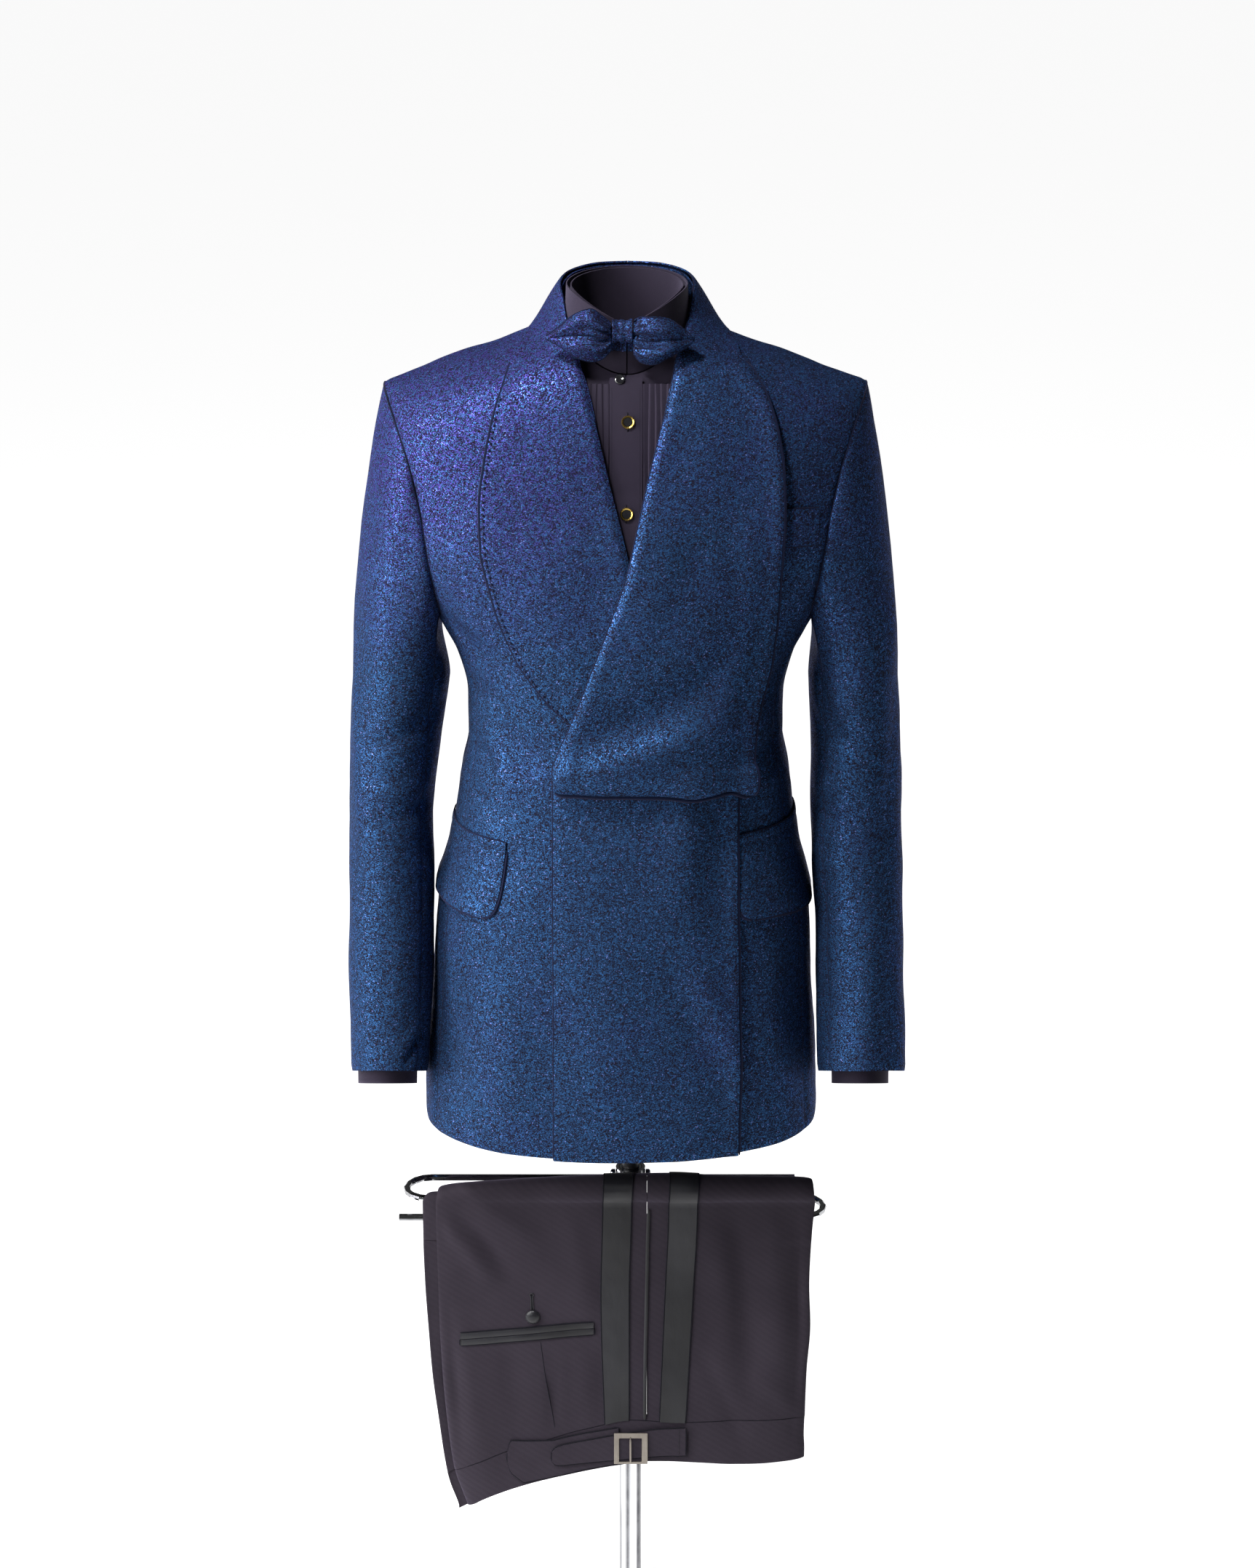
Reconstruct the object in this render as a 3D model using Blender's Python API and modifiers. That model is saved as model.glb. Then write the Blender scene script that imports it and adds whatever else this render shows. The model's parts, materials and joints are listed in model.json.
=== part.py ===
"""A tuxedo: wrap-front dinner jacket with a draped shawl lapel, pleated dress shirt, bow tie,
and trousers folded over the rod of their stand.

Units are metres, +Z is up, and the front of the jacket faces -Y. The origin is the middle of the
neck opening at the height of the shoulder seams' inner ends, where a wearer carries the jacket.
"""
import math

import bmesh
import bpy
from mathutils import Vector

# Driving sizes
CLOTH = 0.0014            # jacket wall
SHIRTING = 0.0010         # shirt wall
WOOL = 0.0010             # trouser wall
GAP = 0.0004              # left at every seam
HEM_Z = -0.786            # jacket hem
CHEST_Z = -0.130          # above this the panels round over to the shoulder seam
UNDERARM_Z = -0.262
ROUND = 2.0 / 2.4         # exponent of the rounding at the shoulder
SEAM_FRONT = math.radians(68)     # front to side panel seam, turned from centre front
SEAM_BACK = math.radians(112)     # side panel to back seam
NECK_X = 0.086            # half width of the neck opening at the shoulder seams
SHOULDER_X = 0.2265
TOP_MID = -0.002
ROD_R = 0.0035
ROD_Z = -0.873
ROD_FRONT_Y = -0.0325
ROD_BACK_Y = 0.0155
POLE_R = 0.0113
POLE_X = 0.003
POLE_BOTTOM = -1.325
LEG_HEM_Z = -0.9140


def table(names, *rows):
    """Columns by name, ordered by the first one."""
    rows = sorted(rows)
    made = {name: [row[i] for row in rows] for i, name in enumerate(names.split())}
    made["key"] = [row[0] for row in rows]
    return made


def at(tab, column, key):
    """Smooth monotone reading of one column."""
    xs, ys = tab["key"], tab[column]
    if key <= xs[0]:
        return ys[0]
    if key >= xs[-1]:
        return ys[-1]
    i = max(j for j in range(len(xs) - 1) if xs[j] <= key)
    slopes = [(ys[j + 1] - ys[j]) / (xs[j + 1] - xs[j]) for j in range(len(xs) - 1)]

    def tangent(j):
        if j == 0:
            return slopes[0]
        if j == len(xs) - 1:
            return slopes[-1]
        a, b = slopes[j - 1], slopes[j]
        return 0.0 if a * b <= 0 else 2 * a * b / (a + b)

    h = xs[i + 1] - xs[i]
    t = (key - xs[i]) / h
    return ((2 * t**3 - 3 * t**2 + 1) * ys[i] + (t**3 - 2 * t**2 + t) * h * tangent(i)
            + (-2 * t**3 + 3 * t**2) * ys[i + 1] + (t**3 - t**2) * h * tangent(i + 1))


def lerp(a, b, t):
    return a + (b - a) * t


def ramp(v):
    v = min(1.0, max(0.0, v))
    return v * v * (3 - 2 * v)


# Cross-sections of the jacket body
BODY = table(
    "z half mid front back square",
    (-0.786, 0.1947, -0.0066, 0.130, 0.118, 2.35),
    (-0.730, 0.1935, -0.0062, 0.130, 0.118, 2.35),
    (-0.620, 0.1855, -0.0045, 0.128, 0.115, 2.35),
    (-0.545, 0.1800, -0.0038, 0.126, 0.111, 2.35),
    (-0.495, 0.1680, -0.0034, 0.122, 0.105, 2.35),
    (-0.455, 0.1630, -0.0030, 0.119, 0.100, 2.35),
    (-0.425, 0.1590, -0.0026, 0.117, 0.096, 2.35),
    (-0.388, 0.1524, -0.0018, 0.116, 0.093, 2.35),
    (-0.345, 0.1527, -0.0014, 0.118, 0.097, 2.35),
    (-0.305, 0.1610, -0.0016, 0.121, 0.104, 2.35),
    (-0.280, 0.1730, -0.0018, 0.123, 0.108, 2.35),
    (-0.240, 0.1990, -0.0020, 0.124, 0.112, 2.35),
    (-0.200, 0.2200, -0.0020, 0.123, 0.114, 2.35),
    (-0.130, 0.2360, -0.0020, 0.114, 0.112, 2.35),
)
# Height of the shoulder line over the distance from the middle
SHOULDER = table(
    "x z",
    (0.0, 0.0120), (0.060, 0.0100), (0.089, 0.0010), (0.1216, -0.0120),
    (0.150, -0.0205), (0.1736, -0.0290), (0.1915, -0.0362), (0.2265, -0.0484), (0.240, -0.053),
)
# Armhole edge below the chest line, front and back
ARMHOLE = table(
    "z front back",
    (-0.262, 0.1737, 0.1737), (-0.235, 0.1785, 0.1815), (-0.200, 0.1840, 0.1905),
    (-0.165, 0.1890, 0.1975), (-0.130, 0.1965, 0.2020),
)


def seam_y(x):
    return 0.012 - 0.007 * min(1.0, abs(x) / SHOULDER_X)


def ring_y(x, z, back):
    """Depth of the body form at width x on the ring of height z."""
    u = min(0.9995, abs(x - at(BODY, "mid", z)) / at(BODY, "half", z))
    n = at(BODY, "square", z)
    d = (1 - u**n) ** (1 / n)
    return d * at(BODY, "back", z) if back else -d * at(BODY, "front", z)


def bare_xz(x, z, back):
    """Point of the body form at width x and height z."""
    if z <= CHEST_Z:
        return Vector((x, ring_y(x, z, back), z))
    top = at(SHOULDER, "z", abs(x - TOP_MID))
    s = min(1.0, (z - CHEST_Z) / (top - CHEST_Z)) ** (1 / ROUND)
    c = math.sqrt(max(0.0, 1 - s * s)) ** ROUND
    y = seam_y(x) + (ring_y(x, CHEST_Z, back) - seam_y(x)) * c
    return Vector((x, y, min(z, top)))


def on_body(x, z, off=0.0, back=False):
    """The same point, moved out from the body by off."""
    h = 0.0008
    p = bare_xz(x, z, back)
    dx = bare_xz(x + h, z, back) - bare_xz(x - h, z, back)
    dz = bare_xz(x, z, back) - bare_xz(x, z - 2 * h, back)
    n = dx.cross(dz)
    n.normalize()
    if n.y * (1 if back else -1) < -0.2:
        n.negate()
    return p + n * off


def row_point(x_top, phi, row, back):
    """Body form by row: below zero a height, above zero degrees up to the shoulder seam."""
    if row <= 0:
        z = row if row < 0 else CHEST_Z
        n = at(BODY, "square", z)
        e = 2 / n
        s, c = math.sin(phi), math.cos(phi)
        x = at(BODY, "mid", z) + at(BODY, "half", z) * math.copysign(abs(s) ** e, s)
        depth = at(BODY, "front", z) if c >= 0 else at(BODY, "back", z)
        return Vector((x, -depth * math.copysign(abs(c) ** e, c), z))
    a = math.radians(row)
    top = at(SHOULDER, "z", abs(x_top - TOP_MID))
    z = CHEST_Z + (top - CHEST_Z) * math.sin(a) ** ROUND
    y0 = ring_y(x_top, CHEST_Z, back)
    return Vector((x_top, seam_y(x_top) + (y0 - seam_y(x_top)) * math.cos(a) ** ROUND, z))


def phi_of(x, z):
    u = (x - at(BODY, "mid", z)) / at(BODY, "half", z)
    u = max(-0.9999, min(0.9999, u))
    return math.asin(math.copysign(abs(u) ** (at(BODY, "square", z) / 2), u))


def outer_x(row, back):
    """Distance of the armhole edge from the middle, for the rows that meet it."""
    column = "back" if back else "front"
    base = at(ARMHOLE, column, CHEST_Z if row >= 0 else row)
    if row <= 0:
        return base
    return base + (SHOULDER_X - base) * math.sin(math.radians(row))


MATERIALS = {}


def material(name, colour, rough=0.6, metal=0.0):
    if name not in MATERIALS:
        made = bpy.data.materials.new(name)
        made.use_nodes = True
        shader = made.node_tree.nodes["Principled BSDF"]
        shader.inputs["Base Color"].default_value = (*colour, 1)
        shader.inputs["Roughness"].default_value = rough
        shader.inputs["Metallic"].default_value = metal
        made.diffuse_color = (*colour, 1)
        MATERIALS[name] = made
    return MATERIALS[name]


JACKET = ("jacket_cloth", (0.012, 0.022, 0.085), 0.55)
SHIRT = ("shirt_cloth", (0.018, 0.013, 0.022), 0.8)
TROUSER = ("trouser_wool", (0.016, 0.013, 0.019), 0.8)
SATIN = ("black_satin", (0.012, 0.012, 0.015), 0.35)
CHROME = ("chrome", (0.75, 0.76, 0.78), 0.12, 1.0)
NICKEL = ("antique_nickel", (0.30, 0.27, 0.24), 0.35, 1.0)
GOLD = ("gilt_brass", (0.80, 0.55, 0.15), 0.25, 1.0)
ONYX = ("black_enamel", (0.006, 0.006, 0.007), 0.15)
DARK = ("dark_paint", (0.02, 0.02, 0.022), 0.45)


def finish(mesh, name, paint):
    obj = bpy.data.objects.new(name, mesh)
    bpy.context.scene.collection.objects.link(obj)
    mesh.materials.append(material(*paint))
    return obj


def wall(name, grid, thick, paint, closed=False, mask=None, inward=None, normals=None):
    """A cloth wall: grid is its outer surface by rows, and the other side lies thick inside.

    closed joins the last column to the first. mask(r, c) says which cells are cloth.
    normals are the outward directions, read off the grid where none are given.
    inward maps (r, c) to a direction for the other side where the seam sets it.
    """
    rows, cols = len(grid), len(grid[0])
    cells = cols if closed else cols - 1
    given = normals
    normals = [list(line) for line in given] if given else []
    for r in range(0 if given else rows):
        line = []
        for c in range(cols):
            r0, r1 = max(0, r - 1), min(rows - 1, r + 1)
            if closed:
                c0, c1 = (c - 1) % cols, (c + 1) % cols
            else:
                c0, c1 = max(0, c - 1), min(cols - 1, c + 1)
            n = (grid[r][c1] - grid[r][c0]).cross(grid[r1][c] - grid[r0][c])
            n.normalize()
            line.append(n)
        normals.append(line)
    if inward:
        for (r, c), direction in inward.items():
            normals[r][c] = -direction.normalized()
    made = bmesh.new()
    points = {}

    def vertex(r, c, side):
        key = (r, c % cols, side)
        if key not in points:
            p = grid[r][c % cols]
            if side:
                p = p - normals[r][c % cols] * thick
            points[key] = made.verts.new(p)
        return points[key]

    def is_cell(r, c):
        if closed:
            c %= cells
        if not (0 <= r < rows - 1 and 0 <= c < cells):
            return False
        return mask is None or mask(r, c)

    for r in range(rows - 1):
        for c in range(cells):
            if not is_cell(r, c):
                continue
            made.faces.new([vertex(r, c, 0), vertex(r, c + 1, 0), vertex(r + 1, c + 1, 0), vertex(r + 1, c, 0)])
            made.faces.new([vertex(r, c, 1), vertex(r + 1, c, 1), vertex(r + 1, c + 1, 1), vertex(r, c + 1, 1)])
            for other, a, b in (
                ((r - 1, c), (r, c), (r, c + 1)),
                ((r + 1, c), (r + 1, c + 1), (r + 1, c)),
                ((r, c - 1), (r + 1, c), (r, c)),
                ((r, c + 1), (r, c + 1), (r + 1, c + 1)),
            ):
                if not is_cell(*other):
                    made.faces.new([vertex(*b, 0), vertex(*a, 0), vertex(*a, 1), vertex(*b, 1)])
    bmesh.ops.recalc_face_normals(made, faces=made.faces)
    mesh = bpy.data.meshes.new(name)
    made.to_mesh(mesh)
    made.free()
    mesh.shade_smooth()
    mesh.set_sharp_from_angle(angle=math.radians(40))
    return finish(mesh, name, paint)


def steps(count):
    return [i / count for i in range(count + 1)]


# ---------------------------------------------------------------- jacket body
BODY_ROWS = [-0.786, -0.700, -0.620, -0.560, -0.510, -0.475, -0.445, -0.415, -0.385,
             -0.352, -0.320, -0.290, -0.262, -0.232, -0.200, -0.165, 0, 18, 36, 54, 72, 89.965]
LOWER_ROWS = [r for r in BODY_ROWS if r < 0 and r <= UNDERARM_Z]

# Inner edges of the two fronts. The wearer's right front runs on under the left one.
FRONT_EDGE = table(
    "row right left",
    (-0.786, 0.085, -0.0655), (-0.430, 0.085, -0.0650), (-0.385, 0.082, -0.0590),
    (-0.352, 0.068, -0.0460), (-0.320, 0.048, -0.0360), (-0.290, 0.030, -0.0260),
    (-0.262, 0.018, -0.0150), (-0.232, 0.008, -0.0040), (-0.200, -0.004, 0.0060),
    (-0.165, -0.013, 0.0150), (0, -0.0205, 0.0250),
)


def inner_x(row, side):
    column = "left" if side > 0 else "right"
    if row < 0:
        return at(FRONT_EDGE, column, row)
    start = at(FRONT_EDGE, column, 0)
    stop = side * NECK_X + TOP_MID
    t = row / 90
    return start + (stop - start) * (0.45 * t + 0.55 * t**3)


def left_rise(x, z):
    """How far the wearer's left front stands off the form where it covers the right one."""
    down = ramp((-0.155 - z) / 0.040)
    over = 0.0023 * ramp((0.125 - x) / 0.040) * down
    lapel = 0.0031 * ramp((0.060 - x) / 0.045) * down * ramp((z + 0.385) / 0.030)
    return over + lapel


def form_frame(x_top, phi, row, back):
    """Point of the body form and its outward direction."""
    p = row_point(x_top, phi, row, back)
    if row <= 0:
        z = row if row < 0 else CHEST_Z
        du = row_point(0, phi + 0.01, row, back) - row_point(0, phi - 0.01, row, back)
        dv = row_point(0, phi, min(z + 0.008, CHEST_Z), back) - row_point(0, phi, z - 0.008, back)
        n = du.cross(dv)
        out = Vector((p.x - at(BODY, "mid", z), p.y, 0))
    else:
        h = 0.004
        du = row_point(x_top + h, 0, row, back) - row_point(x_top - h, 0, row, back)
        if row > 85:
            dv = Vector((0, 1, 0))
        else:
            dv = row_point(x_top, 0, row + 3, back) - row_point(x_top, 0, max(0.5, row - 3), back)
        n = du.cross(dv)
        out = Vector((p.x * 0.3, p.y, p.z - CHEST_Z + 0.02))
    n.normalize()
    if n.dot(out) < 0:
        n.negate()
    return p, n


def front_grid(side, rows, count, off=0.0, rise=None, edge=None, trim=GAP / 2, armhole=0.0):
    """Rows of (point, direction) from the inner edge to the side seam or armhole."""
    grid = []
    for row in rows:
        z = row if row < 0 else CHEST_Z
        x_in = edge(row) if edge else inner_x(row, side)
        if row < UNDERARM_Z + 1e-6:
            out = side * (SEAM_FRONT - trim / 0.16)
        else:
            out = phi_of(side * (outer_x(min(row, 0), False) - armhole) + at(BODY, "mid", z), z)
        start = phi_of(x_in, z) if row <= 0 else phi_of(x_in, CHEST_Z)
        line = []
        for f in steps(count):
            if row <= 0:
                p, n = form_frame(0, lerp(start, out, f), row, False)
            else:
                last = phi_of(side * (outer_x(row, False) - armhole) + TOP_MID, CHEST_Z)
                x = row_point(0, lerp(start, last, f), CHEST_Z, False).x
                p, n = form_frame(x, 0, row, False)
            amount = off + (rise(p.x, p.z) if rise else 0.0)
            line.append((p + n * amount, n))
        grid.append(line)
    return grid


NECK_BACK_ANGLE = 62.0


def back_grid(side, rows, count, off=0.0, neck=NECK_X, neck_angle=NECK_BACK_ANGLE, trim=GAP / 2,
              armhole=0.0):
    """Rows of (point, direction) from the centre back seam to the side seam or armhole."""
    grid = []
    for row in rows:
        z = row if row < 0 else CHEST_Z
        mid = at(BODY, "mid", z)
        start = (trim / at(BODY, "half", z)) ** (at(BODY, "square", z) / 2)
        if row < UNDERARM_Z + 1e-6:
            out = math.pi - SEAM_BACK - trim / 0.16
        else:
            out = phi_of(outer_x(min(row, 0), True) - armhole + mid, z)
        line = []
        for f in steps(count):
            if row <= 0:
                phi = math.pi - lerp(start, out, f)
                p, n = form_frame(0, side * phi, row, True)
            else:
                last = phi_of(outer_x(row, True) - armhole + TOP_MID, CHEST_Z)
                x = row_point(0, lerp(start, last, f), CHEST_Z, False).x - TOP_MID
                reach = lerp(neck_angle, 89.965, min(1.0, max(0.0, x / neck)) ** 2.2)
                p, n = form_frame(TOP_MID + side * x, 0, row * reach / 89.965, True)
            line.append((p + n * off, n))
        grid.append(line)
    return grid


def side_grid(side, rows, count, off=0.0, trim=GAP / 2):
    grid = []
    for row in rows:
        a, b = SEAM_FRONT + trim / 0.16, SEAM_BACK - trim / 0.16
        line = []
        for f in steps(count):
            p, n = form_frame(0, side * lerp(a, b, f), row, False)
            line.append((p + n * off, n))
        grid.append(line)
    return grid


def form_wall(name, pairs, thick, paint, mask=None):
    wall(name, [[p for p, _ in line] for line in pairs], thick, paint, mask=mask,
         normals=[[n for _, n in line] for line in pairs])


def build_body():
    for side, name in ((-1, "front_right"), (1, "front_left")):
        rise = left_rise if side > 0 else None
        form_wall("jacket_" + name, front_grid(side, BODY_ROWS, 8, rise=rise), CLOTH, JACKET)
    for side, name in ((-1, "right"), (1, "left")):
        form_wall("jacket_back_" + name, back_grid(side, BODY_ROWS, 6), CLOTH, JACKET)
        form_wall("jacket_side_" + name, side_grid(side, LOWER_ROWS, 3), CLOTH, JACKET)


# ---------------------------------------------------------------- sleeves
SLEEVE_RIGHT = table(
    "z x rx y ry slope",
    (-0.335, 0.2180, 0.0468, 0.002, 0.070, 0.00), (-0.395, 0.2245, 0.0440, 0.003, 0.066, -0.04),
    (-0.480, 0.2305, 0.0408, -0.004, 0.060, -0.12), (-0.600, 0.2312, 0.0418, -0.026, 0.055, -0.30),
    (-0.7255, 0.2334, 0.0376, -0.053, 0.049, -0.43),
)
SLEEVE_LEFT = table(
    "z x rx y ry slope",
    (-0.335, 0.2168, 0.0433, 0.002, 0.070, 0.00), (-0.395, 0.2215, 0.0435, 0.003, 0.066, -0.04),
    (-0.480, 0.2230, 0.0445, -0.004, 0.060, -0.12), (-0.600, 0.2270, 0.0430, -0.026, 0.055, -0.30),
    (-0.7255, 0.2300, 0.0438, -0.053, 0.049, -0.43),
)
SEAM_A = math.radians(142)    # front seam of the sleeve, turned from its outer side
SEAM_B = math.radians(222)    # back seam
SLEEVE_ROWS = [-0.400, -0.460, -0.530, -0.590, -0.655, -0.7255]


def sleeve_ring(side, z, angle, inset):
    tab = SLEEVE_LEFT if side > 0 else SLEEVE_RIGHT
    rx, ry = at(tab, "rx", z) - inset, at(tab, "ry", z) - inset
    x = side * (at(tab, "x", z) + rx * math.cos(angle))
    dy = -ry * math.sin(angle)
    return Vector((x, at(tab, "y", z) + dy, z + at(tab, "slope", z) * dy))


def sleeve_grid(side, edge, angles, blend, rows, inset=0.0, stand=0.0005, stop=None):
    """Rows from the armhole edge (points in the order of angles) down to the sleeve hem."""
    start = []
    for p in edge:
        start.append(p + Vector((side * stand, 0, 0)))
    grid = [start]
    ring_z = -0.335
    for s in blend:
        line = []
        for p0, angle in zip(start, angles):
            p1 = sleeve_ring(side, ring_z, angle, inset)
            span = (p1 - p0).length
            t0 = Vector((side * 0.12, -0.10 * math.sin(angle), -0.5)) * span
            t1 = Vector((0, 0, -1.0)) * span
            h00, h10 = 2 * s**3 - 3 * s**2 + 1, s**3 - 2 * s**2 + s
            h01, h11 = -2 * s**3 + 3 * s**2, s**3 - s**2
            line.append(p0 * h00 + t0 * h10 + p1 * h01 + t1 * h11)
        grid.append(line)
    for z in rows:
        grid.append([sleeve_ring(side, z, angle, inset) for angle in angles])
    return grid


def armhole_loop(side, rows, count, off=0.0, armhole=0.0):
    """Armhole edge from the front underarm corner over the shoulder to the back one, then under."""
    upper = [r for r in rows if r >= UNDERARM_Z - 1e-6 or r >= 0]
    front = [line[-1][0] for line in front_grid(side, upper, 2, off, trim=0.0, armhole=armhole)]
    back = [line[-1][0] for line in back_grid(side, upper, 2, off, trim=0.0, armhole=armhole)]
    n = len(front) - 1
    over = front + back[::-1][1:]
    angles = [SEAM_A * (1 - i / n) for i in range(n + 1)]
    angles += [-(2 * math.pi - SEAM_B) * (i / n) for i in range(1, n + 1)]
    under = []
    for f in steps(count)[1:-1]:
        p, n = form_frame(0, side * lerp(SEAM_BACK, SEAM_FRONT, f), UNDERARM_Z, False)
        under.append(p + n * off)
    under_angles = [lerp(SEAM_B, SEAM_A, f) for f in steps(count)[1:-1]]
    return over, angles, under, under_angles


def sleeve_inward(side, edge_over, edge_under):
    """Direction of the wall's inner side along the armhole, square to it and clear of the body."""
    loop = edge_over + edge_under
    n = len(loop)
    middle = sum(loop, Vector((0, 0, 0))) / n
    found = []
    for i in range(n):
        along = loop[(i + 1) % n] - loop[i - 1]
        inner = along.cross(Vector((1, 0, 0)))
        inner.x = 0
        inner.normalize()
        if inner.dot(middle - loop[i]) < 0:
            inner.negate()
        found.append(inner)
    return found


BLEND = [0.11, 0.27, 0.50, 0.76, 1.0]


def loop_normals(grid, first=None):
    """Outward directions of a closed tube given by rows, with the first row's set apart."""
    rows, n = len(grid), len(grid[0])
    found = []
    for r in range(rows):
        middle = sum(grid[r], Vector((0, 0, 0))) / n
        line = []
        for c in range(n):
            r0, r1 = max(0, r - 1), min(rows - 1, r + 1)
            d = (grid[r][(c + 1) % n] - grid[r][c - 1]).cross(grid[r1][c] - grid[r0][c])
            d.normalize()
            if r > 1 and d.dot(grid[r][c] - middle) < 0:
                d.negate()
            elif r <= 1 and d.dot(grid[2][c] - sum(grid[2], Vector((0, 0, 0))) / n) < 0:
                d.negate()
            line.append(d)
        found.append(line)
    if first:
        found[0] = [-d for d in first]
    return found


def split_tube(name, grid, normals, columns, thick, paint, gap=GAP):
    """One piece of a tube: columns in order, drawn in half a seam at its first and last one."""
    pairs = []
    for r, (line, ns) in enumerate(zip(grid, normals)):
        points = [line[c] for c in columns]
        # the tube folds sharply where it leaves the armhole, so its seam opens a little there
        half = gap / 2 * (3 if r < 4 else 1)
        a = points[0] + (points[1] - points[0]).normalized() * half
        b = points[-1] + (points[-2] - points[-1]).normalized() * half
        points = [a] + points[1:-1] + [b]
        pairs.append([(p, ns[c]) for p, c in zip(points, columns)])
    form_wall(name, pairs, thick, paint)


def sleeve_tube(side, rows, count, blend, lower, off=0.0, armhole=0.0, inset=0.0):
    over, angles, under, under_angles = armhole_loop(side, rows, count, off, armhole)
    grid = sleeve_grid(side, over + under, angles + under_angles, blend, lower, inset)
    return grid, loop_normals(grid, sleeve_inward(side, over, under)), len(over)


def build_sleeves():
    for side, name in ((-1, "right"), (1, "left")):
        grid, normals, n = sleeve_tube(side, BODY_ROWS, 3, BLEND, SLEEVE_ROWS)
        split_tube("sleeve_top_" + name, grid, normals, list(range(n)), CLOTH, JACKET)
        under = list(range(n - 1, len(grid[0]))) + [0]
        split_tube("sleeve_under_" + name, grid, normals, under, CLOTH, JACKET)


# ---------------------------------------------------------------- lapels and collar
def bezier(a, m, b, t):
    return a * (1 - t) ** 2 + m * 2 * t * (1 - t) + b * t * t


# Stations of a shawl from the centre back round the neck: roll edge, bend and outer edge
NECK_STATIONS = (
    # roll x, y, z          bend x, y, z              outer x, z, back
    ((0.0003, 0.0665, 0.0565), (0.0003, 0.087, 0.047), (0.0003, -0.014, True)),
    ((0.034, 0.0580, 0.0555), (0.044, 0.078, 0.044), (0.052, -0.011, True)),
    ((0.056, 0.0380, 0.0515), (0.072, 0.051, 0.034), (0.081, -0.003, True)),
    ((0.0640, 0.012, 0.0445), (0.0775, 0.012, 0.014), (0.0945, 0.0, None)),
    ((0.0605, -0.018, 0.0330), (0.0755, -0.020, 0.004), (0.1000, -0.008, False)),
    ((0.0545, -0.046, 0.0100), (0.0735, -0.054, -0.005), (0.1050, -0.018, False)),
)
RIGHT_STATIONS = table(
    "k rx rz ox oz off",
    (6, -0.0430, -0.018, -0.1115, -0.036, 0.0048), (7, -0.0335, -0.052, -0.1210, -0.066, 0.0048),
    (8, -0.0240, -0.088, -0.1290, -0.103, 0.0046), (9, -0.0155, -0.124, -0.1335, -0.144, 0.0042),
    (10, -0.0060, -0.162, -0.1325, -0.184, 0.0034), (11, 0.0030, -0.202, -0.1258, -0.219, 0.0030),
    (12, 0.0080, -0.242, -0.1150, -0.257, 0.0030), (13, 0.0080, -0.277, -0.1010, -0.291, 0.0030),
    (14, 0.0000, -0.310, -0.0835, -0.317, 0.0030), (15, -0.0160, -0.334, -0.0660, -0.337, 0.0030),
    (16, -0.0360, -0.3490, -0.0500, -0.3505, 0.0030),
)
LEFT_STATIONS = table(
    "k rx rz ox oz off",
    (6, 0.0440, -0.0160, 0.1130, -0.0270, 0.0048), (7, 0.0375, -0.046, 0.1255, -0.050, 0.0048),
    (8, 0.0290, -0.078, 0.1345, -0.080, 0.0048), (9, 0.0185, -0.120, 0.1392, -0.115, 0.0050),
    (10, 0.0095, -0.162, 0.1398, -0.155, 0.0056), (11, -0.0010, -0.207, 0.1378, -0.198, 0.0080),
    (12, -0.0165, -0.252, 0.1350, -0.245, 0.0090), (13, -0.0340, -0.300, 0.1285, -0.290, 0.0100),
    (14, -0.0480, -0.340, 0.1185, -0.333, 0.0118), (15, -0.0590, -0.368, 0.1120, -0.365, 0.0142),
    (16, -0.0650, -0.3860, 0.1085, -0.3920, 0.0172),
)
# The draped lapel's fold at the waist: how far below the last station, and off the body
FOLD = ((-0.0085, 0.0196), (-0.0165, 0.0208), (-0.0235, 0.0190), (-0.0268, 0.0145),
        (-0.0255, 0.0100), (-0.0195, 0.0070), (-0.0100, 0.0058))
EDGE_OFF = 0.0030         # the lapel's outer edge lies down on the front


def neck_lapel_row(station, side, spread):
    (rx, ry, rz), (mx, my, mz), (ox, oz, back) = station
    r, m = Vector((side * rx, ry, rz)), Vector((side * mx, my, mz))
    if back is None:
        top = at(SHOULDER, "z", abs(ox - TOP_MID))
        o = Vector((side * ox, seam_y(ox), top + 0.0036))
    else:
        o = on_body(side * ox, oz, 0.0036, back)
    return [bezier(r, m, o, t) for t in spread]


def front_lapel_row(tab, k, spread, drop=0.0, off=None):
    row = []
    for t in spread:
        x = lerp(at(tab, "rx", k), at(tab, "ox", k), t)
        z = lerp(at(tab, "rz", k), at(tab, "oz", k), t)
        stand = at(tab, "off", k) if off is None else off
        if off is None:
            low = max(EDGE_OFF, stand - 0.0050)
            stand = stand - (stand - low) * ramp((t - 0.80) / 0.20) - 0.0012 * ramp((0.06 - t) / 0.06)
        p = on_body(x, z + drop, 0.0)
        n = (on_body(x, z + drop, 0.01) - p).normalized()
        if drop:
            n = Vector((n.x, n.y, 0)).normalized()
        row.append(p + n * (stand + (left_rise(x, z) if tab is LEFT_STATIONS and k < 11 else 0.0)))
    return row


SPREAD = [0.0, 0.06, 0.24, 0.45, 0.65, 0.84, 1.0]


def build_lapels():
    for side, tab, name in ((-1, RIGHT_STATIONS, "right"), (1, LEFT_STATIONS, "left")):
        grid = [neck_lapel_row(station, side, SPREAD) for station in NECK_STATIONS]
        grid += [front_lapel_row(tab, k, SPREAD) for k in range(6, 17)]
        if side > 0:
            grid += [front_lapel_row(tab, 16, SPREAD, drop, off) for drop, off in FOLD]
        if side > 0:
            grid = [line[::-1] for line in grid]
        wall("lapel_" + name, grid, CLOTH, JACKET)


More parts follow.
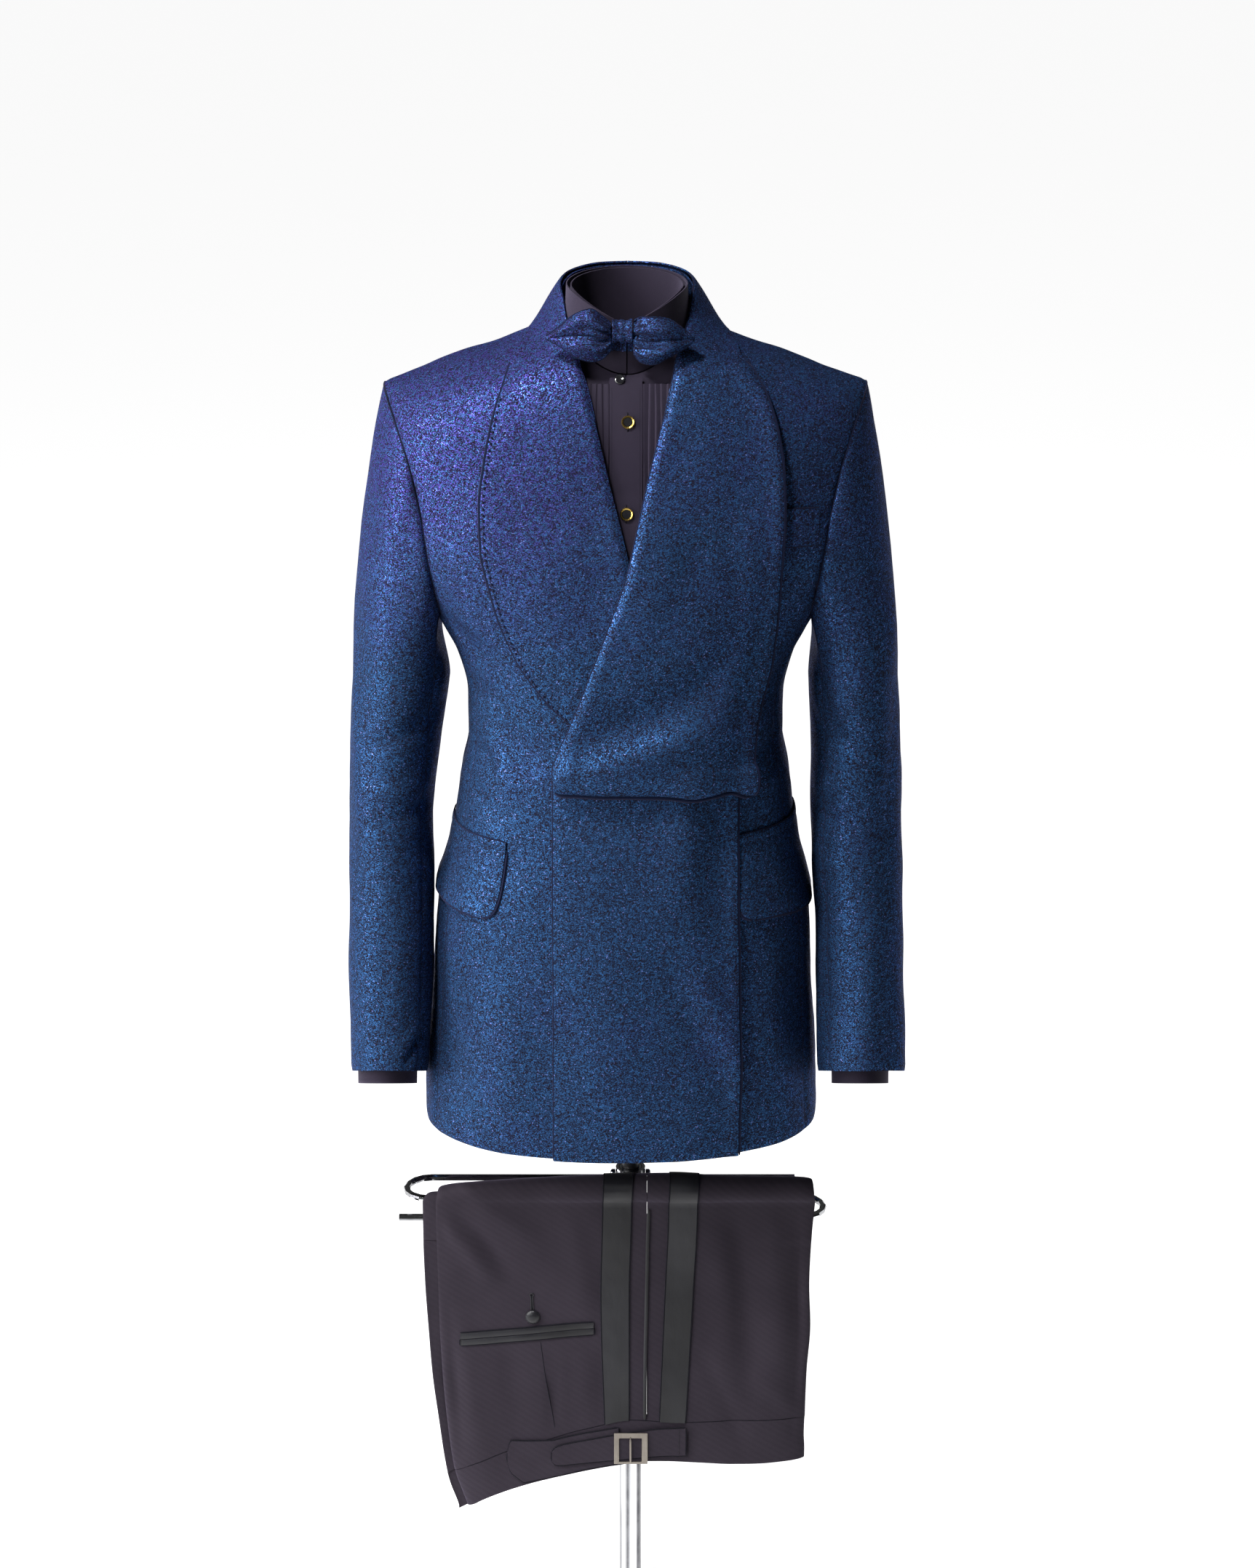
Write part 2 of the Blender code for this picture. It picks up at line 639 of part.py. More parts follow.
def build_stand():
    """Collar stand: rises from the neck seam inside the fall."""
    tops = []
    for side in (-1, 1):
        for (rx, ry, rz), _, _ in NECK_STATIONS[:5]:
            tops.append((side, Vector((side * rx, ry, rz))))
    left = [p for side, p in tops if side < 0][::-1]
    right = [p for side, p in tops if side > 0][1:]
    left[-1] = Vector((0, left[-1].y, left[-1].z))
    roll = left + right
    grid = [[], [], []]
    for p in roll:
        x = abs(p.x)
        if p.y > 0.010:
            share = min(1.0, x / 0.064)
            foot_x = math.copysign(NECK_X * share, p.x) if x > 0.001 else 0.0
            reach = lerp(NECK_BACK_ANGLE, 89.965, share ** 2.2)
            foot, n = form_frame(TOP_MID + foot_x, 0, reach, True)
            inner = Vector((-foot.x, -foot.y, 0)).normalized()
            foot = foot + Vector((0, 0, 0.0028)) + inner * lerp(0.0014, 0.0044, share)
        else:
            foot = Vector((math.copysign(0.0725, p.x), p.y, 0.0074))
        top = p + Vector((-p.x * 0.030, -p.y * 0.030 + 0.0002, -0.0042))
        grid[0].append(top)
        grid[1].append(lerp(top, foot, 0.5) + Vector((p.x * 0.01, p.y * 0.01, 0)))
        grid[2].append(foot)
    wall("collar_stand", grid, CLOTH, JACKET)


# ---------------------------------------------------------------- wrap panel and pockets
def build_wrap():
    zs = [-0.389, -0.425, -0.470, -0.520, -0.575, -0.635, -0.700, -0.7865]
    grid = []
    for z in zs:
        t = (z - zs[0]) / (zs[-1] - zs[0])
        left, right = lerp(-0.0690, -0.0706, t), lerp(0.1010, 0.1060, t)
        line = []
        for f in steps(8):
            x = row_point(0, lerp(phi_of(left, z), phi_of(right, z), f), z, False).x
            p = on_body(x, z)
            line.append((on_body(x, z, 0.0043), (on_body(x, z, 0.01) - p).normalized()))
        grid.append(line)
    form_wall("wrap_panel", grid, CLOTH, JACKET)


def flap_point(side, phi, z, off):
    p, n = form_frame(0, side * phi, z, False)
    return p + n * off, n


def build_flaps():
    # front edge of each flap as height and width; its rear end is set by turn
    edges = {
        "right": table("z x", (-0.5490, -0.1390), (-0.5465, -0.1322), (-0.5380, -0.1262),
                       (-0.5200, -0.1210), (-0.4815, -0.1148)),
        "left": table("z x", (-0.5475, 0.1180), (-0.5440, 0.1105), (-0.5360, 0.1062),
                      (-0.5150, 0.1052), (-0.4735, 0.1046)),
    }
    for side, name, top, low, back_z in ((-1, "right", -0.4815, -0.5490, -0.5425),
                                         (1, "left", -0.4735, -0.5475, -0.5560)):
        tab = edges[name]
        grid = []
        for f in (0.0, 0.25, 0.55, 0.82, 0.95, 1.0):
            line = []
            z_front = lerp(top, low, f)
            start = abs(phi_of(at(tab, "x", z_front), z_front))
            for g in steps(7):
                phi = lerp(start, math.radians(97), g)
                z = z_front + f * (back_z - low) * ramp(g * 1.3)
                lift = 0.0026 + 0.0006 * f
                if side > 0:
                    x = row_point(0, phi, z, False).x
                    lift += left_rise(x, z)
                line.append(flap_point(side, phi, z, lift))
            grid.append(line)
        form_wall("flap_" + name, grid, CLOTH, JACKET)
        grid = []
        for z in (top + 0.0088, top + 0.0045, top + 0.0004):
            line = []
            start = abs(phi_of(at(tab, "x", top), top))
            for g in steps(7):
                phi = lerp(start, math.radians(97), g)
                lift = 0.0020 + (0.0004 if abs(z - top - 0.0045) < 1e-6 else 0)
                if side > 0:
                    x = row_point(0, phi, z, False).x
                    lift += left_rise(x, z)
                line.append(flap_point(side, phi, z, lift))
            grid.append(line)
        form_wall("jet_" + name, grid, 0.0012, JACKET)
    grid = []
    for f in (0.0, 0.33, 0.66, 1.0):
        line = []
        for g in steps(4):
            x = lerp(lerp(0.1412, 0.1424, f), lerp(0.1758, 0.1745, f), g)
            z = lerp(lerp(-0.1480, -0.1825, f), lerp(-0.1502, -0.1842, f), g)
            p = on_body(x, z)
            line.append((on_body(x, z, 0.0024), (on_body(x, z, 0.01) - p).normalized()))
        grid.append(line)
    form_wall("breast_welt", grid, 0.0013, JACKET)


# ---------------------------------------------------------------- shirt
SHIRT_OFF = -0.0075
SHIRT_UNDERARM = -0.245
SHIRT_ROWS = [-0.720, -0.560, -0.470, -0.415, -0.380, -0.340, -0.290, -0.245,
              -0.200, 0, 18, 36, 54, 72, 89.965]
SHIRT_HOLE = 0.004        # the shirt's armhole lies this much inside the jacket's
# shares of the way from the middle to the side: the first few turn round the neck
SHIRT_FRONT_SHARES = [0, 0.048, 0.092, 0.128, 0.1475, 0.38, 0.59, 0.80, 1]
SHIRT_BACK_SHARES = [0, 0.048, 0.092, 0.128, 0.1475, 0.32, 0.55, 0.78, 1]
COLLAR_X, COLLAR_Y = -0.0005, -0.0105
BAND_RX, BAND_RY = 0.0526, 0.0640


def shirt_frame(x_top, phi, row, back):
    p, n = form_frame(x_top, phi, row, back)
    return p + n * SHIRT_OFF, n


def shirt_reach(x_top, back):
    """How far up its row the shirt goes at this width, to end just outside the collar band."""
    low, high = 20.0, 89.965

    def outside(row):
        p, _ = shirt_frame(x_top, 0, row, back)
        v = (p.y - COLLAR_Y) / (BAND_RY + (0.0024 if back else 0.0016))
        u = (p.x - COLLAR_X) / (BAND_RX + 0.0010)
        return u * u + v * v > 1
    if outside(high):
        return high
    for _ in range(24):
        middle = (low + high) / 2
        if outside(middle):
            low = middle
        else:
            high = middle
    return low


def shirt_grid(side, rows, shares, back, edge=None):
    """Half of the shirt's front or back, from the middle to the side seam or armhole."""
    grid = []
    for row in rows:
        z = row if row < 0 else CHEST_Z
        mid = at(BODY, "mid", z)
        if row < SHIRT_UNDERARM + 1e-6:
            out = side * (math.radians(90) - 0.0022)
        else:
            out = phi_of(side * (outer_x(min(row, 0), back) - SHIRT_HOLE) + mid, z)
        start = phi_of(edge, z) if edge is not None else phi_of(mid, z)
        line = []
        for f in shares:
            if row <= 0:
                phi = lerp(start, out, f)
                line.append(shirt_frame(0, math.pi - phi if back else phi, row, back))
            else:
                last = phi_of(side * (outer_x(row, back) - SHIRT_HOLE) + TOP_MID, CHEST_Z)
                first = phi_of(edge, CHEST_Z) if edge is not None else phi_of(TOP_MID, CHEST_Z)
                x = row_point(0, lerp(first, last, f), CHEST_Z, False).x
                line.append(shirt_frame(x, 0, row * shirt_reach(x, back) / 89.965, back))
        grid.append(line)
    return grid


def in_front(x, z, off):
    """Shirt front point by width and height, with its direction."""
    p = on_body(x, z)
    n = (on_body(x, z, 0.01) - p).normalized()
    return p + n * off, n


BIB_ROWS = [-0.032, -0.046, -0.064, -0.090, -0.125, -0.190, -0.245, -0.300]
PLEATS = 6
PLEAT = 0.0056
PLACKET_L, PLACKET_R = -0.0165, 0.0135
PLACKET_OFF = SHIRT_OFF + 0.0050
STUD_Z = (-0.0655, -0.1490)


def build_shirt():
    for side, name in ((-1, "right"), (1, "left")):
        grid = shirt_grid(side, SHIRT_ROWS, SHIRT_FRONT_SHARES, False, -0.0015 + side * 0.0004)
        form_wall("shirt_front_" + name, grid, SHIRTING, SHIRT)
    halves = [shirt_grid(side, SHIRT_ROWS, SHIRT_BACK_SHARES, True) for side in (-1, 1)]
    grid = [a[::-1] + b[1:] for a, b in zip(*halves)]
    form_wall("shirt_back", grid, SHIRTING, SHIRT)
    # pleated bibs: each pleat is a step up and a long slope back, away from the placket
    for side, name in ((-1, "right"), (1, "left")):
        start = PLACKET_L + 0.003 if side < 0 else PLACKET_R - 0.003
        profile = [(0.0, 0.0), (0.0030, 0.0)]
        for i in range(PLEATS):
            x0 = 0.0036 + i * PLEAT
            profile += [(x0, 0.0011), (x0 + PLEAT - 0.0006, 0.0002)]
        profile += [(0.0036 + PLEATS * PLEAT + 0.003, 0.0)]
        grid = []
        for z in BIB_ROWS:
            grid.append([in_front(start + side * x, z, SHIRT_OFF + 0.0031 + lift) for x, lift in profile])
        form_wall("shirt_bib_" + name, grid, SHIRTING, SHIRT)
    grid = []
    for z in (-0.027, -0.040, -0.053, STUD_Z[0], -0.082, -0.105, -0.130, STUD_Z[1], -0.180, -0.240,
              -0.300, -0.330):
        grid.append([in_front(lerp(PLACKET_L, PLACKET_R, f), z, PLACKET_OFF) for f in steps(3)])
    form_wall("shirt_placket", grid, 0.0012, SHIRT)
    build_collar()
    build_studs()


def collar_top(angle, rise):
    """Height of the collar's top edge round the neck; the angle is 0 in front."""
    side_way = abs(math.sin(angle)) if abs(angle) < math.pi / 2 else 1.0
    back_way = max(0.0, -math.cos(angle))
    return 0.0190 + 0.0275 * side_way**1.1 + 0.0060 * back_way + rise


def collar_ring(angle, grow, z):
    x = COLLAR_X + (BAND_RX + grow) * math.sin(angle)
    y = COLLAR_Y - (BAND_RY + grow) * math.cos(angle)
    return Vector((x, y, z))


def neck_height(angle):
    """Height of the shirt's neckline where it meets the band."""
    p = collar_ring(angle, 0.0010, 0.0)
    back = p.y > 0.012
    reach = shirt_reach(p.x, back)
    return shirt_frame(p.x, 0, reach, back)[0].z


def build_collar():
    turns = [0.012 + (2 * math.pi - 0.024) * f for f in steps(22)]
    band, tie = [[], []], [[], []]
    for angle in turns:
        turned = math.atan2(math.sin(angle), math.cos(angle))
        foot = neck_height(angle) + 0.0009
        band[1].append(collar_ring(angle, 0.0, collar_top(turned, -0.0012)))
        band[0].append(collar_ring(angle, 0.0, foot))
        low = lerp(-0.0060, 0.0120, min(1.0, (0.5 - 0.5 * math.cos(angle)) * 1.5))
        tie[1].append(collar_ring(angle, 0.0016, low + 0.016))
        tie[0].append(collar_ring(angle, 0.0016, low))
    wall("shirt_collar_band", band, 0.0012, SHIRT)
    wall("bow_band", tie, 0.0012, JACKET)
    # the fall of the collar, spread in front
    grid = [[], [], []]
    for f in steps(24):
        g = 2 * f - 1
        top_a = lerp(0.085, 2 * math.pi - 0.085, f)
        low_a = lerp(0.76, 2 * math.pi - 0.76, f)
        for r, share in enumerate((0.0, 0.45, 1.0)):
            angle = lerp(top_a, low_a, share)
            turned = math.atan2(math.sin(top_a), math.cos(top_a))
            low = lerp(-0.0095, 0.0085, min(1.0, (1 - abs(g)) * 2.6))
            z = lerp(collar_top(turned, 0.0), low, share)
            grid[r].append(collar_ring(angle, lerp(0.0040, 0.0057, share), z))
    wall("shirt_collar_fall", grid[::-1], 0.0011, SHIRT)


CUFFS = table("side x rx", (-1, 0.2357, 0.0288), (1, 0.2285, 0.0278))
CUFF_Z, CUFF_Y, CUFF_RY, CUFF_SLOPE = -0.7375, -0.0555, 0.037, -0.43


def cuff_ring(side, grow, dz, count, start=0.0):
    x, rx = at(CUFFS, "x", side), at(CUFFS, "rx", side) + grow
    line = []
    for i in range(count):
        a = start - 2 * math.pi * i / count
        dy = -(CUFF_RY + grow) * math.sin(a)
        y = CUFF_Y + dz * 0.30 + dy
        line.append(Vector((side * (x + rx * math.cos(a) * (1 + 0.5 * dz)), y, CUFF_Z + dz + CUFF_SLOPE * dy)))
    return line


def build_cuffs():
    for side, name in ((-1, "right"), (1, "left")):
        grid = [cuff_ring(side, 0.0, dz, 16) for dz in (0.046, 0.022, 0.0)]
        wall("shirt_cuff_" + name, grid, 0.0014, SHIRT, closed=True, normals=loop_normals(grid))


def build_shirt_sleeves():
    rows = [r for r in SHIRT_ROWS if r > SHIRT_UNDERARM - 1e-6]
    n = len(rows) - 1
    for side, name in ((-1, "right"), (1, "left")):
        front = [line[-1][0] for line in shirt_grid(side, rows, (0, 1), False)]
        back = [line[-1][0] for line in shirt_grid(side, rows, (0, 1), True)]
        corner = (front[0] + back[0]) / 2
        loop = [corner] + front[1:] + back[::-1][1:-1]
        angles = [math.pi * (1 - i / n) for i in range(2 * n)]
        loop = [p + Vector((side * 0.0009, 0, 0)) for p in loop]
        grid = [loop]
        inset = 0.0092
        for s in (0.2, 0.36, 0.6, 1.0):
            line = []
            for p0, angle in zip(loop, angles):
                p1 = sleeve_ring(side, -0.335, angle, inset)
                span = (p1 - p0).length
                low = ramp((-0.150 - p0.z) / 0.080)
                t0 = Vector((side * lerp(0.10, 1.0, low), -0.06 * math.sin(angle), lerp(-0.5, 0.0, low))) * span
                t1 = Vector((0, 0, -1.0)) * span
                h00, h10 = 2 * s**3 - 3 * s**2 + 1, s**3 - 2 * s**2 + s
                h01, h11 = -2 * s**3 + 3 * s**2, s**3 - s**2
                line.append(p0 * h00 + t0 * h10 + p1 * h01 + t1 * h11)
            grid.append(line)
        for z in (-0.420, -0.520, -0.620):
            grid.append([sleeve_ring(side, z, angle, inset) for angle in angles])
        grid.append(cuff_ring(side, 0.0004, 0.0466, 2 * n, math.pi))
        inward = sleeve_inward(side, loop, [])
        wall("shirt_sleeve_" + name, grid, SHIRTING, SHIRT, closed=True,
             normals=loop_normals(grid, inward))


def turned_to(direction):
    return Vector((0, 0, 1)).rotation_difference(direction)


def primitive(name, paint):
    obj = bpy.context.active_object
    obj.name = name
    obj.data.name = name
    obj.data.materials.clear()
    obj.data.materials.append(material(*paint))
    obj.data.shade_smooth()
    obj.data.set_sharp_from_angle(angle=math.radians(40))
    return obj


def place(obj, where, direction):
    obj.rotation_mode = "QUATERNION"
    obj.rotation_quaternion = turned_to(direction)
    obj.location = where


def build_studs():
    for i, (x, z) in enumerate(((0.0005, STUD_Z[0]), (-0.0008, STUD_Z[1]))):
        p, n = in_front(x, z, PLACKET_OFF)
        bpy.ops.mesh.primitive_torus_add(major_segments=14, minor_segments=5, major_radius=0.0052,
                                         minor_radius=0.0010)
        place(primitive("stud_ring_%d" % (i + 1), GOLD), p + n * 0.0016, n)
        bpy.ops.mesh.primitive_cylinder_add(vertices=16, radius=0.0039, depth=0.0016)
        place(primitive("stud_stone_%d" % (i + 1), ONYX), p + n * 0.0014, n)


# ---------------------------------------------------------------- bow tie
def wing_shape(tab, t):
    return at(tab, "half", t), at(tab, "mid", t), at(tab, "puff", t)


WINGS = {
    "right": (-1, -0.0151, -0.0735, table(
        "t half mid puff", (0.0, 0.0135, 0.0095, 0.0030), (0.12, 0.0195, 0.0090, 0.0070),
        (0.30, 0.0232, 0.0112, 0.0095), (0.55, 0.0195, 0.0112, 0.0085),
        (0.80, 0.0100, 0.0095, 0.0045), (1.0, 0.0020, 0.0078, 0.0010))),
    "left": (1, 0.0053, 0.0590, table(
        "t half mid puff", (0.0, 0.0140, 0.0085, 0.0030), (0.12, 0.0200, 0.0070, 0.0070),
        (0.35, 0.0220, 0.0060, 0.0095), (0.62, 0.0175, 0.0080, 0.0085),
        (0.85, 0.0090, 0.0070, 0.0040), (1.0, 0.0020, 0.0060, 0.0010))),
}
BOW_Y = -0.0816           # back of the wings
KNOT_Y = -0.0853


def build_bow():
    along = [0.0, 0.12, 0.32, 0.58, 0.82, 1.0]
    across = [-1.0, -0.72, -0.40, -0.12, 0.12, 0.40, 0.72, 1.0]
    for name, (side, x0, x1, tab) in WINGS.items():
        grid = []
        for w in across:
            line = []
            lobe = math.sin(math.pi * min(1.0, abs(w))) ** 0.8 if abs(w) < 1 else 0.0
            for t in along:
                half, mid, puff = wing_shape(tab, t)
                y = BOW_Y - 0.0056 - puff * (0.35 + 0.65 * lobe) + 0.004 * ramp((t - 0.5) * 2)
                line.append(Vector((lerp(x0, x1, t), y, mid + half * w)))
            tip_half, tip_mid, _ = wing_shape(tab, 1.0)
            line.append(Vector((x1 + side * 0.0022, BOW_Y + 0.0008, tip_mid + tip_half * w)))
            for t in along[::-1]:
                half, mid, puff = wing_shape(tab, t)
                y = BOW_Y + 0.0010 + 0.0016 * math.sin(math.pi * t) + 0.0018 * ramp((t - 0.4) * 2)
                line.append(Vector((lerp(x0, x1, t), y, mid + half * 0.94 * w)))
            grid.append(line)
        if side < 0:
            grid = grid[::-1]
        wall("bow_wing_" + name, grid, 0.0015, JACKET)
    grid = []
    for x in (-0.0140, -0.0100, -0.0049, 0.0002, 0.0042):
        waist = 1.0 - 0.10 * (1 - ((x + 0.0049) / 0.0095) ** 2)
        line = []
        for i in range(12):
            a = 2 * math.pi * i / 12
            line.append(Vector((x, KNOT_Y - 0.0081 * waist * math.cos(a),
                                0.0145 + 0.0112 * waist * math.sin(a))))
        grid.append(line)
    wall("bow_knot", grid, 0.0015, JACKET, closed=True, normals=loop_normals(grid))


# ---------------------------------------------------------------- trousers over the rod
# The near leg lies in front of the far one. n counts out from the rod through the layers.
NEAR_OUT, NEAR_IN, FAR_IN, FAR_OUT = 0.0058, 0.0034, 0.0028, 0.0004
CLEAR = ROD_R + 0.0014    # rod middle to n = 0
UP_Y = -0.0127            # n = 0 on the way up from the bottom fold
SIDE_X = 0.0195           # side seam
# Trouser outline where it hangs in front
EDGES = table(
    "z near_left far_left right far_right",
    (-1.2139, -0.1645, -0.1735, 0.1806, 0.1790), (-1.1748, -0.1770, -0.1850, 0.1806, 0.1790),
    (-1.1124, -0.1845, -0.1930, 0.1810, 0.1795), (-1.0618, -0.1880, -0.1985, 0.1820, 0.1800),
    (-1.0110, -0.1900, -0.2015, 0.1850, 0.1835), (-0.9614, -0.1908, -0.2040, 0.1832, 0.1815),
    (-0.9091, -0.1915, -0.2050, 0.1848, 0.1835), (-0.8730, -0.1918, -0.2050, 0.1875, 0.1860),
)
WAIST_TOP = table(
    "x z",
    (-0.2100, -1.1900), (-0.1763, -1.1724), (-0.1231, -1.1473), (-0.0731, -1.1298),
    (-0.0271, -1.1165), (0.0033, -1.1105), (0.0560, -1.1132), (0.1000, -1.1125), (0.1900, -1.1114),
)
WAIST_LOW = table(
    "x z",
    (-0.2100, -1.2330), (-0.1649, -1.2139), (-0.1340, -1.1962), (-0.1033, -1.1844),
    (-0.0577, -1.1718), (-0.0093, -1.1618), (0.0182, -1.1575), (0.0636, -1.1584),
    (0.1366, -1.1609), (0.1900, -1.1572),
)
TOP_LINE = table(
    "x z",
    (-0.2050, -0.8700), (-0.1977, -0.8680), (-0.1858, -0.8590), (-0.1469, -0.8549),
    (-0.0868, -0.8509), (-0.0238, -0.8477), (0.0450, -0.8461), (0.0926, -0.8485), (0.1900, -0.8505),
)
SEAT_Q = -0.15            # the legs part here
SEAT_Z = -0.915
TROUSER_ROWS = [-1.0, -0.8, -0.6, -0.4, SEAT_Q, 0, 0.2, 0.4, 0.6, 0.8, 1, 1.5, 2, 2.33, 2.67, 3, 4]
REAR_EDGE = table(
    "q left right",
    (0.0, -0.1918, 0.1875), (0.5, -0.1895, 0.1850), (1.0, -0.1870, 0.1810), (1.5, -0.1600, 0.1500),
    (2.0, -0.1300, 0.1200), (3.0, -0.1290, 0.1190), (4.0, -0.1150, 0.1000),
)
FOLD_Z = -1.112           # bottom fold of the legs behind


def trouser_edges(q, z, near):
    if q < 0:
        return (at(EDGES, "near_left" if near else "far_left", z), at(EDGES, "right" if near else "far_right", z))
    left, right = at(REAR_EDGE, "left", q), at(REAR_EDGE, "right", q)
    if near:
        return left, right
    way = ramp(q / 1.5)
    return left - 0.0132 * (1 - way), right - 0.0015


def front_z(q, x):
    """Height on the front drop: q runs from the waist at -1 to the top of the drop at 0."""
    low = at(WAIST_TOP, "z", x)
    if q < SEAT_Q:
        return lerp(low, SEAT_Z, (q + 1) / (1 + SEAT_Q))
    return lerp(SEAT_Z, ROD_Z, (q - SEAT_Q) / -SEAT_Q)


def trouser_point(x, n, q, z=None):
    """Point n out through the layers on path q, and the direction in which n grows."""
    if q <= 0:
        z = front_z(q, x) if z is None else z
        return Vector((x, ROD_FRONT_Y - CLEAR - n, z)), Vector((0, -1, 0))
    if q <= 1:
        a = math.pi * q
        r = CLEAR + n
        way = Vector((0, -math.cos(a), math.sin(a)))
        return Vector((x, ROD_FRONT_Y, ROD_Z)) + way * r, way
    y1 = ROD_FRONT_Y + CLEAR
    if q <= 2:
        return Vector((x, y1 + n, lerp(ROD_Z, FOLD_Z, q - 1))), Vector((0, 1, 0))
    middle = (y1 + UP_Y) / 2
    if q <= 3:
        b = math.pi * (q - 2)
        r = (UP_Y - y1) / 2 - n
        return (Vector((x, middle - r * math.cos(b), FOLD_Z - r * math.sin(b))),
                Vector((0, math.cos(b), math.sin(b))))
    return Vector((x, UP_Y - n, lerp(FOLD_Z, LEG_HEM_Z, q - 3))), Vector((0, -1, 0))


def puff(x, q, share):
    """The near leg stands up off the rod in a loose round at the top."""
    if not 0 < q < 1:
        return 0.0
    height = at(TOP_LINE, "z", x) - (ROD_Z + CLEAR + NEAR_OUT)
    return max(0.0, height) * math.sin(math.pi * q) ** 1.3 * share


def face_n(x, z, near):
    """n of the near or far face on the front drop, where the seat is a single tube."""
    left, right = trouser_edges(-0.5, z, near)
    u = max(-1.0, min(1.0, (2 * x - left - right) / (right - left)))
    round_off = math.sqrt(max(0.0, 1 - abs(u) ** 5))
    low = ramp((SEAT_Z - z) / 0.230)
    if near:
        full = lerp(NEAR_OUT, 0.0145, low * low * (3 - 2 * low))
        return 0.00325 + (full - 0.00325) * round_off
    return 0.00295 - (0.00295 - FAR_OUT) * round_off


def trouser_panel(name, near, half):
    """Half of a leg from side seam round the crease to the inseam, with its half of the seat."""
    outside = [0.0, 0.30, 0.62, 0.88]
    inside = [0.88, 0.45, 0.0]
    grid = []
    way = 1 if near else -1
    for q in TROUSER_ROWS:
        line = []
        for k, f in enumerate(outside + [1.0] + inside):
            inner = k > len(outside)
            z = front_z(q, 0.0) if q < 0 else ROD_Z
            for _ in range(3):
                left, right = trouser_edges(q, z, near)
                x = lerp(SIDE_X + half * GAP / 2, right if half > 0 else left, f)
                z = front_z(q, x) if q < 0 else ROD_Z
            if q < SEAT_Q:
                n = face_n(x, z, near)
            elif f == 1.0:
                n = (NEAR_OUT + NEAR_IN) / 2 if near else (FAR_OUT + FAR_IN) / 2
            elif near:
                n = NEAR_IN if inner else NEAR_OUT
            else:
                n = FAR_IN if inner else FAR_OUT
            if near:
                n += puff(x, q, (0.80 if inner else 1.0) if f < 1 else 0.90)
            p, out = trouser_point(x, n, q)
            normal = out * way * (-1 if inner else 1)
            if f == 1.0:
                normal = Vector((half, 0, 0))
            elif q < SEAT_Q and f > 0.8:
                normal = (out * way + Vector((half * 0.5, 0, 0))).normalized()
            line.append((p, normal))
        grid.append(line)
    seat = TROUSER_ROWS.index(SEAT_Q)
    form_wall(name, grid, WOOL, TROUSER, mask=lambda r, c: c < len(outside) or r >= seat)


def near_face(x, z, off):
    """Point on the near face of the front drop, moved out by off."""
    n = face_n(x, z, True) + off
    return Vector((x, ROD_FRONT_Y - CLEAR - n, z)), Vector((0, -1, 0))


def waistband(name, near):
    grid = []
    for f in (0.0, 0.5, 1.0):
        line = []
        for g in (-1.0, -0.88, -0.62, -0.30, 0.0, 0.30, 0.62, 0.88, 1.0):
            z = -1.14
            for _ in range(4):
                left, right = trouser_edges(-1, z, near)
                x = lerp(SIDE_X, right if g > 0 else left, abs(g))
                z = lerp(at(WAIST_TOP, "z", x) - GAP, at(WAIST_LOW, "z", x), f)
            n = face_n(x, z, near)
            normal = Vector((g, 0, 0)) if abs(g) == 1 else Vector((0, -1 if near else 1, 0))
            if abs(g) == 0.88:
                normal = (normal + Vector((math.copysign(0.5, g), 0, 0))).normalized()
            line.append((Vector((x, ROD_FRONT_Y - CLEAR - n, z)), normal))
        grid.append(line)
    form_wall(name, grid, 0.0014 if near else 0.0010, TROUSER)


STRIPES = table(
    "q a0 a1 b0 b1",
    (-1.0, -0.0226, 0.0011, 0.0330, 0.0585), (-0.4, -0.0262, 0.0011, 0.0385, 0.0655),
    (0.0, -0.0240, 0.0036, 0.0420, 0.0695), (0.5, -0.0229, 0.0047, 0.0432, 0.0707),
    (1.0, -0.0220, 0.0040, 0.0425, 0.0700), (2.0, -0.0190, 0.0030, 0.0400, 0.0640),
    (4.0, -0.0170, 0.0030, 0.0380, 0.0600),
)


def stripe(name, near, first, second):
    grid = []
    for q in TROUSER_ROWS:
        line = []
        for g in (0.0, 1.0):
            x = lerp(at(STRIPES, first, q), at(STRIPES, second, q), g)
            if q < SEAT_Q:
                n = face_n(x, front_z(q, x), near)
            else:
                n = (NEAR_OUT + puff(x, q, 1.0)) if near else FAR_OUT
            p, out = trouser_point(x, n + (0.0010 if near else -0.0010), q)
            line.append((p, out if near else -out))
        grid.append(line)
    form_wall(name, grid, 0.0006, SATIN)


def flat_piece(name, outline, off, thick, paint, finder=near_face):
    """Sheet between two edges given as rows of x, top z and low z, lying on a face."""
    grid = []
    for f in (0.0, 0.5, 1.0):
        grid.append([finder(x, lerp(top, low, f), off) for x, top, low in outline])
    form_wall(name, grid, thick, paint)


def bar_point(x, z, off):
    y = near_face(max(-0.0137, min(0.0204, x)), -1.140, 0.0)[0].y
    return Vector((x, y - off, z)), Vector((0, -1, 0))


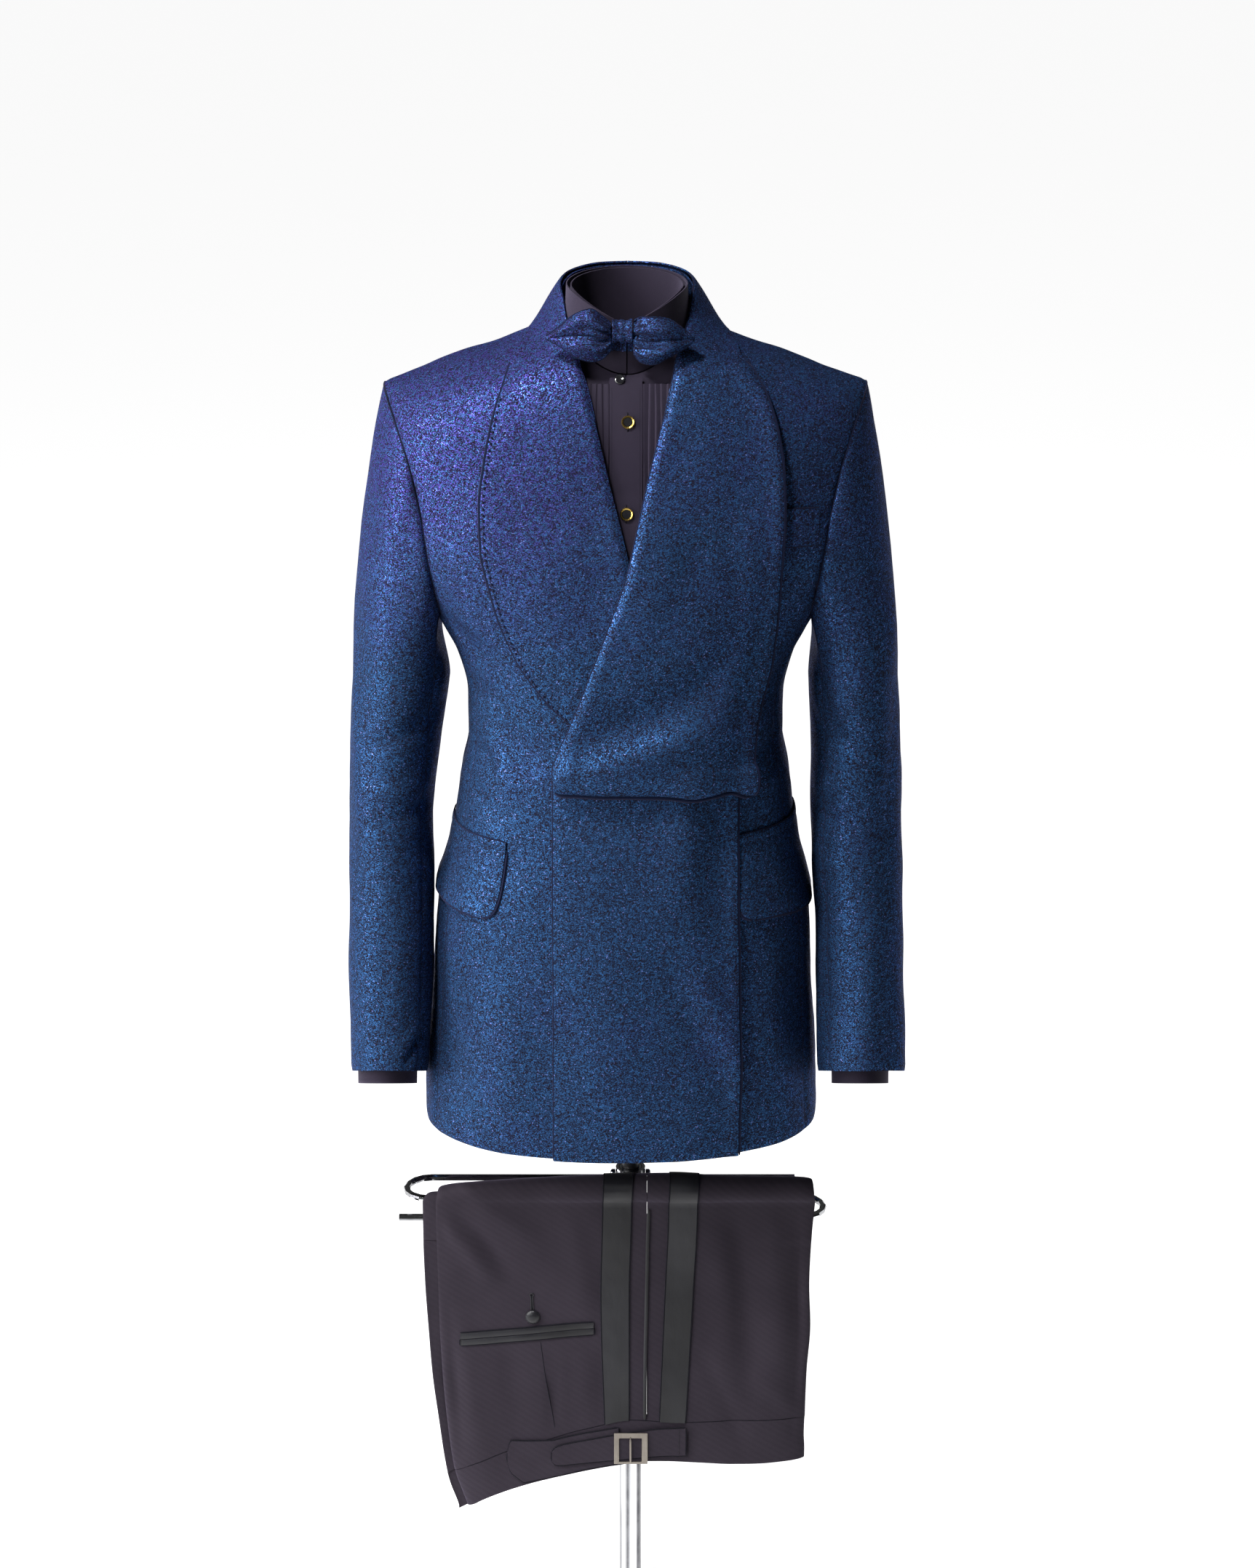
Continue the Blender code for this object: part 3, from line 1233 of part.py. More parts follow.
def build_trousers():
    for near, word in ((True, "near"), (False, "far")):
        trouser_panel("trouser_back_" + word, near, -1)
        trouser_panel("trouser_front_" + word, near, 1)
        waistband("waistband_" + word, near)
        stripe("stripe_back_" + word, near, "a0", "a1")
        stripe("stripe_front_" + word, near, "b0", "b1")
    flat_piece("waist_tab", ((-0.1226, -1.1480, -1.1600), (-0.1195, -1.1345, -1.1700),
                             (-0.1060, -1.1345, -1.1812), (-0.0750, -1.1330, -1.1735),
                             (-0.0420, -1.1250, -1.1650), (-0.0093, -1.1190, -1.1590)), 0.0016, 0.0011, TROUSER)
    flat_piece("waist_strap", ((-0.0770, -1.1455, -1.1560), (-0.0735, -1.1405, -1.1600),
                               (-0.0660, -1.1378, -1.1600), (-0.0300, -1.1300, -1.1560),
                               (0.0000, -1.1240, -1.1525), (0.0300, -1.1200, -1.1500),
                               (0.0590, -1.1184, -1.1491)), 0.0030, 0.0011, TROUSER)
    # square buckle of four bars with its middle bar
    made = bmesh.new()
    x0, x1, z0, z1 = -0.0137, 0.0204, -1.1577, -1.1228
    a0, a1, b0, b1 = -0.0085, 0.0145, -1.1552, -1.1286
    base = near_face(0.003, -1.140, 0.0034)[0].y
    rings = []
    for y in (base, base - 0.0016):
        for loop in (((x0, z0), (x1, z0), (x1, z1), (x0, z1)), ((a0, b0), (a1, b0), (a1, b1), (a0, b1))):
            rings.append([made.verts.new((x, y, z)) for x, z in loop])
    back_outer, back_inner, front_outer, front_inner = rings
    for i in range(4):
        j = (i + 1) % 4
        made.faces.new([front_outer[i], front_outer[j], front_inner[j], front_inner[i]])
        made.faces.new([back_outer[i], back_inner[i], back_inner[j], back_outer[j]])
        made.faces.new([front_outer[i], back_outer[i], back_outer[j], front_outer[j]])
        made.faces.new([front_inner[i], front_inner[j], back_inner[j], back_inner[i]])
    bmesh.ops.recalc_face_normals(made, faces=made.faces)
    mesh = bpy.data.meshes.new("side_buckle")
    made.to_mesh(mesh)
    made.free()
    obj = finish(mesh, "side_buckle", NICKEL)
    bevel = obj.modifiers.new("Bevel", "BEVEL")
    bevel.width = 0.0004
    bevel.segments = 1
    # back pocket: two jets, button and its loop
    def jet(x, z, off):
        return near_face(x, z, off)
    for name, shift in (("upper", 0.0), ("lower", -0.0068)):
        rows = []
        for g in steps(4):
            x = lerp(-0.1690, -0.0342, g)
            z = lerp(-1.0158, -1.0034, g) + shift
            rows.append((x, z, z - 0.0060))
        flat_piece("pocket_jet_" + name, rows, 0.0013, 0.0008, TROUSER, jet)
    p, n = near_face(-0.0958, -0.9975, 0.0)
    bpy.ops.mesh.primitive_cylinder_add(vertices=20, radius=0.0075, depth=0.0024)
    place(primitive("pocket_button", ONYX), p + n * 0.0021, n)


# ---------------------------------------------------------------- trouser rod and stand
def tube(name, points, radius, paint, cyclic=False, sides=3):
    curve = bpy.data.curves.new(name, "CURVE")
    curve.dimensions = "3D"
    curve.resolution_u = 1
    curve.bevel_depth = radius
    curve.bevel_resolution = sides
    curve.use_fill_caps = True
    spline = curve.splines.new("POLY")
    spline.points.add(len(points) - 1)
    for point, co in zip(spline.points, points):
        point.co = (*co, 1)
    spline.use_cyclic_u = cyclic
    obj = bpy.data.objects.new(name, curve)
    bpy.context.scene.collection.objects.link(obj)
    curve.materials.append(material(*paint))
    return obj


def u_turn(x, y0, y1, z, way):
    """Half circle from y0 to y1 that swells towards way in x."""
    middle, r = (y0 + y1) / 2, (y1 - y0) / 2
    return [(x + way * abs(r) * math.sin(math.pi * f), middle - r * math.cos(math.pi * f), z) for f in steps(8)]


def build_rod():
    reach = (ROD_BACK_Y - ROD_FRONT_Y) / 2
    left = -0.2262 + reach + ROD_R
    # upper U: closed at the left, its bars run to the right
    points = [(0.1700, ROD_BACK_Y, ROD_Z)] + u_turn(left, ROD_BACK_Y, ROD_FRONT_Y, ROD_Z, -1)
    points.append((0.1760, ROD_FRONT_Y, ROD_Z))
    tube("rod_upper", points, ROD_R, CHROME)
    # lower U: closed at the right, its front bar runs out to the left
    z = -0.8935
    right = 0.2013 - reach - ROD_R
    points = [(-0.2292, ROD_FRONT_Y, z)] + u_turn(right, ROD_FRONT_Y, ROD_BACK_Y, z, 1)
    points.append((-0.2000, ROD_BACK_Y, z))
    tube("rod_lower", points, ROD_R, CHROME)
    # hub: a collar round the pole that carries the back bars
    bpy.ops.mesh.primitive_cylinder_add(vertices=24, radius=0.0150, depth=0.059)
    hub = primitive("rod_hub", CHROME)
    hub.location = (POLE_X, 0.0, -0.8825)
    cut = []
    for name, radius, where, turn, length in (
        ("cut_upper", ROD_R + 0.0004, (POLE_X, ROD_BACK_Y, ROD_Z), (0, math.pi / 2, 0), 0.08),
        ("cut_lower", ROD_R + 0.0004, (POLE_X, ROD_BACK_Y, z), (0, math.pi / 2, 0), 0.08),
        ("cut_pole", 0.0119, (POLE_X, 0, -0.8825), (0, 0, 0), 0.09),
    ):
        bpy.ops.mesh.primitive_cylinder_add(vertices=16, radius=radius, depth=length, location=where, rotation=turn)
        tool = bpy.context.active_object
        tool.name = name
        tool.hide_render = True
        tool.display_type = "WIRE"
        cut.append(tool)
    bpy.ops.mesh.primitive_cube_add(size=1, location=(POLE_X, 0.0155, -0.8825))
    block = bpy.context.active_object
    block.name = "hub_block"
    block.scale = (0.024, 0.014, 0.059)
    block.hide_render = True
    block.display_type = "WIRE"
    union = hub.modifiers.new("Block", "BOOLEAN")
    union.operation = "UNION"
    union.solver = "EXACT"
    union.object = block
    for tool in cut:
        made = hub.modifiers.new(tool.name, "BOOLEAN")
        made.operation = "DIFFERENCE"
        made.solver = "EXACT"
        made.object = tool
    bpy.ops.mesh.primitive_cylinder_add(vertices=40, radius=POLE_R - 0.0002, depth=-0.853 - POLE_BOTTOM)
    pole = primitive("pole_chrome", CHROME)
    pole.location = (POLE_X, 0, (POLE_BOTTOM - 0.853) / 2)
    bpy.ops.mesh.primitive_cylinder_add(vertices=32, radius=0.0088, depth=0.142)
    upper = primitive("pole_dark", DARK)
    upper.location = (POLE_X, 0, -0.853 + GAP + 0.071)


def main():
    for obj in list(bpy.data.objects):
        bpy.data.objects.remove(obj, do_unlink=True)
    build_body()
    build_sleeves()
    build_lapels()
    build_stand()
    build_wrap()
    build_flaps()
    build_shirt()
    build_cuffs()
    build_shirt_sleeves()
    build_bow()
    build_trousers()
    build_rod()


main()
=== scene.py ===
"""Tuxedo on its stand: shell of cloth, sewing and materials over the solids, in metres."""
import json
from math import asin, atan2, copysign, cos, exp, hypot, pi, radians, sin, sqrt

import bpy
import numpy as np
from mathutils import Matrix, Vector

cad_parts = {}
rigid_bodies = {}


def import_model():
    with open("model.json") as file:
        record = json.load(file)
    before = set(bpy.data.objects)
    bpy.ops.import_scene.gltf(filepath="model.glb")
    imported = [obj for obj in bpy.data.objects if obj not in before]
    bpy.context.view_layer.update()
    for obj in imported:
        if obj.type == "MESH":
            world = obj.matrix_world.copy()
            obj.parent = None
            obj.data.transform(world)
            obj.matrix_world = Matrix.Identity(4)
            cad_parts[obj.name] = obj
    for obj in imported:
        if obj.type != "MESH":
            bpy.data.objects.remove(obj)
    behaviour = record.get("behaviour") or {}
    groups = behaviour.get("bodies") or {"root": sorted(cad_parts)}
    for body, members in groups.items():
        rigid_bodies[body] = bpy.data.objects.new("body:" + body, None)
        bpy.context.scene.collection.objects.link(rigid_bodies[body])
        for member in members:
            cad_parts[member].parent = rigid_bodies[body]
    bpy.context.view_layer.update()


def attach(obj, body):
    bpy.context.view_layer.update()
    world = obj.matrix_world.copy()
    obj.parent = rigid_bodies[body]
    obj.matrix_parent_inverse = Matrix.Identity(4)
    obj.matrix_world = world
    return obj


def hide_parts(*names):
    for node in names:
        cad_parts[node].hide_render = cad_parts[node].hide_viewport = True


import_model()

# Driving sizes
CLOTH = 0.0014            # jacket wall
SHIRTING = 0.0010         # shirt wall
WOOL = 0.0010             # trouser wall
GAP = 0.0004              # left at every seam
HEM_Z = -0.786            # jacket hem
CHEST_Z = -0.130          # above this the panels round over to the shoulder seam
UNDERARM_Z = -0.262       # lowest point of the armhole
ROUND = 2.0 / 2.4         # exponent of the rounding at the shoulder
SQUARE = 2.35             # exponent of the body's cross-sections
TOP_ROW = 89.965          # turn of the last row of the body, at the shoulder seam, in degrees
SEAM_FRONT = radians(68)     # front to side panel seam, turned from centre front
SEAM_BACK = radians(112)     # side panel to back seam
NECK_X = 0.086            # half width of the neck opening at the shoulder seams
SHOULDER_X = 0.2265       # outer end of the shoulder seam
SEAM_R = 0.16             # mean radius at the side seams, for their gaps
SLEEVE_TOP = -0.335       # below this the sleeve is a plain tube
SLEEVE_TRIM = 0.00025     # left at each side of a sleeve seam
TUCK_REACH = 0.0032       # width over which an edge turns in to its seam
SIDES = ((-1, "right"), (1, "left"))
TOP_MID = -0.002          # middle of the jacket at the shoulders
ROD_R = 0.0035
ROD_Z = -0.873
ROD_FRONT_Y = -0.0325     # rod that the trousers hang over
POLE_BOTTOM = -1.325
LEG_HEM_Z = -0.9140


def cubic(a, b, leave, arrive, t):
    """Smooth way from a to b, setting off along leave and coming in along arrive."""
    return (a * (2 * t**3 - 3 * t**2 + 1) + leave * (t**3 - 2 * t**2 + t)
            + b * (3 * t**2 - 2 * t**3) + arrive * (t**3 - t**2))


TABLE_STEPS = 1600


def table(names, *rows):
    """Columns by name over evenly spaced keys, read smoothly from the rows."""
    rows = sorted(rows)
    keys = [row[0] for row in rows]
    spans = [b - a for a, b in zip(keys, keys[1:])]
    made = {"low": keys[0], "rate": TABLE_STEPS / (keys[-1] - keys[0])}
    for column, name in enumerate(names.split()):
        ys = [row[column] for row in rows]
        slopes = [(b - a) / h for a, b, h in zip(ys, ys[1:], spans)]
        bends = [slopes[0]]
        for a, b in zip(slopes, slopes[1:]):
            bends.append(0.0 if a * b <= 0 else 2 * a * b / (a + b))
        bends.append(slopes[-1])
        line = []
        for key in np.linspace(keys[0], keys[-1], TABLE_STEPS + 1):
            i = min(len(spans) - 1, max(j for j in range(len(spans)) if keys[j] <= key + 1e-12))
            h = spans[i]
            line.append(float(cubic(ys[i], ys[i + 1], h * bends[i], h * bends[i + 1],
                                    (key - keys[i]) / h)))
        made[name] = line
    return made


def at(tab, column, key):
    line, t = tab[column], (key - tab["low"]) * tab["rate"]
    if t <= 0:
        return line[0]
    if t >= TABLE_STEPS:
        return line[-1]
    i = int(t)
    return line[i] + (line[i + 1] - line[i]) * (t - i)


def lerp(a, b, t):
    return a + (b - a) * t


def ramp(v):
    v = min(1.0, max(0.0, v))
    return v * v * (3 - 2 * v)


# Cross-sections of the jacket body
BODY = table(
    "z half mid front back",
    (-0.786, 0.1947, -0.0066, 0.130, 0.118),
    (-0.730, 0.1935, -0.0062, 0.130, 0.118),
    (-0.620, 0.1855, -0.0045, 0.128, 0.115),
    (-0.545, 0.1800, -0.0038, 0.126, 0.111),
    (-0.495, 0.1680, -0.0034, 0.122, 0.105),
    (-0.455, 0.1630, -0.0030, 0.119, 0.100),
    (-0.425, 0.1590, -0.0026, 0.117, 0.096),
    (-0.388, 0.1524, -0.0018, 0.116, 0.093),
    (-0.345, 0.1527, -0.0014, 0.118, 0.097),
    (-0.305, 0.1610, -0.0016, 0.121, 0.104),
    (-0.280, 0.1730, -0.0018, 0.123, 0.108),
    (-0.240, 0.1990, -0.0020, 0.124, 0.112),
    (-0.200, 0.2200, -0.0020, 0.123, 0.114),
    (-0.130, 0.2360, -0.0020, 0.114, 0.112),
)
# Height of the shoulder line over the distance from the middle
SHOULDER = table(
    "x z",
    (0.0, 0.0120), (0.060, 0.0100), (0.089, 0.0010), (0.1216, -0.0120),
    (0.150, -0.0205), (0.1736, -0.0290), (0.1915, -0.0362), (0.2265, -0.0484), (0.240, -0.053),
)
# Armhole edge below the chest line, front and back
ARMHOLE = table(
    "z front back",
    (-0.262, 0.1737, 0.1737), (-0.235, 0.1785, 0.1815), (-0.200, 0.1840, 0.1905),
    (-0.165, 0.1890, 0.1975), (-0.130, 0.1965, 0.2020),
)


def seam_y(x):
    return 0.012 - 0.007 * min(1.0, abs(x) / SHOULDER_X)


def ring_y(x, z, back):
    """Depth of the body form at width x on the ring of height z."""
    u = min(0.9995, abs(x - at(BODY, "mid", z)) / at(BODY, "half", z))
    d = (1 - u**SQUARE) ** (1 / SQUARE)
    return d * at(BODY, "back", z) if back else -d * at(BODY, "front", z)


def bare_xz(x, z, back):
    """Point of the body form at width x and height z."""
    if z <= CHEST_Z:
        return Vector((x, ring_y(x, z, back), z))
    top = at(SHOULDER, "z", abs(x - TOP_MID))
    s = min(1.0, (z - CHEST_Z) / (top - CHEST_Z)) ** (1 / ROUND)
    c = sqrt(max(0.0, 1 - s * s)) ** ROUND
    y = seam_y(x) + (ring_y(x, CHEST_Z, back) - seam_y(x)) * c
    return Vector((x, y, min(z, top)))


def on_body(x, z, off=0.0, back=False):
    """The same point, moved out from the body by off."""
    h = 0.0008
    p = bare_xz(x, z, back)
    dx = bare_xz(x + h, z, back) - bare_xz(x - h, z, back)
    dz = bare_xz(x, z, back) - bare_xz(x, z - 2 * h, back)
    n = dx.cross(dz)
    n.normalize()
    if n.y * (1 if back else -1) < -0.2:
        n.negate()
    return p + n * off


def row_point(x_top, phi, row, back):
    """Body form by row: below zero a height, above zero degrees up to the shoulder seam."""
    if row <= 0:
        z = row if row < 0 else CHEST_Z
        e = 2 / SQUARE
        s, c = sin(phi), cos(phi)
        x = at(BODY, "mid", z) + at(BODY, "half", z) * copysign(abs(s) ** e, s)
        depth = at(BODY, "front", z) if c >= 0 else at(BODY, "back", z)
        return Vector((x, -depth * copysign(abs(c) ** e, c), z))
    a = radians(row)
    top = at(SHOULDER, "z", abs(x_top - TOP_MID))
    z = CHEST_Z + (top - CHEST_Z) * sin(a) ** ROUND
    y0 = ring_y(x_top, CHEST_Z, back)
    return Vector((x_top, seam_y(x_top) + (y0 - seam_y(x_top)) * cos(a) ** ROUND, z))


def phi_of(x, z):
    u = (x - at(BODY, "mid", z)) / at(BODY, "half", z)
    u = max(-0.9999, min(0.9999, u))
    return asin(copysign(abs(u) ** (SQUARE / 2), u))


def outer_x(row, back):
    """Distance of the armhole edge from the middle, for the rows that meet it."""
    column = "back" if back else "front"
    base = at(ARMHOLE, column, CHEST_Z if row >= 0 else row)
    if row <= 0:
        return base
    return base + (SHOULDER_X - base) * sin(radians(row))


def steps(count):
    return [i / count for i in range(count + 1)]


# ---------------- jacket form
# Inner edges of the two fronts. The wearer's right front runs on under the left one.
FRONT_EDGE = table(
    "row right left",
    (-0.786, 0.085, -0.0655), (-0.430, 0.085, -0.0650), (-0.385, 0.082, -0.0590),
    (-0.352, 0.068, -0.0460), (-0.320, 0.048, -0.0360), (-0.290, 0.030, -0.0260),
    (-0.262, 0.018, -0.0150), (-0.232, 0.008, -0.0040), (-0.200, -0.004, 0.0060),
    (-0.165, -0.013, 0.0150), (0, -0.0205, 0.0250),
)


def inner_x(row, side):
    column = "left" if side > 0 else "right"
    if row < 0:
        return at(FRONT_EDGE, column, row)
    start = at(FRONT_EDGE, column, 0)
    stop = side * NECK_X + TOP_MID
    t = row / 90
    return start + (stop - start) * (0.45 * t + 0.55 * t**3)


def left_rise(x, z):
    """How far the wearer's left front stands off the form where it covers the right one."""
    down = ramp((-0.155 - z) / 0.040)
    over = 0.0023 * ramp((0.125 - x) / 0.040) * down
    lapel = 0.0031 * ramp((0.060 - x) / 0.045) * down * ramp((z + 0.385) / 0.030)
    return over + lapel


def form_frame(x_top, phi, row, back):
    """Point of the body form and its outward direction."""
    p = row_point(x_top, phi, row, back)
    if row <= 0:
        z = row if row < 0 else CHEST_Z
        du = row_point(0, phi + 0.01, row, back) - row_point(0, phi - 0.01, row, back)
        dv = row_point(0, phi, min(z + 0.008, CHEST_Z), back) - row_point(0, phi, z - 0.008, back)
        n = du.cross(dv)
        out = Vector((p.x - at(BODY, "mid", z), p.y, 0))
    else:
        h = 0.004
        du = row_point(x_top + h, 0, row, back) - row_point(x_top - h, 0, row, back)
        if row > 85:
            dv = Vector((0, 1, 0))
        else:
            dv = row_point(x_top, 0, row + 3, back) - row_point(x_top, 0, max(0.5, row - 3), back)
        n = du.cross(dv)
        out = Vector((p.x * 0.3, p.y, p.z - CHEST_Z + 0.02))
    n.normalize()
    if n.dot(out) < 0:
        n.negate()
    return p, n


def front_grid(side, rows, count, rise=None, trim=GAP / 2):
    """Rows of (point, direction) from the inner edge to the side seam or armhole."""
    grid = []
    for row in rows:
        z = row if row < 0 else CHEST_Z
        if row < UNDERARM_Z + 1e-6:
            out = side * (SEAM_FRONT - trim / SEAM_R)
        else:
            out = phi_of(side * outer_x(min(row, 0), False) + at(BODY, "mid", z), z)
        start = phi_of(inner_x(row, side), z)
        line = []
        for f in steps(count):
            if row <= 0:
                p, n = form_frame(0, lerp(start, out, f), row, False)
            else:
                last = phi_of(side * outer_x(row, False) + TOP_MID, CHEST_Z)
                x = row_point(0, lerp(start, last, f), CHEST_Z, False).x
                p, n = form_frame(x, 0, row, False)
            line.append((p + n * (rise(p.x, p.z) if rise else 0.0), n))
        grid.append(line)
    return grid


NECK_BACK_ANGLE = 62.0


def back_grid(side, rows, count, trim=GAP / 2):
    """Rows of (point, direction) from the centre back seam to the side seam or armhole."""
    grid = []
    for row in rows:
        z = row if row < 0 else CHEST_Z
        start = (trim / at(BODY, "half", z)) ** (SQUARE / 2)
        if row < UNDERARM_Z + 1e-6:
            out = pi - SEAM_BACK - trim / SEAM_R
        else:
            out = phi_of(outer_x(min(row, 0), True) + at(BODY, "mid", z), z)
        line = []
        for f in steps(count):
            if row <= 0:
                line.append(form_frame(0, side * (pi - lerp(start, out, f)), row, True))
                continue
            last = phi_of(outer_x(row, True) + TOP_MID, CHEST_Z)
            x = row_point(0, lerp(start, last, f), CHEST_Z, False).x - TOP_MID
            reach = lerp(NECK_BACK_ANGLE, TOP_ROW, min(1.0, max(0.0, x / NECK_X)) ** 2.2)
            line.append(form_frame(TOP_MID + side * x, 0, row * reach / TOP_ROW, True))
        grid.append(line)
    return grid


def side_grid(side, rows, count):
    a, b = SEAM_FRONT + GAP / 2 / SEAM_R, SEAM_BACK - GAP / 2 / SEAM_R
    return [[form_frame(0, side * lerp(a, b, f), row, False) for f in steps(count)] for row in rows]


# ---------------- sleeves
SLEEVE_RIGHT = table(
    "z x rx y ry slope",
    (-0.335, 0.2180, 0.0468, 0.002, 0.070, 0.00), (-0.395, 0.2245, 0.0440, 0.003, 0.066, -0.04),
    (-0.480, 0.2305, 0.0408, -0.004, 0.060, -0.12), (-0.600, 0.2312, 0.0418, -0.026, 0.055, -0.30),
    (-0.7255, 0.2334, 0.0376, -0.053, 0.049, -0.43),
)
SLEEVE_LEFT = table(
    "z x rx y ry slope",
    (-0.335, 0.2168, 0.0433, 0.002, 0.070, 0.00), (-0.395, 0.2215, 0.0435, 0.003, 0.066, -0.04),
    (-0.480, 0.2230, 0.0445, -0.004, 0.060, -0.12), (-0.600, 0.2270, 0.0430, -0.026, 0.055, -0.30),
    (-0.7255, 0.2300, 0.0438, -0.053, 0.049, -0.43),
)
SEAM_A = radians(142)    # front seam of the sleeve, turned from its outer side
SEAM_B = radians(222)    # back seam


def sleeve_ring(side, z, angle, inset):
    tab = SLEEVE_LEFT if side > 0 else SLEEVE_RIGHT
    rx, ry = at(tab, "rx", z) - inset, at(tab, "ry", z) - inset
    x = side * (at(tab, "x", z) + rx * cos(angle))
    dy = -ry * sin(angle)
    return Vector((x, at(tab, "y", z) + dy, z + at(tab, "slope", z) * dy))


def sleeve_grid(side, loop, angles, blend, heights, inset, stand, leave):
    """Rows from the armhole loop down the arm; leave gives how the line of a point sets off."""
    start = [p + Vector((side * stand, 0, 0)) for p in loop]
    grid = [start]
    for s in blend:
        line = []
        for p0, angle in zip(start, angles):
            p1 = sleeve_ring(side, SLEEVE_TOP, angle, inset)
            span = (p1 - p0).length
            line.append(cubic(p0, p1, Vector(leave(p0, angle)) * span, Vector((0, 0, -span)), s))
        grid.append(line)
    return grid + [[sleeve_ring(side, z, angle, inset) for angle in angles] for z in heights]


def sleeve_inward(loop):
    """Direction of the wall's inner side along the armhole, square to it and clear of the body."""
    middle = sum(loop, Vector((0, 0, 0))) / len(loop)
    found = []
    for i, p in enumerate(loop):
        inner = (loop[(i + 1) % len(loop)] - loop[i - 1]).cross(Vector((1, 0, 0)))
        inner.x = 0
        inner.normalize()
        if inner.dot(middle - p) < 0:
            inner.negate()
        found.append(inner)
    return vectors([found])[0]


# ---------------- lapels and collar
def bezier(a, m, b, t):
    return a * (1 - t) ** 2 + m * 2 * t * (1 - t) + b * t * t


# Stations of a shawl from the centre back round the neck: roll edge, bend and outer edge
NECK_STATIONS = (
    # roll x, y, z          bend x, y, z              outer x, z, back
    ((0.0003, 0.0665, 0.0565), (0.0003, 0.087, 0.047), (0.0003, -0.014, True)),
    ((0.034, 0.0580, 0.0555), (0.044, 0.078, 0.044), (0.052, -0.011, True)),
    ((0.056, 0.0380, 0.0515), (0.072, 0.051, 0.034), (0.081, -0.003, True)),
    ((0.0640, 0.012, 0.0445), (0.0775, 0.012, 0.014), (0.0945, 0.0, None)),
    ((0.0605, -0.018, 0.0330), (0.0755, -0.020, 0.004), (0.1000, -0.008, False)),
    ((0.0545, -0.046, 0.0100), (0.0735, -0.054, -0.005), (0.1050, -0.018, False)),
)
RIGHT_STATIONS = table(
    "k rx rz ox oz off",
    (6, -0.0430, -0.018, -0.1115, -0.036, 0.0048), (7, -0.0335, -0.052, -0.1210, -0.066, 0.0048),
    (8, -0.0240, -0.088, -0.1290, -0.103, 0.0046), (9, -0.0155, -0.124, -0.1335, -0.144, 0.0042),
    (10, -0.0060, -0.162, -0.1325, -0.184, 0.0034), (11, 0.0030, -0.202, -0.1258, -0.219, 0.0030),
    (12, 0.0080, -0.242, -0.1150, -0.257, 0.0030), (13, 0.0080, -0.277, -0.1010, -0.291, 0.0030),
    (14, 0.0000, -0.310, -0.0835, -0.317, 0.0030), (15, -0.0160, -0.334, -0.0660, -0.337, 0.0030),
    (16, -0.0360, -0.3490, -0.0500, -0.3505, 0.0030),
)
LEFT_STATIONS = table(
    "k rx rz ox oz off",
    (6, 0.0440, -0.0160, 0.1130, -0.0270, 0.0048), (7, 0.0375, -0.046, 0.1255, -0.050, 0.0048),
    (8, 0.0290, -0.078, 0.1345, -0.080, 0.0048), (9, 0.0185, -0.120, 0.1392, -0.115, 0.0050),
    (10, 0.0095, -0.162, 0.1398, -0.155, 0.0056), (11, -0.0010, -0.207, 0.1378, -0.198, 0.0080),
    (12, -0.0165, -0.252, 0.1350, -0.245, 0.0090), (13, -0.0340, -0.300, 0.1285, -0.290, 0.0100),
    (14, -0.0480, -0.340, 0.1185, -0.333, 0.0118), (15, -0.0590, -0.368, 0.1120, -0.365, 0.0142),
    (16, -0.0650, -0.3860, 0.1085, -0.3920, 0.0172),
)
# The draped lapel's fold at the waist: how far below the last station, and off the body
FOLD = ((-0.0085, 0.0196), (-0.0165, 0.0208), (-0.0235, 0.0190), (-0.0268, 0.0145),
        (-0.0255, 0.0100), (-0.0195, 0.0070), (-0.0100, 0.0058))
EDGE_OFF = 0.0030         # the lapel's outer edge lies down on the front


def neck_lapel_row(station, side, spread):
    (rx, ry, rz), (mx, my, mz), (ox, oz, back) = station
    r, m = Vector((side * rx, ry, rz)), Vector((side * mx, my, mz))
    if back is None:
        top = at(SHOULDER, "z", abs(ox - TOP_MID))
        o = Vector((side * ox, seam_y(ox), top + 0.0036))
    else:
        o = on_body(side * ox, oz, 0.0036, back)
    return [bezier(r, m, o, t) for t in spread]


def front_lapel_row(tab, k, spread, drop=0.0, off=None):
    row = []
    for t in spread:
        x = lerp(at(tab, "rx", k), at(tab, "ox", k), t)
        z = lerp(at(tab, "rz", k), at(tab, "oz", k), t)
        stand = at(tab, "off", k) if off is None else off
        if off is None:
            low = max(EDGE_OFF, stand - 0.0050)
            stand -= (stand - low) * ramp((t - 0.80) / 0.20) + 0.0012 * ramp((0.06 - t) / 0.06)
        p = on_body(x, z + drop, 0.0)
        n = (on_body(x, z + drop, 0.01) - p).normalized()
        if drop:
            n = Vector((n.x, n.y, 0)).normalized()
        row.append(p + n * (stand + (left_rise(x, z) if tab is LEFT_STATIONS and k < 11 else 0.0)))
    return row


# ---------------- shirt
SHIRT_OFF = -0.0075       # the shirt lies this far inside the jacket's form
SHIRT_UNDERARM = -0.245
SHIRT_HOLE = 0.004        # the shirt's armhole lies this much inside the jacket's
COLLAR_X, COLLAR_Y = -0.0005, -0.0105
BAND_RX, BAND_RY = 0.0526, 0.0640


def shirt_frame(x_top, phi, row, back):
    p, n = form_frame(x_top, phi, row, back)
    return p + n * SHIRT_OFF, n


def shirt_reach(x_top, back):
    """How far up its row the shirt goes at this width, to end just outside the collar band."""
    low, high = 20.0, TOP_ROW

    def outside(row):
        p, _ = shirt_frame(x_top, 0, row, back)
        v = (p.y - COLLAR_Y) / (BAND_RY + (0.0024 if back else 0.0016))
        u = (p.x - COLLAR_X) / (BAND_RX + 0.0010)
        return u * u + v * v > 1
    if outside(high):
        return high
    for _ in range(24):
        middle = (low + high) / 2
        if outside(middle):
            low = middle
        else:
            high = middle
    return low


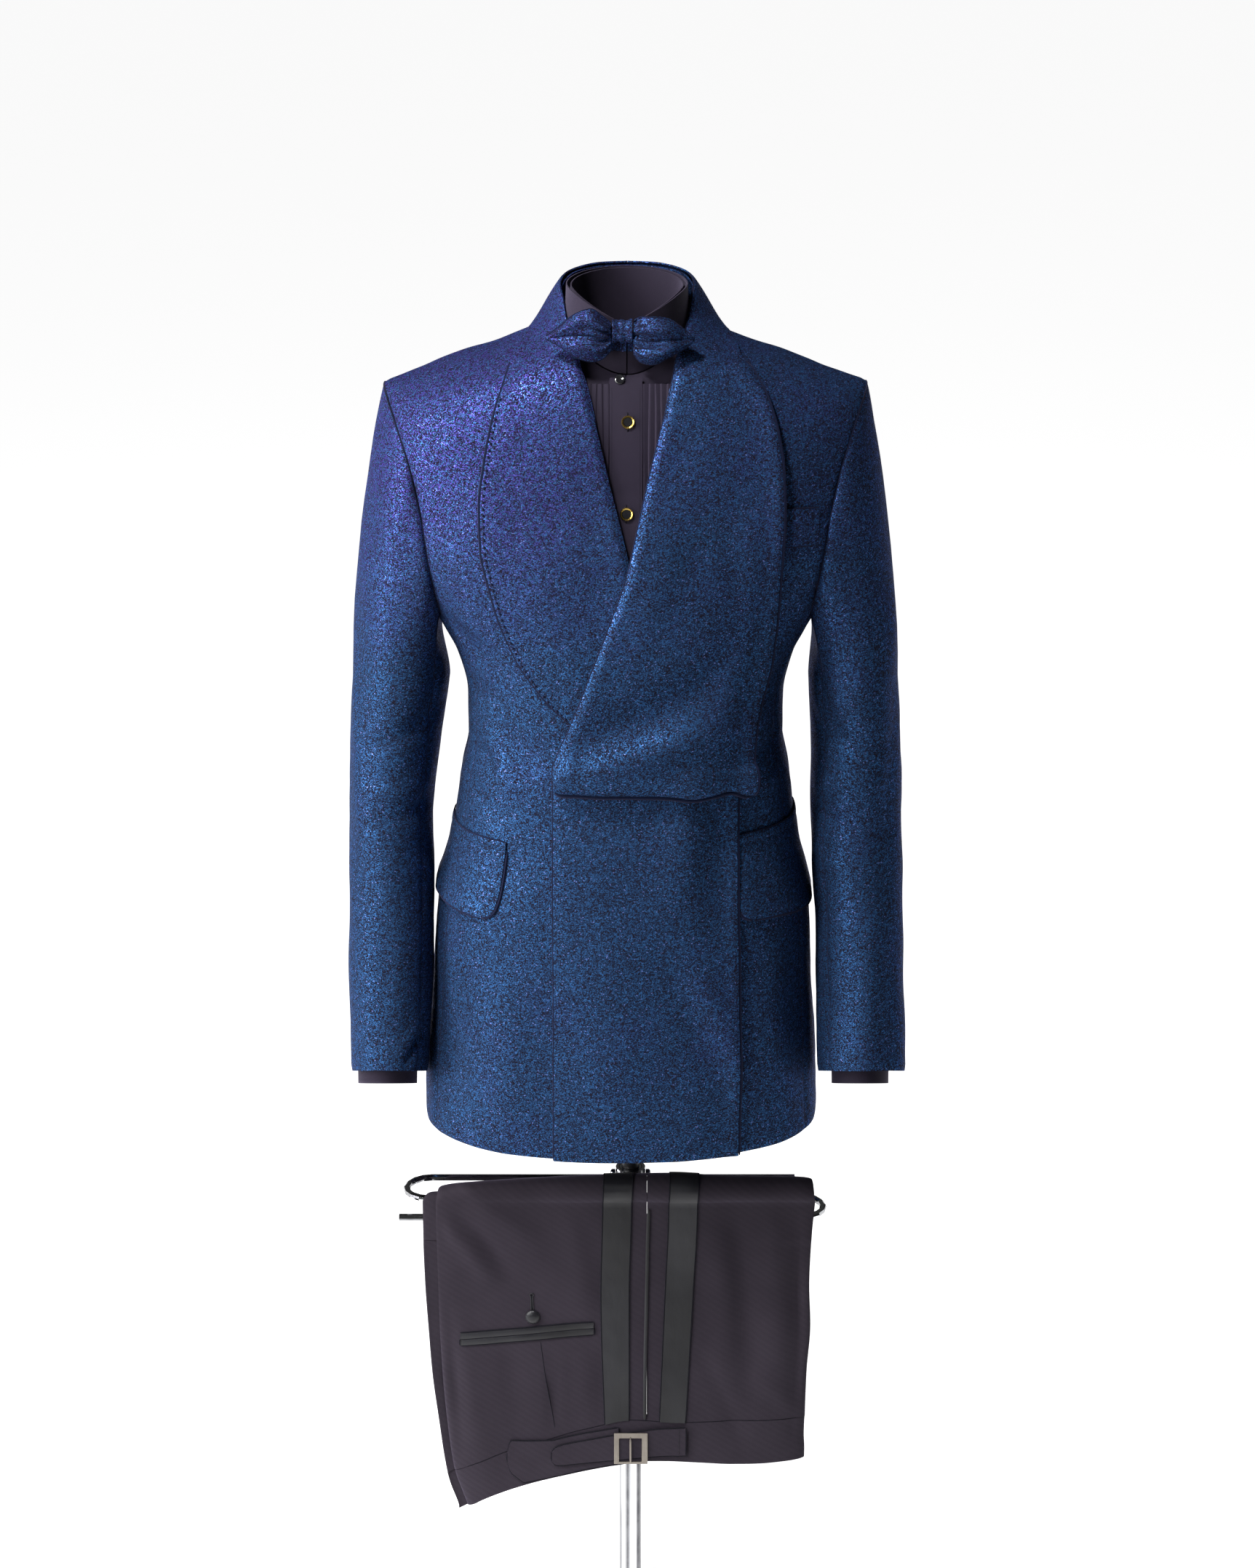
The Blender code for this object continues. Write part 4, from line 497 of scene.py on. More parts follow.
def shirt_grid(side, rows, shares, back, edge=None):
    """Half of the shirt's front or back, from the middle to the side seam or armhole."""
    grid = []
    for row in rows:
        z = row if row < 0 else CHEST_Z
        mid = at(BODY, "mid", z)
        if row < SHIRT_UNDERARM + 1e-6:
            out = side * (radians(90) - 0.0022)
        else:
            out = phi_of(side * (outer_x(min(row, 0), back) - SHIRT_HOLE) + mid, z)
        start = phi_of(mid if edge is None else edge, z)
        last = phi_of(side * (outer_x(row, back) - SHIRT_HOLE) + TOP_MID, CHEST_Z)
        first = phi_of(TOP_MID if edge is None else edge, CHEST_Z)
        line = []
        for f in shares:
            if row <= 0:
                phi = lerp(start, out, f)
                line.append(shirt_frame(0, pi - phi if back else phi, row, back))
            else:
                x = row_point(0, lerp(first, last, f), CHEST_Z, False).x
                line.append(shirt_frame(x, 0, row * shirt_reach(x, back) / TOP_ROW, back))
        grid.append(line)
    return grid


def in_front(x, z, off):
    """Point off in front of the body form by width and height, with its direction."""
    p = on_body(x, z)
    n = (on_body(x, z, 0.01) - p).normalized()
    return p + n * off, n


PLEATS = 6
PLEAT = 0.0056            # from tuck to tuck
PLACKET_L, PLACKET_R = -0.0165, 0.0135
PLACKET_OFF = SHIRT_OFF + 0.0050
STUD_Z = (-0.0655, -0.1490)


def collar_top(angle, rise):
    """Height of the collar's top edge round the neck; the angle is 0 in front."""
    side_way = abs(sin(angle)) if abs(angle) < pi / 2 else 1.0
    back_way = max(0.0, -cos(angle))
    return 0.0190 + 0.0275 * side_way**1.1 + 0.0060 * back_way + rise


def collar_ring(angle, grow, z):
    x = COLLAR_X + (BAND_RX + grow) * sin(angle)
    y = COLLAR_Y - (BAND_RY + grow) * cos(angle)
    return Vector((x, y, z))


def neck_height(angle):
    """Height of the shirt's neckline where it meets the band."""
    p = collar_ring(angle, 0.0010, 0.0)
    back = p.y > 0.012
    reach = shirt_reach(p.x, back)
    return shirt_frame(p.x, 0, reach, back)[0].z


CUFFS = {-1: (0.2357, 0.0288), 1: (0.2285, 0.0278)}      # middle and half width
CUFF_Z, CUFF_Y, CUFF_RY, CUFF_SLOPE = -0.7375, -0.0555, 0.037, -0.43


def cuff_ring(side, grow, dz, count, start=0.0):
    x, rx = CUFFS[side]
    rx += grow
    line = []
    for i in range(count):
        a = start - 2 * pi * i / count
        dy = -(CUFF_RY + grow) * sin(a)
        line.append(Vector((side * (x + rx * cos(a) * (1 + 0.5 * dz)), CUFF_Y + dz * 0.30 + dy,
                            CUFF_Z + dz + CUFF_SLOPE * dy)))
    return line


WINGS = {
    "right": (-1, -0.0151, -0.0735, table(
        "t half mid puff", (0.0, 0.0135, 0.0095, 0.0030), (0.12, 0.0195, 0.0090, 0.0070),
        (0.30, 0.0232, 0.0112, 0.0095), (0.55, 0.0195, 0.0112, 0.0085),
        (0.80, 0.0100, 0.0095, 0.0045), (1.0, 0.0020, 0.0078, 0.0010))),
    "left": (1, 0.0053, 0.0590, table(
        "t half mid puff", (0.0, 0.0140, 0.0085, 0.0030), (0.12, 0.0200, 0.0070, 0.0070),
        (0.35, 0.0220, 0.0060, 0.0095), (0.62, 0.0175, 0.0080, 0.0085),
        (0.85, 0.0090, 0.0070, 0.0040), (1.0, 0.0020, 0.0060, 0.0010))),
}
BOW_Y = -0.0816           # back of the wings
KNOT_Y = -0.0853          # middle of the knot


# ---------------- trousers over the rod
# The near leg lies in front of the far one. n counts out from the rod through the layers.
NEAR_OUT, NEAR_IN, FAR_IN, FAR_OUT = 0.0058, 0.0034, 0.0028, 0.0004
CLEAR = ROD_R + 0.0014    # rod middle to n = 0
UP_Y = -0.0127            # n = 0 on the way up from the bottom fold
SIDE_X = 0.0195           # side seam
# Trouser outline where it hangs in front
EDGES = table(
    "z near_left far_left right far_right",
    (-1.2139, -0.1645, -0.1735, 0.1806, 0.1790), (-1.1748, -0.1770, -0.1850, 0.1806, 0.1790),
    (-1.1124, -0.1845, -0.1930, 0.1810, 0.1795), (-1.0618, -0.1880, -0.1985, 0.1820, 0.1800),
    (-1.0110, -0.1900, -0.2015, 0.1850, 0.1835), (-0.9614, -0.1908, -0.2040, 0.1832, 0.1815),
    (-0.9091, -0.1915, -0.2050, 0.1848, 0.1835), (-0.8730, -0.1918, -0.2050, 0.1875, 0.1860),
)
WAIST_TOP = table(
    "x z",
    (-0.2100, -1.1900), (-0.1763, -1.1724), (-0.1231, -1.1473), (-0.0731, -1.1298),
    (-0.0271, -1.1165), (0.0033, -1.1105), (0.0560, -1.1132), (0.1000, -1.1125), (0.1900, -1.1114),
)
WAIST_LOW = table(
    "x z",
    (-0.2100, -1.2330), (-0.1649, -1.2139), (-0.1340, -1.1962), (-0.1033, -1.1844),
    (-0.0577, -1.1718), (-0.0093, -1.1618), (0.0182, -1.1575), (0.0636, -1.1584),
    (0.1366, -1.1609), (0.1900, -1.1572),
)
TOP_LINE = table(
    "x z",
    (-0.2050, -0.8700), (-0.1977, -0.8680), (-0.1858, -0.8590), (-0.1469, -0.8549),
    (-0.0868, -0.8509), (-0.0238, -0.8477), (0.0450, -0.8461), (0.0926, -0.8485), (0.1900, -0.8505),
)
SEAT_Q = -0.15            # the legs part here
SEAT_Z = -0.915           # height of that place
REAR_EDGE = table(
    "q left right",
    (0.0, -0.1918, 0.1875), (0.5, -0.1895, 0.1850), (1.0, -0.1870, 0.1810), (1.5, -0.1600, 0.1500),
    (2.0, -0.1300, 0.1200), (3.0, -0.1290, 0.1190), (4.0, -0.1150, 0.1000),
)
FOLD_Z = -1.112           # bottom fold of the legs behind


def trouser_edges(q, z, near):
    if q < 0:
        left, right = ("near_left", "right") if near else ("far_left", "far_right")
        return at(EDGES, left, z), at(EDGES, right, z)
    left, right = at(REAR_EDGE, "left", q), at(REAR_EDGE, "right", q)
    if near:
        return left, right
    way = ramp(q / 1.5)
    return left - 0.0132 * (1 - way), right - 0.0015


def front_z(q, x):
    """Height on the front drop: q runs from the waist at -1 to the top of the drop at 0."""
    low = at(WAIST_TOP, "z", x)
    if q < SEAT_Q:
        return lerp(low, SEAT_Z, (q + 1) / (1 + SEAT_Q))
    return lerp(SEAT_Z, ROD_Z, (q - SEAT_Q) / -SEAT_Q)


def trouser_point(x, n, q):
    """Point n out through the layers on path q, and the direction in which n grows."""
    if q <= 0:
        return Vector((x, ROD_FRONT_Y - CLEAR - n, front_z(q, x))), Vector((0, -1, 0))
    if q <= 1:
        a = pi * q
        r = CLEAR + n
        way = Vector((0, -cos(a), sin(a)))
        return Vector((x, ROD_FRONT_Y, ROD_Z)) + way * r, way
    y1 = ROD_FRONT_Y + CLEAR
    if q <= 2:
        return Vector((x, y1 + n, lerp(ROD_Z, FOLD_Z, q - 1))), Vector((0, 1, 0))
    middle = (y1 + UP_Y) / 2
    if q <= 3:
        b = pi * (q - 2)
        r = (UP_Y - y1) / 2 - n
        return (Vector((x, middle - r * cos(b), FOLD_Z - r * sin(b))),
                Vector((0, cos(b), sin(b))))
    return Vector((x, UP_Y - n, lerp(FOLD_Z, LEG_HEM_Z, q - 3))), Vector((0, -1, 0))


def puff(x, q, share):
    """The near leg stands up off the rod in a loose round at the top."""
    if not 0 < q < 1:
        return 0.0
    height = at(TOP_LINE, "z", x) - (ROD_Z + CLEAR + NEAR_OUT)
    return max(0.0, height) * sin(pi * q) ** 1.3 * share


def face_n(x, z, near):
    """n of the near or far face on the front drop, where the seat is a single tube."""
    left, right = trouser_edges(-0.5, z, near)
    u = max(-1.0, min(1.0, (2 * x - left - right) / (right - left)))
    round_off = sqrt(max(0.0, 1 - abs(u) ** 5))
    low = ramp((SEAT_Z - z) / 0.230)
    if near:
        full = lerp(NEAR_OUT, 0.0145, low * low * (3 - 2 * low))
        return 0.00325 + (full - 0.00325) * round_off
    return 0.00295 - (0.00295 - FAR_OUT) * round_off


def near_face(x, z, off):
    """Point on the near face of the front drop, moved out by off."""
    n = face_n(x, z, True) + off
    return Vector((x, ROD_FRONT_Y - CLEAR - n, z)), Vector((0, -1, 0))


STRIPES = table(
    "q a0 a1 b0 b1",
    (-1.0, -0.0226, 0.0011, 0.0330, 0.0585), (-0.4, -0.0262, 0.0011, 0.0385, 0.0655),
    (0.0, -0.0240, 0.0036, 0.0420, 0.0695), (0.5, -0.0229, 0.0047, 0.0432, 0.0707),
    (1.0, -0.0220, 0.0040, 0.0425, 0.0700), (2.0, -0.0190, 0.0030, 0.0400, 0.0640),
    (4.0, -0.0170, 0.0030, 0.0380, 0.0600),
)


# ---------------- soft creases
# Each is a soft ridge (height above zero) or trough (below) in millimetres, along a line that
# bows sideways. Body creases are placed by turn round the body, from centre front at 0 degrees
# to the wearer's left side at 90, and by height in metres.
BODY_CREASES = (
    # turn0 z0 turn1 z1 width height bow
    (-46, -0.355, -27, -0.400, 11, -1.9, 4), (-52, -0.375, -36, -0.430, 9, 1.0, 3),
    (-58, -0.390, -44, -0.405, 6, -1.0, 2), (-60, -0.420, -38, -0.452, 8, -0.9, -3),
    (-64, -0.335, -40, -0.340, 12, -1.2, 5), (-62, -0.250, -44, -0.300, 14, -1.6, -4),
    (-50, -0.200, -40, -0.275, 17, 1.3, 3), (-40, -0.120, -34, -0.220, 24, 1.1, 4),
    (-14, -0.150, -20, -0.300, 26, 0.8, 0),
    (19, -0.395, 16, -0.520, 17, 2.2, 2), (31, -0.400, 27, -0.560, 16, -2.6, -3),
    (8, -0.560, 33, -0.780, 18, -1.4, 5), (21, -0.600, 38, -0.770, 15, 1.7, 4),
    (-6, -0.480, -3, -0.790, 26, 1.2, 3), (-22, -0.500, -17, -0.790, 24, -1.1, -3),
    (-38, -0.610, -33, -0.790, 22, 1.2, 3), (-52, -0.600, -55, -0.790, 22, -1.2, -3),
    (45, -0.600, 48, -0.790, 20, 1.1, -3), (58, -0.600, 62, -0.790, 20, -1.1, 3),
    (62, -0.300, 45, -0.345, 13, -1.5, 4), (66, -0.375, 46, -0.392, 8, -1.2, 3),
    (64, -0.405, 48, -0.430, 9, 1.0, 2), (58, -0.230, 46, -0.280, 13, -1.3, -3),
    (50, -0.100, 42, -0.200, 22, 1.0, -3),
    # sides and back, where nothing shows in front
    (-96, -0.300, -84, -0.420, 12, -1.5, 3), (94, -0.290, 86, -0.430, 13, -1.4, -3),
    (-104, -0.480, -98, -0.780, 17, 1.6, 4), (101, -0.500, 107, -0.780, 18, 1.5, -4),
    (-118, -0.470, -122, -0.770, 16, -1.7, -3), (120, -0.490, 117, -0.760, 16, -1.5, 3),
    (-168, -0.330, -128, -0.385, 10, -1.9, 7), (166, -0.340, 130, -0.398, 11, -1.7, -6),
    (-172, -0.385, -136, -0.425, 9, 1.5, 5), (170, -0.395, 140, -0.440, 9, 1.4, -5),
    (-160, -0.430, -124, -0.455, 8, -1.3, -4), (158, -0.445, 128, -0.470, 9, -1.2, 4),
    (-140, -0.180, -128, -0.280, 16, -1.8, 4), (141, -0.190, 129, -0.275, 15, -1.6, -4),
    (-165, -0.090, -152, -0.190, 22, 1.3, 4), (160, -0.100, 150, -0.210, 21, 1.2, -3),
    (-176, -0.520, -170, -0.780, 17, 1.6, 3), (168, -0.540, 172, -0.780, 16, -1.4, -3),
    (-150, -0.550, -146, -0.780, 19, -1.3, 3), (147, -0.560, 144, -0.775, 18, 1.3, -3),
    (-175, -0.040, -150, -0.062, 12, -1.4, 5), (174, -0.044, 152, -0.066, 12, -1.3, -5),
)
# Sleeve creases, by turn round the sleeve from its outer side (90 in front) and by height
SLEEVE_CREASES = {
    -1: (
        (60, -0.400, 150, -0.355, 9, -1.8, 4), (50, -0.440, 140, -0.425, 10, 1.4, -4),
        (70, -0.470, 165, -0.452, 9, -1.5, 5), (95, -0.505, 170, -0.535, 9, 1.1, 3),
        (110, -0.700, 145, -0.672, 5, -2.6, 2), (100, -0.690, 138, -0.660, 7, 1.3, 2),
        (35, -0.330, 75, -0.520, 13, 1.3, 3), (88, -0.560, 78, -0.715, 12, -1.0, 3),
        (20, -0.230, 60, -0.330, 16, -1.4, 4), (130, -0.300, 110, -0.380, 9, -1.7, 4),
        (-60, -0.420, -150, -0.440, 11, -2.0, 5), (-50, -0.465, -145, -0.470, 10, 1.4, 4),
        (-60, -0.380, -130, -0.365, 11, 1.5, 5), (-70, -0.510, -150, -0.505, 9, -1.4, -4),
        (-20, -0.250, -50, -0.400, 17, -1.2, 3), (-100, -0.560, -80, -0.710, 13, 1.1, 3),
    ),
    1: (
        (55, -0.390, 150, -0.372, 10, -1.6, -4), (65, -0.428, 150, -0.436, 9, 1.5, 4),
        (50, -0.482, 160, -0.462, 10, -1.5, 5), (90, -0.520, 165, -0.500, 9, 1.0, 3),
        (78, -0.560, 92, -0.720, 12, 1.2, 3), (40, -0.330, 66, -0.540, 13, -1.2, 4),
        (64, -0.600, 60, -0.722, 10, -1.1, 3), (22, -0.220, 62, -0.320, 16, 1.3, 4),
        (128, -0.310, 105, -0.390, 9, -1.6, 4), (115, -0.640, 150, -0.655, 8, -1.1, 3),
        (-58, -0.405, -148, -0.425, 11, -1.9, 5), (-48, -0.455, -146, -0.460, 10, 1.5, -4),
        (-62, -0.500, -140, -0.515, 10, -1.4, 4), (-60, -0.360, -125, -0.350, 12, 1.2, 4),
        (-20, -0.260, -44, -0.420, 17, 1.1, 3), (-95, -0.580, -84, -0.712, 13, -1.1, 3),
    ),
}
# Trouser creases by width and height on the drop in front, in metres
TROUSER_CREASES = (
    (-0.185, -0.895, -0.135, -0.960, 9, 2.0, 3), (-0.172, -0.885, -0.118, -0.955, 7, -1.6, 3),
    (-0.150, -0.875, -0.085, -0.925, 11, 1.2, 4), (-0.182, -0.990, -0.176, -1.150, 9, -1.5, 3),
    (-0.168, -1.040, -0.150, -1.180, 12, 1.2, 3), (-0.120, -1.030, -0.112, -1.150, 13, -1.0, 2),
    (-0.080, -1.024, -0.074, -1.120, 3, -1.1, 1), (-0.060, -0.880, -0.040, -1.000, 12, 1.0, 3),
    (-0.045, -1.030, -0.042, -1.120, 10, 0.9, 2), (0.085, -0.870, 0.098, -1.060, 15, 1.3, 4),
    (0.110, -0.900, 0.122, -1.110, 13, -1.4, 4), (0.145, -0.880, 0.150, -1.080, 12, 1.2, 3),
    (0.170, -0.890, 0.172, -1.130, 7, -1.3, 2), (0.075, -1.040, 0.120, -1.150, 9, -0.9, 3),
    (0.128, -1.060, 0.180, -1.110, 8, 0.8, 2),
)


def creases(u, v, rows, per_u):
    """Sum of the soft ridges and troughs at points u, v. per_u turns u into metres."""
    total = np.zeros_like(u)
    for u0, v0, u1, v1, width, height, bow in rows:
        du, dv = (u1 - u0) * per_u, v1 - v0
        length = hypot(du, dv)
        pu, pv = (u - u0) * per_u, v - v0
        t = (pu * du + pv * dv) / length**2
        across = (pv * du - pu * dv) / length
        inside = np.clip(t, 0, 1)
        across = across - 0.001 * bow * np.sin(pi * inside)
        beyond = (t - inside) * length
        w = 0.001 * width * (0.75 + 0.5 * inside)
        fade = np.sin(pi * np.clip(t * 0.86 + 0.07, 0, 1)) ** 0.8
        total += 0.001 * height * np.exp(-(across**2 + beyond**2) / w**2) * fade
    return total


def drift(p, size, seed):
    """Slow unevenness of about one unit, with waves of about size."""
    total = np.zeros(p.shape[:-1])
    for i in range(5):
        a = seed * 1.7 + i * 2.39
        way = np.array([cos(a), sin(a * 1.3), sin(a)])
        total += np.sin(p @ way * (2 * pi / size) * (0.7 + 0.17 * i) + a * 3.1)
    return total / 2.5


# Factor on the creases' heights, and the height of the cloth's slow and quick waves
BODY_RELIEF = (1.9, 0.00075, 0.00018)
SLEEVE_RELIEF = (1.8, 0.00060, 0.00014)
TROUSER_RELIEF = (1.9, 0.00075, 0.00014)
METRES_PER_DEGREE = 0.0029        # round the body
SLEEVE_METRES_PER_DEGREE = 0.00090


def cloth_relief(p, made, heights, slow, quick):
    gain, slow_height, quick_height = heights
    return gain * made + slow_height * drift(p, *slow) + quick_height * drift(p, *quick)


def body_relief(p):
    """How far the cloth of the body stands off its form at each point, in metres."""
    turn = np.degrees(np.arctan2(p[..., 0] + 0.003, -p[..., 1] * 1.5))
    made = creases(turn, p[..., 2], BODY_CREASES, METRES_PER_DEGREE)
    return cloth_relief(p, made, BODY_RELIEF, (0.12, 3), (0.036, 8))


def sleeve_relief(p, side):
    tab = SLEEVE_LEFT if side > 0 else SLEEVE_RIGHT
    zs = np.linspace(-0.79, -0.03, 77)
    x = np.interp(p[..., 2], zs, [at(tab, "x", z) for z in zs]) * side
    y = np.interp(p[..., 2], zs, [at(tab, "y", z) for z in zs])
    turn = np.degrees(np.arctan2(-(p[..., 1] - y), (p[..., 0] - x) * side))
    low = np.clip((-0.200 - p[..., 2]) / 0.10, 0, 1)
    made = creases(turn, p[..., 2], SLEEVE_CREASES[side], SLEEVE_METRES_PER_DEGREE)
    return cloth_relief(p, made * low, SLEEVE_RELIEF, (0.10, 5 + side), (0.03, 2))


def trouser_relief(p):
    front = np.clip((-p[..., 1] - 0.030) / 0.006, 0, 1)
    made = creases(p[..., 0], p[..., 2], TROUSER_CREASES, 1.0) * front
    return cloth_relief(p, made, TROUSER_RELIEF, (0.09, 4), (0.03, 6))


# ---------------- making the sheets
# Kind of cloth or thread: its material, its slot and the wall of a sheet of it
KINDS = {}
# Outer points and directions of each sheet, for what is sewn on it
FACES = {}


def grid_mesh(name, outer, inner, closed=False, mask=None):
    """Two faces of a sheet and its edges, from two grids of points."""
    rows, cols = outer.shape[:2]
    n, wide = rows * cols, cols if closed else cols - 1
    on = np.ones((rows - 1, wide), bool) if mask is None else mask
    r, c = np.meshgrid(np.arange(rows - 1), np.arange(wide), indexing="ij")
    a, b = r * cols + c, r * cols + (c + 1) % cols
    d, e = a + cols, b + cols
    faces = [np.stack([a, b, e, d], -1)[on], np.stack([a, d, e, b], -1)[on] + n]
    around = np.pad(on, 1)
    if closed:
        around[1:-1, 0], around[1:-1, -1] = on[:, -1], on[:, 0]
    for dr, dc, p, q in ((-1, 0, a, b), (1, 0, e, d), (0, -1, d, a), (0, 1, b, e)):
        open_side = on & ~around[1 + dr:dr + rows, 1 + dc:1 + dc + wide]
        faces.append(np.stack([q, p, p + n, q + n], -1)[open_side])
    used, index = np.unique(np.concatenate(faces), return_inverse=True)
    points = np.concatenate([outer.reshape(-1, 3), inner.reshape(-1, 3)])[used]
    return mesh_of(name, points, index.reshape(-1, 4))


def mesh_of(name, points, quads):
    mesh = bpy.data.meshes.new(name)
    mesh.vertices.add(len(points))
    mesh.vertices.foreach_set("co", np.ascontiguousarray(points, np.float32).ravel())
    mesh.loops.add(quads.size)
    mesh.loops.foreach_set("vertex_index", quads.ravel().astype(np.int32))
    mesh.polygons.add(len(quads))
    mesh.polygons.foreach_set("loop_start", np.arange(0, quads.size, 4, dtype=np.int32))
    mesh.update(calc_edges=True)
    mesh.validate()
    mesh.shade_smooth()
    mesh.set_sharp_from_angle(angle=radians(50))
    return mesh


def place_mesh(mesh, name, paint, slot, nodes=()):
    obj = bpy.data.objects.new(name, mesh)
    bpy.context.scene.collection.objects.link(obj)
    mesh.materials.append(paint)
    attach(obj, "root")
    if nodes:
        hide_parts(*nodes)
    return obj


def small_piece(name, points, quads, kind, nodes=()):
    mesh = mesh_of(name, np.array(points), np.array(quads))
    place_mesh(mesh, name, *KINDS[kind][:2], nodes)


def vectors(grid):
    return np.array([[tuple(v) for v in line] for line in grid])


def unit(v):
    return v / np.maximum(np.linalg.norm(v, axis=-1, keepdims=True), 1e-12)


def arrays(pairs):
    """Points and unit directions of a grid of (point, direction)."""
    return (vectors([[p for p, _ in line] for line in pairs]),
            unit(vectors([[n for _, n in line] for line in pairs])))


def grid_of(rows, columns, place):
    return arrays([[place(row, column) for column in columns] for row in rows])


def from_edges(p):
    """Distances of each point from the four edges of its grid, along rows and columns."""
    made = []
    for axis in (0, 1):
        step = np.linalg.norm(np.diff(p, axis=axis), axis=-1)
        run = np.insert(np.cumsum(step, axis=axis), 0, 0, axis=axis)
        made += [run, np.take(run, [-1], axis=axis) - run]
    return made


def sheet(name, grid, kind, flat, held="hung", relief=None, area=None, tuck=0.0, thick=None,
          slot=None, closed=False, mask=None, rests=()):
    """One cut piece, from its outer points and their outward directions, walled inwards.
    tuck is how far its edges turn in towards the seams, in metres."""
    p, n = grid if isinstance(grid, tuple) else (grid, grid_normals(grid))
    paint, own_slot, wall = KINDS[kind]
    lift = relief(p) if relief else np.zeros(p.shape[:-1])
    if tuck:
        lift = lift - tuck * sum(np.exp(-(d / TUCK_REACH) ** 2) for d in from_edges(p)).clip(0, 1.2)
    outer = p + n * lift[..., None]
    mesh = grid_mesh(name, outer, outer - n * (thick or wall), closed, mask)
    obj = place_mesh(mesh, name + "_cloth", paint, slot or own_slot, [name])
    FACES[name] = (outer, n)


def spline_rows(grid, per):
    """The same rows with per - 1 new ones between each two, on a smooth curve through them."""
    grid = np.asarray(grid, float)
    count = len(grid)
    gaps = np.linalg.norm(np.diff(grid, axis=0), axis=-1).mean(axis=tuple(range(1, grid.ndim - 1)))
    gaps = np.maximum(gaps, 1e-6)
    slopes = np.diff(grid, axis=0) / gaps.reshape((-1,) + (1,) * (grid.ndim - 1))
    tangents = np.empty_like(grid)
    tangents[0], tangents[-1] = slopes[0], slopes[-1]
    for i in range(1, count - 1):
        w0, w1 = gaps[i], gaps[i - 1]
        tangents[i] = (slopes[i - 1] * w0 + slopes[i] * w1) / (w0 + w1)
    made = [cubic(grid[i], grid[i + 1], gaps[i] * tangents[i], gaps[i] * tangents[i + 1], k / per)
            for i in range(count - 1) for k in range(per)]
    return np.array(made + [grid[-1]])


def spline_grid(grid, per_row, per_column):
    return spline_rows(spline_rows(grid, per_row).swapaxes(0, 1), per_column).swapaxes(0, 1)


def grid_normals(p, closed=False):
    """Outward directions: the way of the columns crossed with the way of the rows."""
    across = np.roll(p, -1, 1) - np.roll(p, 1, 1) if closed else np.gradient(p, axis=1)
    return unit(np.cross(across, np.gradient(p, axis=0)))


def ring_normals(p):
    """Directions of a closed tube that all point away from the middle of their ring."""
    n = grid_normals(p, closed=True)
    out = p - p.mean(1, keepdims=True)
    out[:2] = out[2]
    return n * np.where((n * out).sum(-1, keepdims=True) < 0, -1, 1)


def tube_normals(p):
    """Outward directions of a closed tube given by its rings."""
    n = grid_normals(p, closed=True)
    return n if (n * (p - p.mean(1, keepdims=True))).sum() > 0 else -n


# ---------------- jacket pieces
BODY_CUT = {"relief": body_relief, "tuck": 0.0010}


def build_body():
    step, turns = 0.0042, 26
    count = round((CHEST_Z - HEM_Z) / step)
    rows = [lerp(HEM_Z, CHEST_Z, i / count) for i in range(count)]
    lower = [r for r in rows if r <= UNDERARM_Z] + [UNDERARM_Z]
    rows = lower + [r for r in rows if r > UNDERARM_Z + 0.0012]
    rows += [TOP_ROW * f for f in steps(turns)]
    for side, name in SIDES:
        grid = arrays(front_grid(side, rows, 58, left_rise if side > 0 else None))
        sheet("jacket_front_" + name, grid, "jacket", (0.40, 0.83), area=0.205, **BODY_CUT)
    for side, name in SIDES:
        sheet("jacket_back_" + name, arrays(back_grid(side, rows, 44)), "jacket", (0.26, 0.81),
              area=0.165, **BODY_CUT)
        sheet("jacket_side_" + name, arrays(side_grid(side, lower, 26)), "jacket", (0.14, 0.53),
              **BODY_CUT)
    return rows


def loop_share(row):
    """Place of a body row on the armhole, from the underarm corner at 0 to the shoulder at 1."""
    keys = [-0.262, -0.232, -0.200, -0.165, -0.130]
    if row < 0:
        return float(np.interp(row, keys, [0, 1, 2, 3, 4])) / 9
    return (4 + row / 18) / 9


def armhole_fine(side, rows, count):
    """Loop of the armhole over the shoulder and under the arm, and its turns round the sleeve."""
    upper = [r for r in rows if r >= UNDERARM_Z - 1e-6]
    front = [line[-1][0] for line in front_grid(side, upper, 1, trim=0.0)]
    back = [line[-1][0] for line in back_grid(side, upper, 1, trim=0.0)]
    shares = [min(1.0, loop_share(r)) for r in upper]
    over = front + back[::-1][1:]
    angles = [SEAM_A * (1 - s) for s in shares]
    angles += [-(2 * pi - SEAM_B) * (1 - s) for s in shares[::-1][1:]]
    between = steps(count)[1:-1]
    under = [form_frame(0, side * lerp(SEAM_BACK, SEAM_FRONT, f), UNDERARM_Z, False)[0]
             for f in between]
    return over + under, angles + [lerp(SEAM_B, SEAM_A, f) for f in between], len(over)


